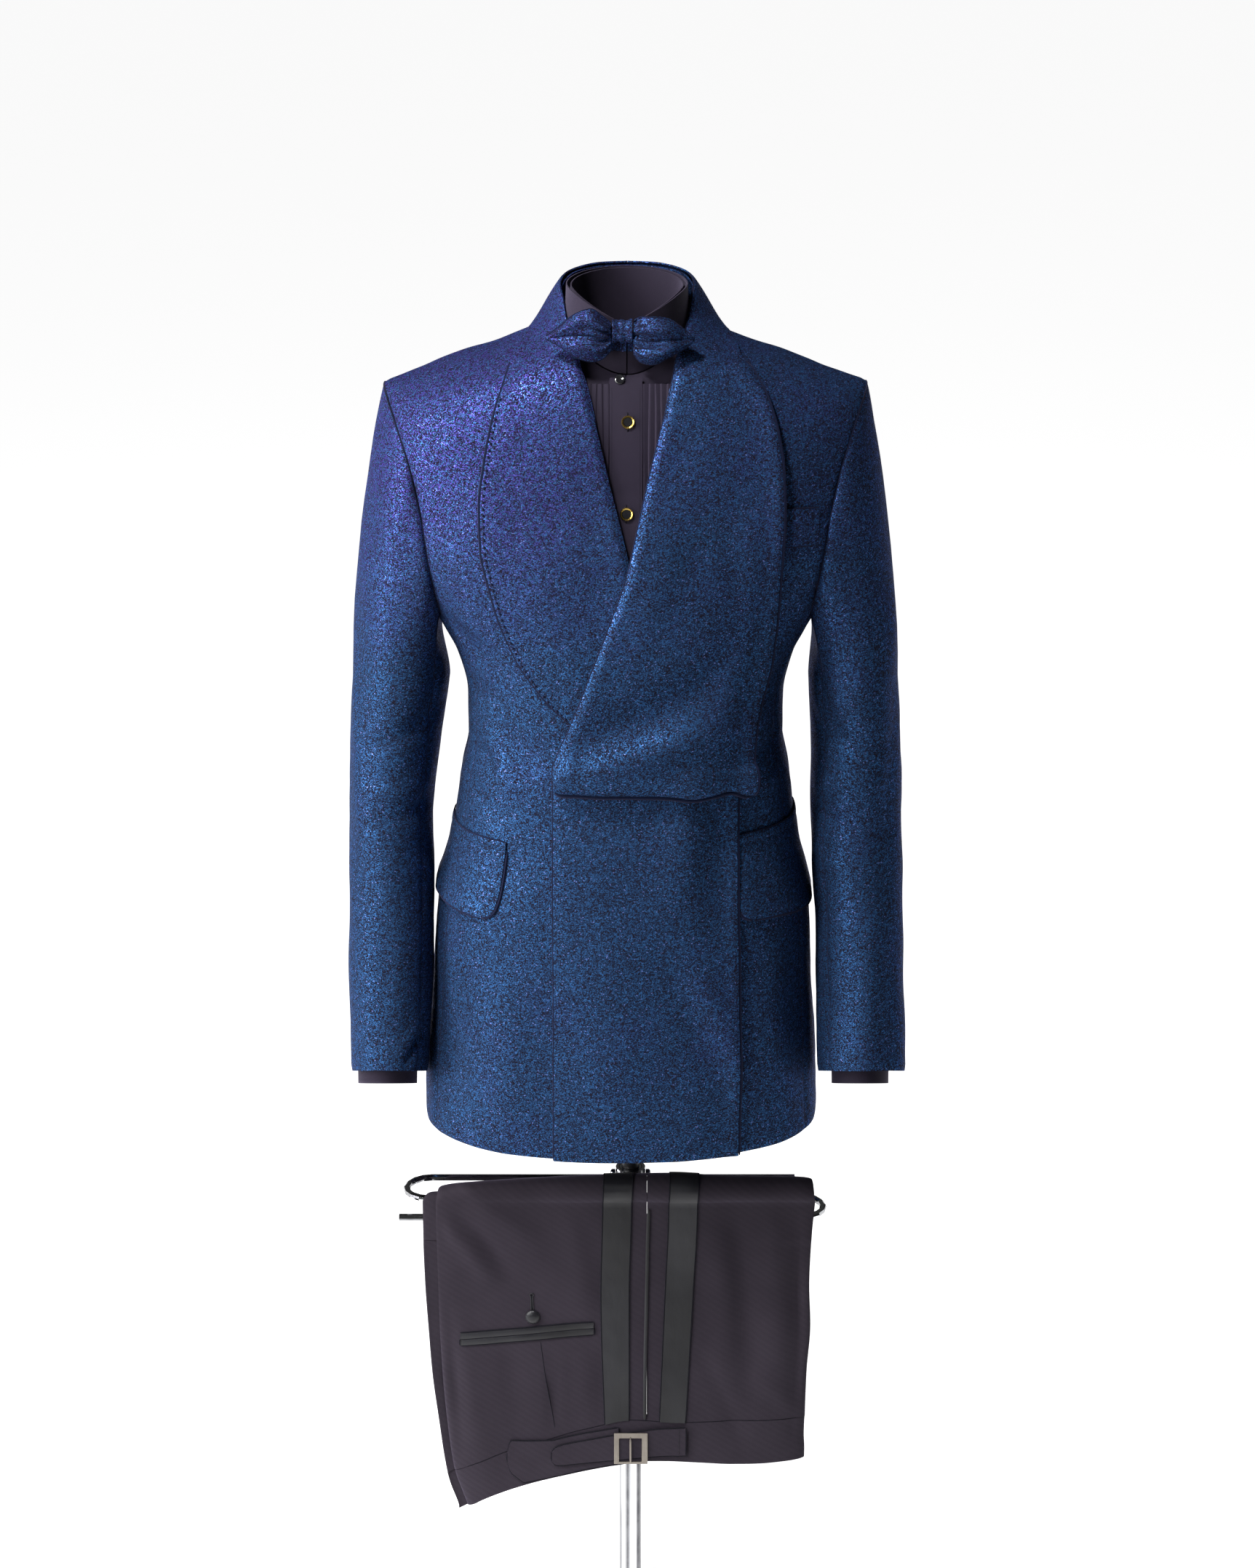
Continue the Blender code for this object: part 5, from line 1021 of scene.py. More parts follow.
def build_sleeves(body_rows):
    lower = [SLEEVE_TOP - 0.0048 * i for i in range(1, 81)] + [-0.7255]
    blend = [(i / 15) ** 1.25 for i in range(1, 16)]
    for side, name in SIDES:
        loop, angles, count = armhole_fine(side, body_rows, 16)
        p = vectors(sleeve_grid(side, loop, angles, blend, lower, 0.0, 0.0005,
                                lambda _, a: (side * 0.12, -0.10 * sin(a), -0.5)))
        n = tube_normals(p)
        n[0] = -sleeve_inward(loop)
        # the seam's own roll: the cloth turns out of the armhole over a few millimetres
        for r in range(1, 4):
            n[r] = n[r] * (r / 4) + n[0] * (1 - r / 4)
        for _ in range(2):
            n[1:6] = (n[0:5] + 2 * n[1:6] + n[2:7]) / 4
        n = unit(n)
        for word, columns, flat, area in (
            ("top", list(range(count)), (0.32, 0.68), 0.160),
            ("under", list(range(count - 1, p.shape[1])) + [0], (0.14, 0.47), 0.040),
        ):
            part = p[:, columns].copy()
            for edge, near in ((0, 1), (-1, -2)):
                part[:, edge] += unit(part[:, near] - part[:, edge]) * SLEEVE_TRIM
            sheet("sleeve_%s_%s" % (word, name), (part, n[:, columns]), "jacket", flat, area=area,
                  relief=lambda points: sleeve_relief(points, side), tuck=0.0010)


# Relief of the draped lapel alone: the fold that runs up from its corner, and the swell below it
LAPEL_CREASES = (
    (-0.050, -0.362, 0.100, -0.296, 21, -7.6, -8), (-0.045, -0.390, 0.104, -0.350, 17, 8.0, -4),
    (0.060, -0.330, 0.112, -0.262, 16, -2.4, 4), (0.020, -0.240, 0.070, -0.080, 26, 2.2, 6),
    (0.092, -0.150, 0.104, -0.290, 13, -1.6, 2), (-0.048, -0.372, -0.060, -0.402, 7, 2.4, 1),
    (0.000, -0.310, 0.040, -0.180, 15, 1.4, 3), (-0.050, -0.391, 0.098, -0.402, 9, 3.2, 2),
)
RIGHT_LAPEL_CREASES = (
    (-0.095, -0.100, -0.085, -0.250, 18, 1.0, 4), (-0.040, -0.090, -0.030, -0.250, 20, -0.8, 3),
    (-0.060, -0.270, -0.045, -0.330, 10, 0.8, 2),
)


def lapel_relief(side):
    rows = LAPEL_CREASES if side > 0 else RIGHT_LAPEL_CREASES

    def relief(p):
        front = np.clip((-p[..., 1] - 0.055) / 0.03, 0, 1)
        made = creases(p[..., 0], p[..., 2], rows, 1.0)
        free, roll = from_edges(p)[2:] if side > 0 else from_edges(p)[:1:-1]
        # the free edge stands up a little, and the cloth swells just inside the line it turns on
        made += (0.0052 if side > 0 else 0.0010) * np.exp(-(free / 0.014) ** 2)
        made += (0.0016 if side > 0 else 0.0006) * (roll / 0.007) * np.exp(1 - roll / 0.007)
        return front * made + body_relief(p) * np.clip((-0.02 - p[..., 2]) / 0.03, 0, 1) * front
    return relief


def build_lapels():
    spread = [0, 0.02, 0.04] + [0.06 + 0.94 * f for f in steps(38)]
    for (side, name), tab, flat, area in zip(SIDES, (RIGHT_STATIONS, LEFT_STATIONS),
                                             ((0.15, 0.60), (0.22, 0.62)), (0.052, 0.080)):
        rows = [neck_lapel_row(station, side, spread) for station in NECK_STATIONS]
        rows += [front_lapel_row(tab, k, spread) for k in (6, 7)]
        front = vectors([front_lapel_row(tab, 6 + i / 10, spread) for i in range(101)])
        grid = np.concatenate([spline_rows(vectors(rows), 9)[:6 * 9], front])
        if side > 0:
            fold = vectors([front_lapel_row(tab, 16, spread, *low_off) for low_off in FOLD])
            turned = spline_rows(np.concatenate([front[-2:], fold]), 7)[8:]
            grid = np.concatenate([grid, turned])[:, ::-1]
        # the depth is evened along the lapel, so that it passes over the crossing without a step
        y = grid[44:150, :, 1]
        for _ in range(60):
            y[1:-1] = (y[:-2] + 2 * y[1:-1] + y[2:]) / 4
        sheet("lapel_" + name, grid, "jacket", flat, relief=lapel_relief(side), area=area,
              held="folded", tuck=0.0007)


def stand_grid():
    """Three lines round the neck: under the roll, half way, and on the neckline."""
    half = [Vector(station[0]) for station in NECK_STATIONS[:5]]
    half[0].x = 0
    grid = [[], [], []]
    for p in [Vector((-p.x, p.y, p.z)) for p in half[:0:-1]] + half:
        x = abs(p.x)
        if p.y > 0.010:
            share = min(1.0, x / 0.064)
            foot_x = copysign(NECK_X * share, p.x) if x > 0.001 else 0.0
            reach = lerp(NECK_BACK_ANGLE, TOP_ROW, share ** 2.2)
            foot, _ = form_frame(TOP_MID + foot_x, 0, reach, True)
            inner = Vector((-foot.x, -foot.y, 0)).normalized()
            foot = foot + Vector((0, 0, 0.0028)) + inner * lerp(0.0014, 0.0044, share)
        else:
            foot = Vector((copysign(0.0725, p.x), p.y, 0.0074))
        top = p + Vector((-p.x * 0.030, -p.y * 0.030 + 0.0002, -0.0042))
        middle = lerp(top, foot, 0.5) + Vector((p.x * 0.01, p.y * 0.01, 0))
        for line, point in zip(grid, (top, middle, foot)):
            line.append(tuple(point))
    return grid


def edge_up(edge, height, reach):
    """Relief of the body with one edge of the piece standing up."""
    return lambda p: body_relief(p) + height * np.exp(-(from_edges(p)[edge] / reach) ** 2)


def on_hip(side, tab, z_front, g, z, lift):
    """Point on a flap or jet, from its front edge (g = 0) round to the side."""
    phi = lerp(abs(phi_of(at(tab, "x", z_front), z_front)), radians(97), g)
    if side > 0:
        lift += left_rise(row_point(0, phi, z, False).x, z)
    p, n = form_frame(0, side * phi, z, False)
    return p + n * lift, n


# Front edges of the flaps, and the heights of their top, front corner and back corner
FLAPS = {
    "right": (table("z x", (-0.5490, -0.1390), (-0.5465, -0.1322), (-0.5380, -0.1262),
                    (-0.5200, -0.1210), (-0.4815, -0.1148)), -0.4815, -0.5490, -0.5425),
    "left": (table("z x", (-0.5475, 0.1180), (-0.5440, 0.1105), (-0.5360, 0.1062),
                   (-0.5150, 0.1052), (-0.4735, 0.1046)), -0.4735, -0.5475, -0.5560),
}
WRAP_TOP, WRAP_LOW = -0.389, -0.7865


def build_trim():
    sheet("collar_stand", spline_grid(stand_grid(), 6, 8), "jacket", (0.27, 0.042))

    def wrap(t, f):
        z = lerp(WRAP_TOP, WRAP_LOW, t)
        left, right = phi_of(lerp(-0.0690, -0.0706, t), z), phi_of(lerp(0.1010, 0.1060, t), z)
        return in_front(row_point(0, lerp(left, right, f), z, False).x, z, 0.0043)
    sheet("wrap_panel", grid_of(steps(95), steps(42), wrap), "jacket", (0.19, 0.40), tuck=0.0007,
          relief=edge_up(3, 0.0022, 0.009))
    for side, name in SIDES:
        tab, top, low, back_z = FLAPS[name]

        def flap(i, g):
            f = sin(pi / 2 * i)
            z_front = lerp(top, low, f)
            lift = 0.0026 + 0.0006 * f + 0.0008 * f * sin(g * 5.0 + side)
            return on_hip(side, tab, z_front, g, z_front + f * (back_z - low) * ramp(g * 1.3), lift)

        def jet(i, g):
            z = lerp(top + 0.0088, top + 0.0004, i)
            return on_hip(side, tab, top, g, z, 0.0020 + 0.0006 * sin(pi * i))
        sheet("flap_" + name, grid_of(steps(24), steps(30), flap), "jacket", (0.16, 0.075),
              relief=edge_up(1, 0.0020, 0.012), area=0.0105, tuck=0.0006)
        sheet("jet_" + name, grid_of(steps(8), steps(30), jet), "jacket", (0.112, 0.0115),
              relief=body_relief, held="stretched", thick=0.0012)

    def welt(f, g):
        x = lerp(lerp(0.1412, 0.1424, f), lerp(0.1758, 0.1745, f), g)
        z = lerp(lerp(-0.1480, -0.1825, f), lerp(-0.1502, -0.1842, f), g)
        return in_front(x, z, 0.0024)
    sheet("breast_welt", grid_of(steps(12), steps(12), welt), "jacket", (0.038, 0.036),
          relief=body_relief, thick=0.0013)


# ---------------- shirt pieces
# One narrow tuck of the bib: way from its fold and height
TUCK = ((-0.0001, 0.0009), (0.0003, 0.0012), (0.0016, 0.0010), (0.0034, 0.0005),
        (PLEAT - 0.0006, 0.0001))


def points_of(rows, columns, place):
    return vectors([[place(row, column) for column in columns] for row in rows])


def turned_to(angle):
    """The same angle between -pi and pi."""
    return atan2(sin(angle), cos(angle))


def band_point(r, angle):
    foot = neck_height(angle) + 0.0009
    return collar_ring(angle, 0.0, lerp(foot, collar_top(turned_to(angle), -0.0012), r))


def tie_point(r, angle):
    low = lerp(-0.0060, 0.0120, min(1.0, (0.5 - 0.5 * cos(angle)) * 1.5))
    return collar_ring(angle, 0.0016 + 0.0004 * sin(pi * r), low + 0.016 * r)


def fall_point(share, f):
    top_a = lerp(0.085, 2 * pi - 0.085, f)
    angle = lerp(top_a, lerp(0.76, 2 * pi - 0.76, f), share)
    low = lerp(-0.0095, 0.0085, min(1.0, (1 - abs(2 * f - 1)) * 2.6))
    z = lerp(collar_top(turned_to(top_a), 0.0), low, share)
    return collar_ring(angle, lerp(0.0040, 0.0057, share), z)


COLLAR_TURNS = [0.012 + (2 * pi - 0.024) * f for f in steps(96)]


def build_shirt():
    rows = [-0.720 + 0.0059 * i for i in range(81)] + [SHIRT_UNDERARM]
    rows += [-0.239 + 0.006 * i for i in range(18)] + [TOP_ROW * f for f in steps(22)]
    shares = [0.1475 * (1 - (1 - f) ** 1.6) for f in steps(18)]
    shares += [0.1475 + 0.8525 * f for f in steps(34)[1:]]
    for side, name in SIDES:
        grid = shirt_grid(side, rows, shares, False, -0.0015 + side * 0.0004)
        sheet("shirt_front_" + name, arrays(grid), "shirt", (0.30, 0.74), area=0.185)
    halves = [arrays(shirt_grid(side, rows, shares, True)) for side in (-1, 1)]
    whole = tuple(np.concatenate([a[:, ::-1], b[:, 1:]], 1) for a, b in zip(*halves))
    sheet("shirt_back", whole, "shirt", (0.55, 0.74), area=0.36)
    profile = [(0.0, 0.0), (0.0015, 0.0), (0.0030, 0.0)]
    for i in range(PLEATS):
        profile += [(0.0036 + i * PLEAT + x, lift) for x, lift in TUCK]
    profile += [(0.0036 + PLEATS * PLEAT + 0.003, 0.0)]
    for side, name in SIDES:
        start = PLACKET_L + 0.003 if side < 0 else PLACKET_R - 0.003

        def tucked(f, spot):
            z, (x, lift) = lerp(-0.032, -0.300, f), spot
            x += 0.0004 * sin(z * 45 + x * 300)
            return in_front(start + side * x, z, SHIRT_OFF + 0.0031 + lift)
        sheet("shirt_bib_" + name, grid_of(steps(60), profile, tucked), "shirt", (0.075, 0.27),
              "stretched", area=0.0135)

    def placket(t, f):
        off = PLACKET_OFF + 0.0003 * sin(pi * f) - 0.0003
        return in_front(lerp(PLACKET_L, PLACKET_R, f), lerp(-0.027, -0.330, t), off)
    sheet("shirt_placket", grid_of(steps(76), steps(14), placket), "shirt", (0.031, 0.31),
          "stretched", thick=0.0012)
    sheet("shirt_collar_band", points_of(steps(7), COLLAR_TURNS, band_point), "shirt",
          (0.37, 0.042), "folded", thick=0.0012)
    sheet("shirt_collar_fall", points_of(steps(12)[::-1], steps(96), fall_point), "shirt",
          (0.38, 0.05), "folded", thick=0.0011)


def build_sleeve_linen():
    rows = [SHIRT_UNDERARM + 0.0115 * i for i in range(10)] + [TOP_ROW * f for f in steps(12)]
    half = len(rows) - 1
    angles = [pi * (1 - i / half) for i in range(2 * half)]
    lower = [SLEEVE_TOP - 0.0098 * i for i in range(1, 30)]
    for side, name in SIDES:
        p = vectors([cuff_ring(side, 0.0, dz, 72)
                     for dz in (0.046, 0.0383, 0.0307, 0.023, 0.0153, 0.0077, 0.0)])
        sheet("shirt_cuff_" + name, (p, ring_normals(p)), "shirt", (0.24, 0.05), "stretched",
              thick=0.0014, closed=True)
        front, back = ([line[-1][0] for line in shirt_grid(side, rows, (0, 1), behind)]
                       for behind in (False, True))
        loop = [(front[0] + back[0]) / 2] + front[1:] + back[::-1][1:-1]

        def leave(p, angle):
            low = ramp((-0.150 - p.z) / 0.080)
            return side * lerp(0.10, 1.0, low), -0.06 * sin(angle), lerp(-0.5, 0.0, low)
        grid = sleeve_grid(side, loop, angles, steps(14)[1:], lower, 0.0092, 0.0009, leave)
        last = cuff_ring(side, 0.0004, 0.0466, 2 * half, pi)
        grid += [[lerp(a, b, f) for a, b in zip(grid[-1], last)] for f in steps(7)[1:]]
        p = vectors(grid)
        n = ring_normals(p)
        n[0] = -sleeve_inward(loop)
        sheet("shirt_sleeve_" + name, (p, n), "shirt", (0.36, 0.62), area=0.19, closed=True)


# ---------------- bow tie
def wing_line(side, x0, x1, tab, w):
    """One line of a wing at height w of its half, out to the tip in front and back behind."""
    lobe = sin(pi * min(1.0, abs(w))) ** 0.8 if 0 < abs(w) < 1 else 0.0
    line = []
    for t in steps(30):
        half, mid, puff = (at(tab, c, t) for c in ("half", "mid", "puff"))
        # gathers fan out from the knot and die away towards the tip
        gather = cos(w * 10.5 + side * 0.8 + 0.6 * sin(w * 4))
        gather *= 0.0034 * exp(-t / 0.34) * min(1, t * 14 + 0.35)
        y = BOW_Y - 0.0056 - puff * (0.35 + 0.65 * lobe) + 0.004 * ramp((t - 0.5) * 2)
        y -= gather + 0.0006 * sin(t * 9 + w * 4 + side)
        line.append((lerp(x0, x1, t), y, mid + half * w + 0.0010 * sin(t * 7 + side) * w))
    for k in (0.5, 1.0):
        line.append((x1 + side * 0.0022 * k, lerp(y, BOW_Y + 0.0008, k), mid + half * w))
    for t in steps(30)[::-1]:
        y = BOW_Y + 0.0010 + 0.0016 * sin(pi * t) + 0.0018 * ramp((t - 0.4) * 2)
        line.append((lerp(x0, x1, t), y, at(tab, "mid", t) + at(tab, "half", t) * 0.94 * w))
    return line


def knot_point(f, turn):
    x, a = lerp(-0.0140, 0.0042, f), 2 * pi * turn / 48
    waist = 1.0 - 0.10 * (1 - ((x + 0.0049) / 0.0095) ** 2)
    r = waist * (1 + 0.035 * sin(3 * a + x * 500) + 0.03 * sin(x * 900))
    return x, KNOT_Y - 0.0081 * r * cos(a), 0.0145 + 0.0112 * r * sin(a)


def build_bow():
    sheet("bow_band", points_of(steps(7), COLLAR_TURNS, tie_point), "bow", (0.40, 0.017),
          "stretched")
    for name, (side, x0, x1, tab) in WINGS.items():
        p = vectors([wing_line(side, x0, x1, tab, side * (2 * f - 1)) for f in steps(40)])
        sheet("bow_wing_" + name, p, "bow", (0.145, 0.05), "folded", area=0.0045)
    p = points_of(steps(24), range(48), knot_point)
    sheet("bow_knot", (p, tube_normals(p)), "bow", (0.064, 0.020), "folded", thick=0.0015,
          closed=True)


# ---------------- trousers
FINE_Q = [low + (high - low) * i / count for low, high, count in (
    (-1, SEAT_Q, 44), (SEAT_Q, 0, 8), (0, 1, 20), (1, 2, 44), (2, 3, 16), (3, 4, 36))
    for i in range(count)] + [4.0]


def drape(p, half, share=1.0):
    """Moves points of the trousers by their creases in front and a slow wave on the rest."""
    p[..., 1] -= trouser_relief(p) * (p[..., 1] < ROD_FRONT_Y) * share
    behind = np.clip((np.array(FINE_Q) - 1.2) / 0.5, 0, 1)[:, None]
    p[..., 1] += 0.0004 * np.sin(p[..., 0] * 70 + half) * behind


def trouser_sheet(name, near, half, flat, area):
    """Half of a leg from the side seam to its fold at one edge, and back on the other layer."""
    turn = [0.94, 0.958, 0.974, 0.986, 0.995]
    outside = [0.92 * f for f in steps(26)] + turn
    columns = outside + [1.0] + turn[::-1] + [0.92 * (1 - f) for f in steps(22)]
    outer_n, inner_n = (NEAR_OUT, NEAR_IN) if near else (FAR_OUT, FAR_IN)

    def place(q, column):
        k, f = column
        inner = k > len(outside)
        z = front_z(q, 0.0) if q < 0 else ROD_Z
        for _ in range(3):
            x = lerp(SIDE_X + half * GAP / 2, trouser_edges(q, z, near)[half > 0], f)
            z = front_z(q, x) if q < 0 else ROD_Z
        round_off = sqrt(max(0.0, 1 - max(0.0, (f - 0.90) / 0.10) ** 2))
        n = lerp((outer_n + inner_n) / 2, inner_n if inner else outer_n, round_off)
        if q < SEAT_Q:
            n = face_n(x, z, near)
        if near:
            n += puff(x, q, lerp(0.90, 0.80 if inner else 1.0, round_off))
        p, out = trouser_point(x, n, q)
        turned = (0 if f < 0.90 else 1 - round_off) * (0.6 if q < SEAT_Q else 1.0)
        out = -out if near == inner else out
        return p, out * (1 - turned) + Vector((half * turned, 0, 0))
    p, n = grid_of(FINE_Q, list(enumerate(columns)), place)
    drape(p, half, np.clip((0.985 - np.array(columns)) / 0.05, 0, 1))
    mask = np.ones((len(FINE_Q) - 1, len(columns) - 1), bool)
    mask[:FINE_Q.index(SEAT_Q), len(outside):] = False
    sheet(name, (p, n), "trousers", flat, "folded", area=area, mask=mask, rests=("rod_upper",))


TAB = ((-0.1226, -1.1480, -1.1600), (-0.1195, -1.1345, -1.1700), (-0.1060, -1.1345, -1.1812),
       (-0.0750, -1.1330, -1.1735), (-0.0420, -1.1250, -1.1650), (-0.0093, -1.1190, -1.1590))
STRAP = ((-0.0770, -1.1455, -1.1560), (-0.0735, -1.1405, -1.1600), (-0.0660, -1.1378, -1.1600),
         (-0.0300, -1.1300, -1.1560), (0.0000, -1.1240, -1.1525), (0.0300, -1.1200, -1.1500),
         (0.0590, -1.1184, -1.1491))


def build_waist(near, word):
    """Waistband of one leg, from its left edge to its right one (g from -1 to 1)."""
    def place(f, g):
        z = -1.14
        for _ in range(4):
            x = lerp(SIDE_X, trouser_edges(-1, z, near)[g > 0], abs(g))
            z = lerp(at(WAIST_TOP, "z", x) - GAP, at(WAIST_LOW, "z", x), f)
        turn = ramp((abs(g) - 0.86) / 0.14)
        way = Vector((copysign(turn, g), (turn - 1) * (1 if near else -1), 0))
        return Vector((x, ROD_FRONT_Y - CLEAR - face_n(x, z, near), z)), way
    columns = [sin(pi / 2 * (2 * f - 1)) for f in steps(70)]
    sheet("waistband_" + word, grid_of(steps(14), columns, place), "trousers", (0.39, 0.052),
          "folded", thick=0.0013 if near else None,
          relief=lambda p: trouser_relief(p) * (1 if near else -1))


def build_trousers():
    for near, word in ((True, "near"), (False, "far")):
        trouser_sheet("trouser_back_" + word, near, -1, (0.40, 0.92), 0.235)
        trouser_sheet("trouser_front_" + word, near, 1, (0.36, 0.92), 0.170)
        build_waist(near, word)
        for stripe, half, first, second in (("back", -1, "a0", "a1"), ("front", 1, "b0", "b1")):
            def laid(q, g):
                x = lerp(at(STRIPES, first, q), at(STRIPES, second, q), g)
                n = NEAR_OUT + puff(x, q, 1.0) if near else FAR_OUT
                if q < SEAT_Q:
                    n = face_n(x, front_z(q, x), near)
                p, out = trouser_point(x, n + (0.0010 if near else -0.0010), q)
                return p, out if near else -out
            p, n = grid_of(FINE_Q, steps(8), laid)
            drape(p, half)
            sheet("stripe_%s_%s" % (stripe, word), (p, n), "satin", (0.0255, 0.82), "folded")
    for name, outline, off, flat in (("waist_tab", TAB, 0.0016, (0.115, 0.045)),
                                     ("waist_strap", STRAP, 0.0030, (0.137, 0.03))):
        xs, tops, lows = zip(*outline)

        def tab(f, g):
            x = lerp(xs[0], xs[-1], g)
            return near_face(x, lerp(np.interp(x, xs, tops), np.interp(x, xs, lows), f), off)
        sheet(name, grid_of(steps(12), steps(50), tab), "trousers", flat, thick=0.0011,
              relief=trouser_relief, area=flat[0] * flat[1] * 0.8)
    for name, shift in (("upper", 0.0), ("lower", -0.0068)):
        def jet(f, g):
            z = lerp(-1.0158, -1.0034, g) + shift - 0.0060 * f
            return near_face(lerp(-0.1690, -0.0342, g), z, 0.0013 + 0.0004 * sin(pi * f))
        sheet("pocket_jet_" + name, grid_of(steps(8), steps(60), jet), "satin", (0.137, 0.012),
              "stretched", area=0.0010, relief=trouser_relief, thick=0.0008, slot="trouser_wool")


# ---------------- materials
class Paint:
    """A node material: each call adds a node and links or sets its inputs by name."""

    def __init__(self, name):
        self.material = bpy.data.materials.new(name)
        self.material.use_nodes = True
        self.tree = self.material.node_tree
        self.shader = self.tree.nodes["Principled BSDF"]
        self.place = self.add("TexCoord").outputs["Object"]

    def put(self, socket, value):
        if isinstance(value, bpy.types.NodeSocket):
            self.tree.links.new(value, socket)
        elif isinstance(value, tuple) and len(value) == 3 and socket.type == "RGBA":
            socket.default_value = (*value, 1)
        else:
            socket.default_value = value

    def add(self, kind, inputs=(), **settings):
        made = self.tree.nodes.new("ShaderNode" + kind)
        for key, value in settings.items():
            setattr(made, key, value)
        for key, value in dict(inputs).items():
            self.put(made.inputs[key], value)
        return made

    def noise(self, scale, detail=2.0, rough=0.5, vector=None):
        inputs = {"Vector": vector or self.place, "Scale": scale, "Detail": detail}
        return self.add("TexNoise", {**inputs, "Roughness": rough}).outputs["Fac"]

    def math(self, operation, a, b=0.0, clamp=False):
        return self.add("Math", {0: a, 1: b}, operation=operation, use_clamp=clamp).outputs[0]

    def times(self, a, b, clamp=False):
        return self.math("MULTIPLY", a, b, clamp)

    def plus(self, a, b, clamp=False):
        return self.math("ADD", a, b, clamp)

    def span(self, value, low, high, to_low=0.0, to_high=1.0):
        inputs = {"Value": value, "From Min": low, "From Max": high, "To Min": to_low,
                  "To Max": to_high}
        return self.add("MapRange", inputs, interpolation_type="SMOOTHSTEP").outputs[0]

    def mix(self, share, a, b):
        made = self.add("Mix", data_type="RGBA")
        for index, value in ((0, share), (6, a), (7, b)):
            self.put(made.inputs[index], value)
        return made.outputs[2]

    def axis(self, name, vector=None):
        return self.add("SeparateXYZ", {0: vector or self.place}).outputs[name]

    def stretch(self, x, y, z, turn=(0, 0, 0)):
        inputs = {"Vector": self.place, "Scale": (x, y, z), "Rotation": turn}
        return self.add("Mapping", inputs).outputs[0]

    def bump(self, height, distance, strength=1.0, below=None):
        inputs = {"Height": height, "Distance": distance, "Strength": strength}
        if below is not None:
            inputs["Normal"] = below
        return self.add("Bump", inputs).outputs[0]

    def done(self, **inputs):
        for key, value in inputs.items():
            self.put(self.shader.inputs[key.replace("_", " ")], value)
        return self.material


def lurex(name, gain=1.0):
    """Crepe of short metallic threads, blue to violet, over an aubergine ground."""
    m = Paint(name)
    slant = m.stretch(1.0, 1.0, 1.30, (0, 0.5, 0))
    cells = m.add("TexVoronoi", {"Vector": slant, "Scale": 820.0, "Randomness": 0.95})
    pick, other = m.axis("X", cells.outputs["Color"]), m.axis("Y", cells.outputs["Color"])
    body = m.span(cells.outputs["Distance"], 0.80, 0.30)
    worms = m.math("ABSOLUTE", m.math("SUBTRACT", m.noise(640.0, 1.0, 0.5), 0.5))
    line = m.span(worms, 0.09, 0.01)
    patch = m.span(m.noise(260.0, 2.0, 0.6), 0.36, 0.58, 0.60, 1.0)
    thread = m.times(m.span(pick, 0.25, 0.95), body)
    thread = m.math("MAXIMUM", thread, m.times(line, m.span(other, 0.2, 0.9, 0.15, 0.8)))
    thread = m.times(thread, patch, clamp=True)
    cloud = m.noise(13.0, 3.0, 0.6)
    # painted sheen: the threads' shift of hue with the light is painted in by place, violet high on
    # the right breast, where the light from above on the left falls, and teal down the middle of
    # the front
    high = m.span(m.axis("Z"), -0.34, -0.06)
    aside = m.span(m.axis("X"), 0.05, -0.12)
    violet = m.times(high, m.plus(m.times(aside, 0.85), 0.25))
    clouds = m.times(m.math("SUBTRACT", cloud, 0.5), 0.9)
    violet = m.plus(violet, clouds, clamp=True)
    hue = m.mix(violet, (0.030, 0.108, 0.285), (0.098, 0.078, 0.46))
    hue = m.mix(m.span(other, 0.3, 1.0), hue, (0.050, 0.182, 0.46))
    hue = m.mix(m.span(pick, 0.975, 0.990), hue, (0.20, 0.28, 0.72))
    # gain below one darkens this copy of the cloth towards near black, as painted shade
    hue = m.mix(1.0 - gain, hue, (0.010, 0.010, 0.022))
    colour = m.mix(thread, (0.0100, 0.0074, 0.0106), hue)
    rough = m.span(thread, 0.0, 1.0, 0.64, 0.37)
    waves = m.bump(m.noise(45.0, 2.0, 0.5), 0.0012, 0.25)
    normal = m.bump(m.plus(thread, m.times(pick, 0.5)), 0.00020, 0.45, waves)
    return m.done(Base_Color=colour, Metallic=m.times(thread, 0.85), Roughness=rough,
                  Normal=normal, IOR=1.25, Specular_IOR_Level=0.15,
                  Specular_Tint=(0.30, 0.32, 0.75, 1),
                  Sheen_Weight=0.01, Sheen_Roughness=0.45, Sheen_Tint=(0.35, 0.42, 1.0, 1))


def woven(name, ground, light, scale, sheen, rough=0.62, twill=True, tint=(0.75, 0.66, 0.95, 1)):
    """Plain or twill weave with its yarns, slubs and slow changes of tone."""
    m = Paint(name)
    yarn = m.add("TexWave", {"Vector": m.stretch(1, 0.3, 1, (0, 0.75 if twill else 0.0, 0)),
                             "Scale": scale, "Distortion": 1.2, "Detail": 1.0, "Detail Scale": 3.0})
    cross = m.add("TexWave", {"Vector": m.stretch(1, 0.3, 1, (0, -0.85, 0)), "Scale": scale * 0.9,
                              "Distortion": 0.8, "Detail": 1.0}, bands_direction="Z")
    weave = m.times(yarn.outputs["Fac"], cross.outputs["Fac"])
    fuzz = m.noise(900.0, 2.0, 0.6)
    tone = m.times(m.noise(9.0, 4.0, 0.6), 0.8)
    share = m.plus(m.times(weave, 0.45), m.times(fuzz, 0.35))
    share = m.times(m.plus(share, tone), 0.75, clamp=True)
    colour = m.mix(share, ground, light)
    slow = m.bump(m.noise(38.0, 2.0, 0.5), 0.0010, 0.22)
    normal = m.bump(m.plus(weave, m.times(fuzz, 0.6)), 0.00018, 0.55, slow)
    return m.done(Base_Color=colour, Roughness=m.span(fuzz, 0.2, 0.8, rough, rough + 0.16),
                  Normal=normal, IOR=1.30, Specular_IOR_Level=0.2, Sheen_Weight=sheen,
                  Sheen_Roughness=0.42, Sheen_Tint=tint)


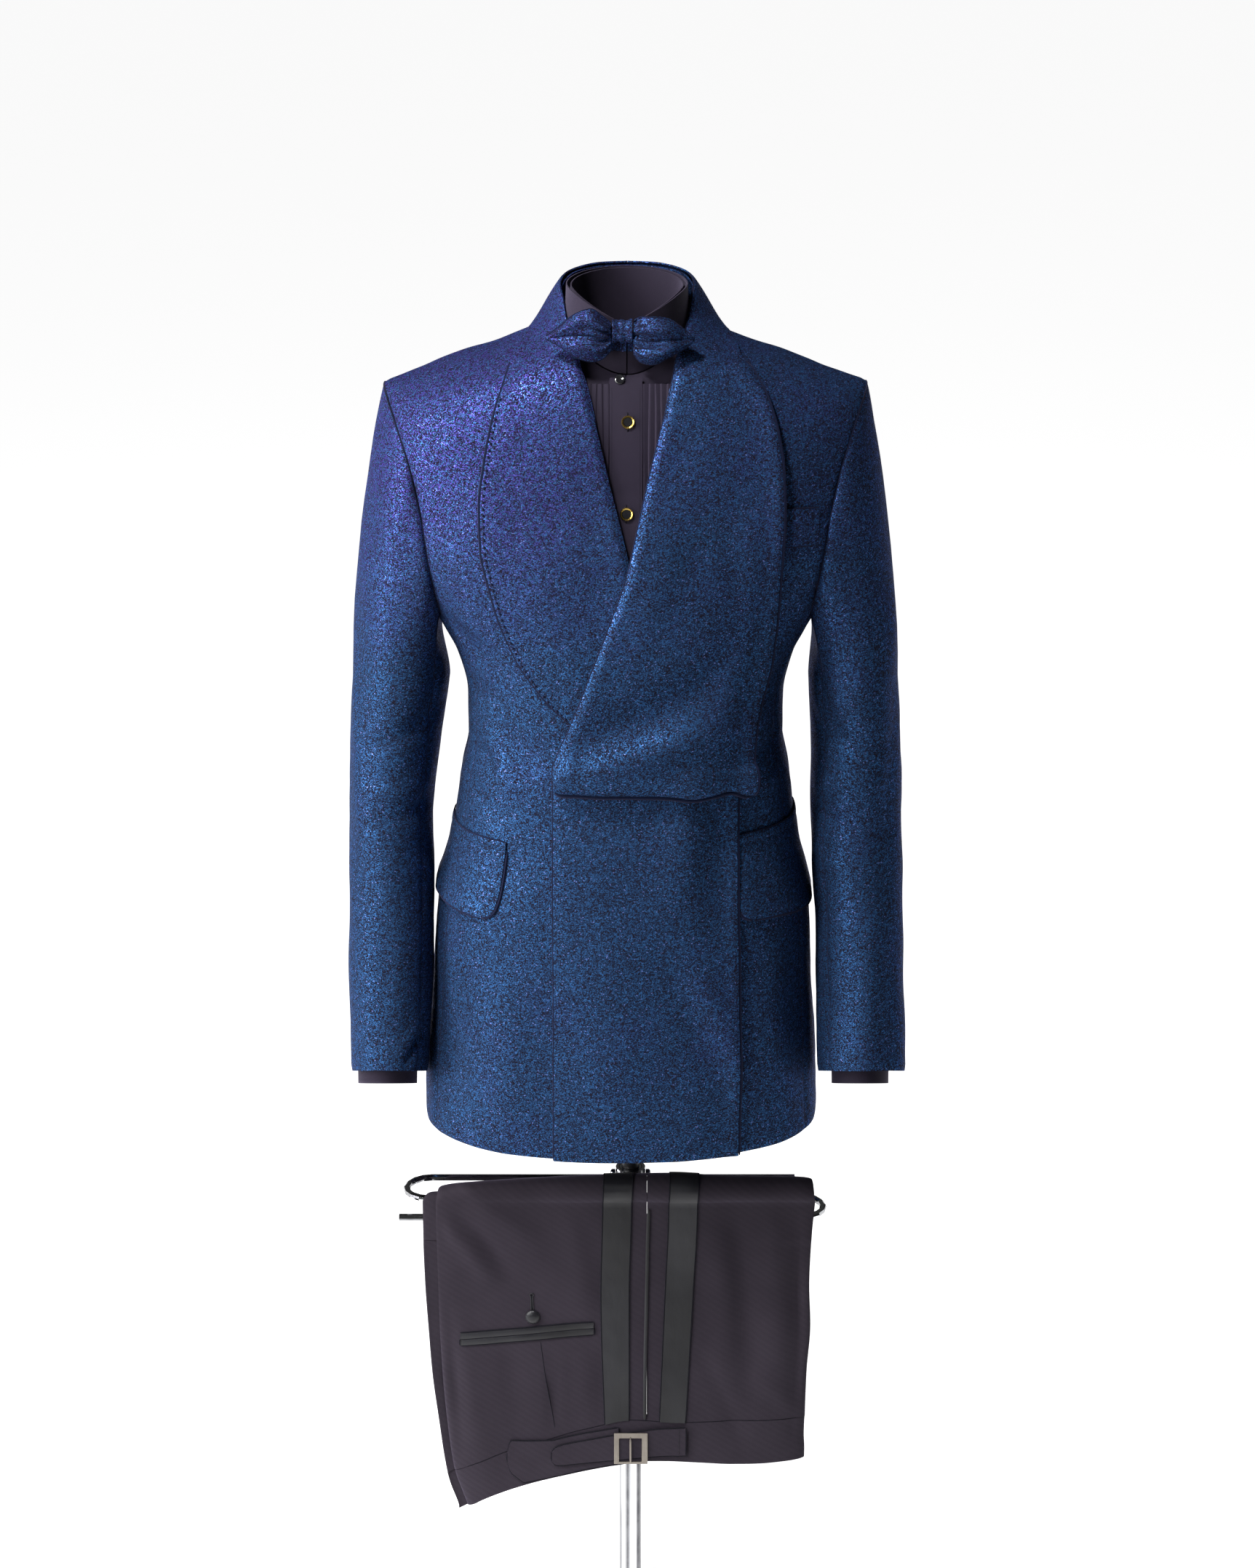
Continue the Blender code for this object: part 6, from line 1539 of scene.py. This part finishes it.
def satin(name):
    m = Paint(name)
    ribs = m.add("TexWave", {"Vector": m.stretch(1, 0.2, 1), "Scale": 900.0, "Distortion": 0.6})
    tone = m.noise(22.0, 3.0, 0.55, m.stretch(1.6, 1, 0.5))
    # the lustre changes slowly along each strip
    slow = m.span(m.noise(6.0, 1.0, 0.4, m.stretch(3.0, 1, 1.0)), 0.38, 0.60)
    colour = m.mix(tone, (0.0055, 0.0055, 0.0072), (0.020, 0.020, 0.025))
    colour = m.mix(m.times(slow, 0.7), colour, (0.0035, 0.0033, 0.0045))
    crush = m.bump(m.noise(55.0, 3.0, 0.5, m.stretch(1.0, 1.0, 0.45)), 0.0016, 0.5)
    normal = m.bump(ribs.outputs["Fac"], 0.00006, 0.4, crush)
    return m.done(Base_Color=colour, Roughness=m.plus(m.span(tone, 0.3, 0.7, 0.30, 0.42),
                                                      m.times(slow, 0.16)),
                  Normal=normal, Sheen_Weight=0.04, Specular_IOR_Level=0.42)


def metal(name, dark, light, rough, scratch, worn=0.0):
    m = Paint(name)
    cloud = m.noise(60.0, 4.0, 0.6)
    hair = m.noise(scratch, 3.0, 0.7, m.stretch(1.0, 1.0, 0.06))
    share = m.plus(m.times(cloud, 0.6), m.times(hair, 0.4), clamp=True)
    colour = m.mix(share, dark, light)
    normal = m.bump(hair, 0.00004, 0.25 + worn)
    return m.done(Base_Color=colour, Metallic=1.0, Normal=normal,
                  Roughness=m.span(share, 0.25, 0.75, rough * 1.5, rough))


def mirror(name):
    """Chrome with the light and dark bands of a bright room painted into its colour by the way it
    faces: a painted reflection.
    """
    m = Paint(name)
    way = m.add("TexCoord").outputs["Normal"]
    # painted reflection: bands by the way the surface faces, darker where it turns to the sides
    bands = m.math("SINE", m.plus(m.times(m.axis("X", way), 6.5),
                                  m.times(m.axis("Z", way), 7.5)))
    side = m.span(m.math("ABSOLUTE", m.axis("X", way)), 0.72, 0.98)
    cloud = m.noise(60.0, 4.0, 0.6)
    shade = m.math("MAXIMUM", m.span(bands, -0.10, -0.85), m.times(side, 0.8))
    shade = m.times(shade, m.span(cloud, 0.2, 0.8, 0.8, 1.0), clamp=True)
    colour = m.mix(shade, (0.80, 0.81, 0.83), (0.10, 0.10, 0.11))
    hair = m.noise(900.0, 3.0, 0.7, m.stretch(1.0, 1.0, 0.06))
    return m.done(Base_Color=colour, Metallic=1.0, Roughness=m.span(cloud, 0.3, 0.7, 0.10, 0.06),
                  Normal=m.bump(hair, 0.00004, 0.2))


def gloss(name, dark, light, rough, coat):
    m = Paint(name)
    cloud = m.noise(140.0, 4.0, 0.6)
    normal = m.bump(m.noise(700.0, 3.0, 0.5), 0.00005, 0.2)
    return m.done(Base_Color=m.mix(cloud, dark, light), Normal=normal, Coat_Weight=coat,
                  Roughness=m.span(cloud, 0.2, 0.8, rough, rough * 1.4), Coat_Roughness=0.08)


# ---------------- sewing and small parts
def tube_quads(rings, sides):
    return [(k * sides + i, k * sides + (i + 1) % sides, (k + 1) * sides + (i + 1) % sides,
             (k + 1) * sides + i) for k in range(rings - 1) for i in range(sides)]


def turns_of(sides):
    return [2 * pi * k / sides for k in range(sides)]


# Share of a stitch's length, and its thickness and height in radii
SPINDLE = ((0.0, 0.25, -0.9), (0.22, 0.85, 0.1), (0.5, 1.0, 0.45), (0.78, 0.85, 0.1),
           (1.0, 0.25, -0.9))
STITCH_SIDES = 5


def spindle(a, b, up, radius):
    """Points of one stitch: a short thread that dips in at both ends."""
    across = unit(np.cross(up, b - a))
    return [lerp(a, b, t) + up * radius * h + (across * cos(w) + up * sin(w)) * radius * r
            for t, r, h in SPINDLE for w in turns_of(STITCH_SIDES)]


def stitches(name, path, ways, pitch, length, radius, kind, slant=0.0):
    """A row of stitches along a path of points with outward directions."""
    run = np.concatenate([[0], np.cumsum(np.linalg.norm(np.diff(path, axis=0), axis=1))])

    def along(values, s):
        return np.array([np.interp(s, run, values[:, i]) for i in range(3)])
    points, quads = [], []
    where = pitch / 2
    while where + length < run[-1]:
        a, b = along(path, where), along(path, where + length)
        up = unit(along(ways, where + length / 2))
        aside = np.cross(up, b - a) * slant
        quads += [tuple(v + len(points) for v in face)
                  for face in tube_quads(len(SPINDLE), STITCH_SIDES)]
        points += spindle(a + up * 0.0001 - aside, b + up * 0.0001 + aside, up, radius)
        where += pitch * (1 + 0.10 * sin(where * 900 + pitch))
    small_piece(name, points, quads, kind)


def cord_along(name, path, radius, kind, sides=8, flat=1.0, ways=None, taper=0.0):
    """A thin solid cord, piping or bar with rounded ends; ways point out of the cloth."""
    path = np.asarray(path, float)
    count = len(path)
    tangent = unit(np.gradient(path, axis=0))
    points = []
    for i, (p, along) in enumerate(zip(path, tangent)):
        across = unit(np.cross(along, np.array([0.0, -1.0, 0.0]) if ways is None else ways[i]))
        lift = np.cross(across, along)
        end = min(i, count - 1 - i)
        r = radius * (0.35 if end == 0 else 0.85 if end == 1 else 1.0) * (1 - taper * i / count)
        points += [p + r * (across * cos(w) + lift * sin(w) * flat) for w in turns_of(sides)]
    quads = [(a, d, c, b) for a, b, c, d in tube_quads(count, sides)]
    for i in (0, count - 1):
        ring = [i * sides + k for k in range(sides)]
        quads += [(ring[k - 1], ring[k], ring[-1 - k], ring[-k]) for k in range(1, sides // 2)]
    small_piece(name, points, quads, kind)


def lathe(name, profile, centre, way, kind, nodes=(), sides=40):
    """A turned piece from (radius, height) pairs along a direction."""
    turn = Vector((0, 0, 1)).rotation_difference(Vector(way).normalized()).to_matrix()
    points = [tuple(turn @ Vector((r * cos(w), r * sin(w), h)) + Vector(centre))
              for r, h in profile for w in turns_of(sides)]
    small_piece(name, points, tube_quads(len(profile), sides), kind, nodes)


def near_points(xz, off):
    """Points on the creased near face of the trousers, off in front of it."""
    p = np.array([tuple(near_face(x, z, 0.0)[0]) for x, z in xz])
    p[:, 1] -= trouser_relief(p) + off
    return p


def line_between(points, count):
    """Evenly spaced points along a polyline of (x, z)."""
    points = np.asarray(points, float)
    run = np.concatenate([[0], np.cumsum(np.linalg.norm(np.diff(points, axis=0), axis=1))])
    s = np.linspace(0, run[-1], count)
    return np.stack([np.interp(s, run, points[:, i]) for i in range(2)], 1)


def forward(count):
    return np.tile([0, -1.0, 0], (count, 1))


# Dark cords along seams and edges: at the seams they are the seams' own dark joins, along the edges
# of pieces laid over others they are painted shade. Columns: depth below the face, first point,
# edges, pieces
SEAM_AND_SHADE_LINES = (
    (0.0004, 0, "top", "sleeve_top_right sleeve_top_left"),
    (0.0004, 0, "first", "sleeve_top_right sleeve_top_left"),
    (0.0004, 0, "last", "sleeve_top_right sleeve_top_left jacket_front_right jacket_front_left "
     "jacket_back_right jacket_back_left"),
    (0.0004, 0, "first", "jacket_back_right"), (0.0022, 46, "last", "lapel_right"),
    (0.0012, 46, "first", "lapel_left"), (0.0012, 0, "bottom", "lapel_left"),
    (0.0014, 20, "last", "lapel_left"), (0.0018, 0, "last", "wrap_panel"),
    (0.0012, 0, "first", "wrap_panel flap_right flap_left"),
    (0.0012, 0, "bottom", "flap_right flap_left"), (0.0006, 0, "top", "flap_right flap_left"),
    (0.0008, 0, "top", "jet_right jet_left"), (0.0010, 0, "top bottom first last", "breast_welt"),
    (0.0007, 0, "first last",
     "stripe_back_near stripe_front_near stripe_back_far stripe_front_far"),
    (0.0007, 0, "top bottom first last", "waist_tab waist_strap"),
    (0.0007, 0, "top bottom", "pocket_jet_upper"),
    (0.0007, 0, "bottom first last", "pocket_jet_lower"),
)


# Free edges that stand well off the cloth below them: their cords lie wider and further out, as a
# deep line of painted shade
DRAWN = ("lapel_left_first", "lapel_right_last", "wrap_panel_last", "flap_right_bottom",
         "flap_left_bottom", "flap_right_first", "flap_left_first")
# Rows of stitches along the cloth: piece, rows, column, pitch, length, radius, thread, slant
STITCHED = (
    ("lapel_right_stitches", "lapel_right", (58, -2), -2, 0.0058, 0.0030, 0.00125, "navy", 0.35),
    ("lapel_left_stitches", "lapel_left", (60, 158), 1, 0.0056, 0.0026, 0.00060, "navy", 0.35),
    ("wrap_stitches", "wrap_panel", (3, -2), -2, 0.0056, 0.0026, 0.00050, "navy", 0.35),
    ("placket_stitches_a", "shirt_placket", (2, None), 1, 0.0017, 0.0011, 0.00016, "linen", 0.0),
    ("placket_stitches_b", "shirt_placket", (2, None), -2, 0.0017, 0.0011, 0.00016, "linen", 0.0),
)


def edge_of(name, edge):
    """Points of one edge of a piece, their directions, and the way out of the piece."""
    p, n = FACES[name]
    if edge in ("first", "last"):
        p, n = p.swapaxes(0, 1), n.swapaxes(0, 1)
    i, beside = (0, 1) if edge in ("top", "first") else (-1, -2)
    return p[i], n[i], unit(p[i] - p[beside])


def lay_seam_and_shade_cord(name, edge, low, start):
    # a dark cord just inside the edge: the join of a seam, and painted shade where the edge is free
    path, way, out = edge_of(name, edge)
    aside, width = (0.0006, 0.0008) if low > 0.0005 else (0.0001, 0.00065)
    if "%s_%s" % (name, edge) in DRAWN:
        aside, width = 0.0017, 0.0016
    wool = name.startswith(("stripe", "waist", "pocket"))
    cord_along("seam_%s_%s" % (name, edge), (path + out * aside - way * low)[start:], width,
               "black" if wool else "navy", sides=6, ways=way[start:])


def sew_trousers():
    # piping of the side pocket
    run = line_between([(0.0271, -0.8333), (0.0250, -0.8500), (0.0214, -0.8738), (0.0200, -0.9150),
                        (0.0194, -0.9604), (0.0178, -1.0400), (0.0174, -1.1094)], 90)
    run = run[run[:, 1] < -0.878]
    cord_along("side_piping", near_points(run, 0.0009), 0.0017, "sheen", flat=0.55)
    stitches("side_stitches", near_points(run + np.array([0.0028, 0.0]), 0.0001),
             forward(len(run)), 0.0024, 0.0016, 0.00018, "black")
    # dart below the back pocket, the keyhole above its button, and the tacks
    top, low = (-0.0966, -0.9740), (-0.0960, -0.9905)
    ring = np.array([(top[0] + 0.0019 * cos(a), top[1] + 0.0017 * sin(a))
                     for a in np.linspace(-0.9, pi + 0.9, 18)])
    seam = np.array([(x, at(WAIST_TOP, "z", x) + 0.0002) for x in np.linspace(-0.165, 0.176, 120)])
    dart = line_between([(-0.0880, -1.0240), (-0.0835, -1.0600), (-0.0738, -1.1196)], 40)
    sides = [line_between([(top[0] + s * 0.0008, top[1]), (low[0] + s * 0.0011, low[1])], 14)
             for s in (-1, 1)]
    for name, line, off, radius, kind in (
            ("dart_seam", dart, -0.0001, 0.00045, "black"),
            ("keyhole_a", sides[0], 0.0003, 0.0007, "sheen"),
            ("keyhole_b", sides[1], 0.0003, 0.0007, "sheen"),
            ("keyhole_eye", ring, 0.0004, 0.0006, "sheen"),
            ("keyhole_slit", line_between([top, low], 12), 0.0001, 0.00045, "black")):
        cord_along(name, near_points(line, off), radius, kind, sides=6)
    for x, z, half, out in ((0.0523, -1.1340, 0.0145, 0.0032), (-0.0345, -1.0105, 0.0066, 0.0018),
                            (-0.1688, -1.0225, 0.0066, 0.0018)):
        tack = near_points(line_between([(x, z + half), (x, z - half)], 30), out)
        stitches("tack_%d" % round(1000 * abs(x)), tack, forward(30), 0.0017, 0.0013, 0.00022,
                 "sheen_on_wool")
    cord_along("waist_seam", near_points(seam, -0.00015), 0.00040, "black", sides=6)


def build_sewing():
    """Stitching, small sewn parts, and dark cords of painted shade along edges, folds and gathers.
    """
    for low, start, edges, pieces in SEAM_AND_SHADE_LINES:
        for name in pieces.split():
            for edge in edges.split():
                lay_seam_and_shade_cord(name, edge, low, start)
    # the shade below the lowest line of the turned lapel
    low = np.array([line[line[:, 2].argmin()] for line in FACES["lapel_left"][0].swapaxes(0, 1)])
    cord_along("lapel_fold_shade", low + np.array([0, 0.0014, -0.0016]), 0.0025, "navy",
               ways=forward(len(low)))
    for name in ("right", "left"):
        p, n = FACES["bow_wing_" + name]
        # painted shade: dark flat cords lie in the hollows of the gathers, which run out from the
        # knot
        for word, row, stop in (("a", 7, 9), ("b", 14, 12), ("c", 20, 21), ("d", 26, 13),
                                ("e", 33, 9)):
            way = n[row, 1:stop]
            cord_along("bow_%s_gather_%s" % (name, word), p[row, 1:stop] + way * 0.0001, 0.00150,
                       "navy", flat=0.35, ways=way, taper=0.85)
        # painted shade: thin dark cords along the wings' top and bottom edges
        for word, row in (("top", 0), ("bottom", -1)):
            cord_along("bow_%s_edge_%s" % (name, word), p[row, :31], 0.00050, "navy", sides=6,
                       ways=n[row, :31])
    for name, piece, (first, last), column, *how in STITCHED:
        p, n = FACES[piece]
        stitches(name, p[first:last, column], n[first:last, column], *how)
    for which in ("back", "front"):
        p, n = FACES["stripe_%s_near" % which]
        for column, word, aside in ((0, "a", -0.0011), (-1, "b", 0.0011)):
            stitches("stripe_stitches_%s_%s" % (which, word),
                     p[2:52, column] + np.array([aside, 0.0004, 0]), n[2:52, column],
                     0.0020, 0.0014, 0.00018, "sheen")
    sew_trousers()
    # buttonholes above and below the studs
    for i, (x, z) in enumerate(((0.0005, STUD_Z[0]), (-0.0008, STUD_Z[1]))):
        for word, low, high in (("above", 0.0058, 0.0088), ("below", -0.0084, -0.0058)):
            run = [tuple(in_front(x - 0.0005, z + lerp(low, high, f), PLACKET_OFF + 0.0001)[0])
                   for f in steps(8)]
            cord_along("buttonhole_%s_%d" % (word, i + 1), run, 0.00055, "linen", sides=6)


def build_small():
    dome = [(0.0001, 0.0041), (0.0018, 0.0040), (0.0036, 0.0036), (0.0052, 0.0029),
            (0.0064, 0.0020), (0.0072, 0.0011), (0.0075, 0.0003), (0.0072, -0.0002),
            (0.0060, -0.0004), (0.0001, -0.0004)]
    lathe("pocket_button_covered", dome, near_points([(-0.0958, -0.9975)], 0.0005)[0], (0, -1, 0),
          "sheen", ["pocket_button"])
    # small shirt button under the knot
    disc = [(0.0001, 0.0009), (0.0022, 0.0008), (0.0030, 0.0012), (0.0040, 0.0013),
            (0.0047, 0.0009), (0.0049, 0.0002), (0.0046, -0.0003), (0.0001, -0.0004)]
    lathe("shirt_button", disc, *in_front(-0.0070, -0.0290, PLACKET_OFF + 0.0007), "onyx")
    # prong of the side buckle across its opening
    run = [(0.0030, lerp(-1.1275, -1.1560, f)) for f in steps(14)]
    cord_along("buckle_prong", near_points(run, 0.0052), 0.0011, "nickel")
    # clamping knobs on the hub of the rod
    knob = [(0.0001, 0.0052), (0.0022, 0.0050), (0.0034, 0.0042), (0.0038, 0.0030),
            (0.0038, 0.0004), (0.0030, 0.0000), (0.0001, 0.0)]
    for name, x, way in (("hub_knob_1", -0.0122, -1), ("hub_knob_2", 0.0182, 1)):
        lathe(name, knob, (x, 0.0, -0.8600), (way, 0, 0), "chrome", sides=24)


def show(name, data):
    obj = bpy.data.objects.new(name, data)
    bpy.context.scene.collection.objects.link(obj)
    return obj


def stage_and_light():
    """Pale floor that runs out to a white distance, soft white light, and the camera."""
    stops = [-30.0, -3.0, -0.55, 0.0, 3.0, 30.0]
    points = [(x, y, POLE_BOTTOM - 0.0002) for x in stops for y in stops]
    k = len(stops)
    quads = [(i * k + j, (i + 1) * k + j, (i + 1) * k + j + 1, i * k + j + 1)
             for i in range(k - 1) for j in range(k - 1)]
    m = Paint("studio_white")
    cloud = m.noise(1.2, 2.0, 0.5)
    # the floor glows: evenly white to the camera, and behind the stand it also glows as a light on
    # the clothes
    seen = m.add("LightPath").outputs["Is Camera Ray"]
    glow = m.math("MAXIMUM", m.span(m.axis("Y"), -0.55, 0.0, 0.0, 0.72), m.times(seen, 0.92))
    paint = m.done(Base_Color=m.mix(cloud, (0.80, 0.80, 0.81), (0.86, 0.86, 0.86)), Roughness=0.9,
                   Normal=m.bump(m.noise(30.0, 3.0, 0.5), 0.0015, 0.1),
                   Emission_Color=(1, 1, 1, 1), Emission_Strength=glow)
    mesh = mesh_of("studio_floor", np.array(points), np.array(quads))
    mesh.materials.append(paint)
    show("studio_floor", mesh)
    # the distance is white to the camera and dim as a light
    world = bpy.data.worlds.new("studio")
    bpy.context.scene.world = world
    world.use_nodes = True
    tree = world.node_tree
    ground = tree.nodes["Background"]
    ground.inputs["Color"].default_value = (1.0, 1.0, 1.0, 1)
    path = tree.nodes.new("ShaderNodeLightPath")
    level = tree.nodes.new("ShaderNodeMapRange")
    level.inputs["To Min"].default_value = WORLD
    level.inputs["To Max"].default_value = 1.0
    tree.links.new(path.outputs["Is Camera Ray"], level.inputs["Value"])
    tree.links.new(level.outputs["Result"], ground.inputs["Strength"])
    for name, where, aim, size, power, colour in LIGHTS:
        data = bpy.data.lights.new(name, "AREA")
        data.shape = "RECTANGLE"
        data.size, data.size_y = size
        data.energy, data.color = power, colour
        lamp = show(name, data)
        lamp.location = where
        lamp.visible_camera = False
        lamp.rotation_mode = "QUATERNION"
        lamp.rotation_quaternion = (Vector(aim) - Vector(where)).to_track_quat("-Z", "Y")
    data = bpy.data.cameras.new("camera")
    data.sensor_fit = "VERTICAL"
    data.sensor_height = FILM
    data.lens = FILM * FOCAL / FRAME_HEIGHT
    data.shift_y = -HORIZON_SHIFT / FRAME_HEIGHT
    data.clip_start, data.clip_end = 0.05, 50
    camera = show("camera", data)
    camera.location = (0, -2.83, 0.492)
    camera.rotation_euler = (radians(90 - 15.7), 0, 0)
    bpy.context.scene.camera = camera
    bpy.context.scene.view_settings.view_transform = "Standard"


# Camera: height of its film in mm, and the lens and shift in lines of a frame this high
FILM, FRAME_HEIGHT, FOCAL, HORIZON_SHIFT = 36.0, 2156, 4200, 194


WORLD = 0.035
LIGHTS = (
    ("key", (-1.90, -0.80, 0.20), (0, 0, -0.45), (0.7, 2.0), 60, (1.0, 0.99, 1.0)),
    ("front", (-1.60, -2.05, 0.20), (0, 0, -0.50), (0.6, 2.2), 25, (0.98, 0.99, 1.0)),
    ("top", (-0.95, -1.15, 2.00), (0, 0, -0.40), (0.35, 0.35), 72, (1.0, 1.0, 1.0)),
)


def main():
    blue = lurex("jacket_lurex")
    cotton = woven("shirt_cotton", (0.011, 0.0085, 0.015), (0.034, 0.027, 0.046), 620.0, 0.20,
                   twill=False)
    wool = woven("trouser_twill", (0.014, 0.0108, 0.0156), (0.044, 0.036, 0.048), 520.0, 0.22)
    black = satin("satin_black")
    # dark thread, also used for the trousers' edge cords of painted shade
    thread = woven("dark_thread_and_shade", (0.004, 0.004, 0.006), (0.010, 0.010, 0.014), 1500.0, 0.1)
    # near-black navy for the jacket's stitches, and for its cords of painted shade along edges,
    # folds and gathers
    navy = woven("navy_thread_and_shade", (0.002, 0.004, 0.014), (0.006, 0.012, 0.045), 1500.0, 0.15)
    chrome = mirror("chrome_plate")
    nickel = metal("nickel_antique", (0.16, 0.14, 0.12), (0.42, 0.38, 0.33), 0.30, 700.0, 0.2)
    gilt = metal("gilt_brass_finish", (0.62, 0.40, 0.06), (0.90, 0.66, 0.20), 0.16, 1100.0)
    onyx = gloss("onyx", (0.004, 0.004, 0.005), (0.020, 0.020, 0.022), 0.10, 0.6)
    dark = gloss("pole_paint", (0.010, 0.010, 0.011), (0.024, 0.024, 0.026), 0.35, 0.1)
    KINDS.update(
        jacket=(blue, "jacket_cloth", CLOTH), shirt=(cotton, "shirt_cloth", SHIRTING),
        # the bow's copy of the lurex is darkened by gain 0.78: painted shade on the bow
        bow=(lurex("bow_lurex_painted_shade", 0.78), "jacket_cloth", 0.0012),
        trousers=(wool, "trouser_wool", WOOL), satin=(black, "black_satin", 0.0005),
        navy=(navy, "jacket_cloth"), black=(thread, "trouser_wool"), linen=(thread, "shirt_cloth"),
        sheen=(black, "black_satin"), sheen_on_wool=(black, "trouser_wool"),
        onyx=(onyx, "black_enamel"), nickel=(nickel, "antique_nickel"), chrome=(chrome, "chrome"))
    build_sleeves(build_body())
    build_lapels()
    build_trim()
    build_shirt()
    build_sleeve_linen()
    build_bow()
    build_trousers()
    build_sewing()
    build_small()
    for paint, names in ((chrome, "rod_upper rod_lower rod_hub pole_chrome"), (dark, "pole_dark"),
                         (nickel, "side_buckle"), (gilt, "stud_ring_1 stud_ring_2"),
                         (onyx, "stud_stone_1 stud_stone_2")):
        for name in names.split():
            for place in bpy.data.objects[name].material_slots:
                place.material = paint
    stage_and_light()


main()
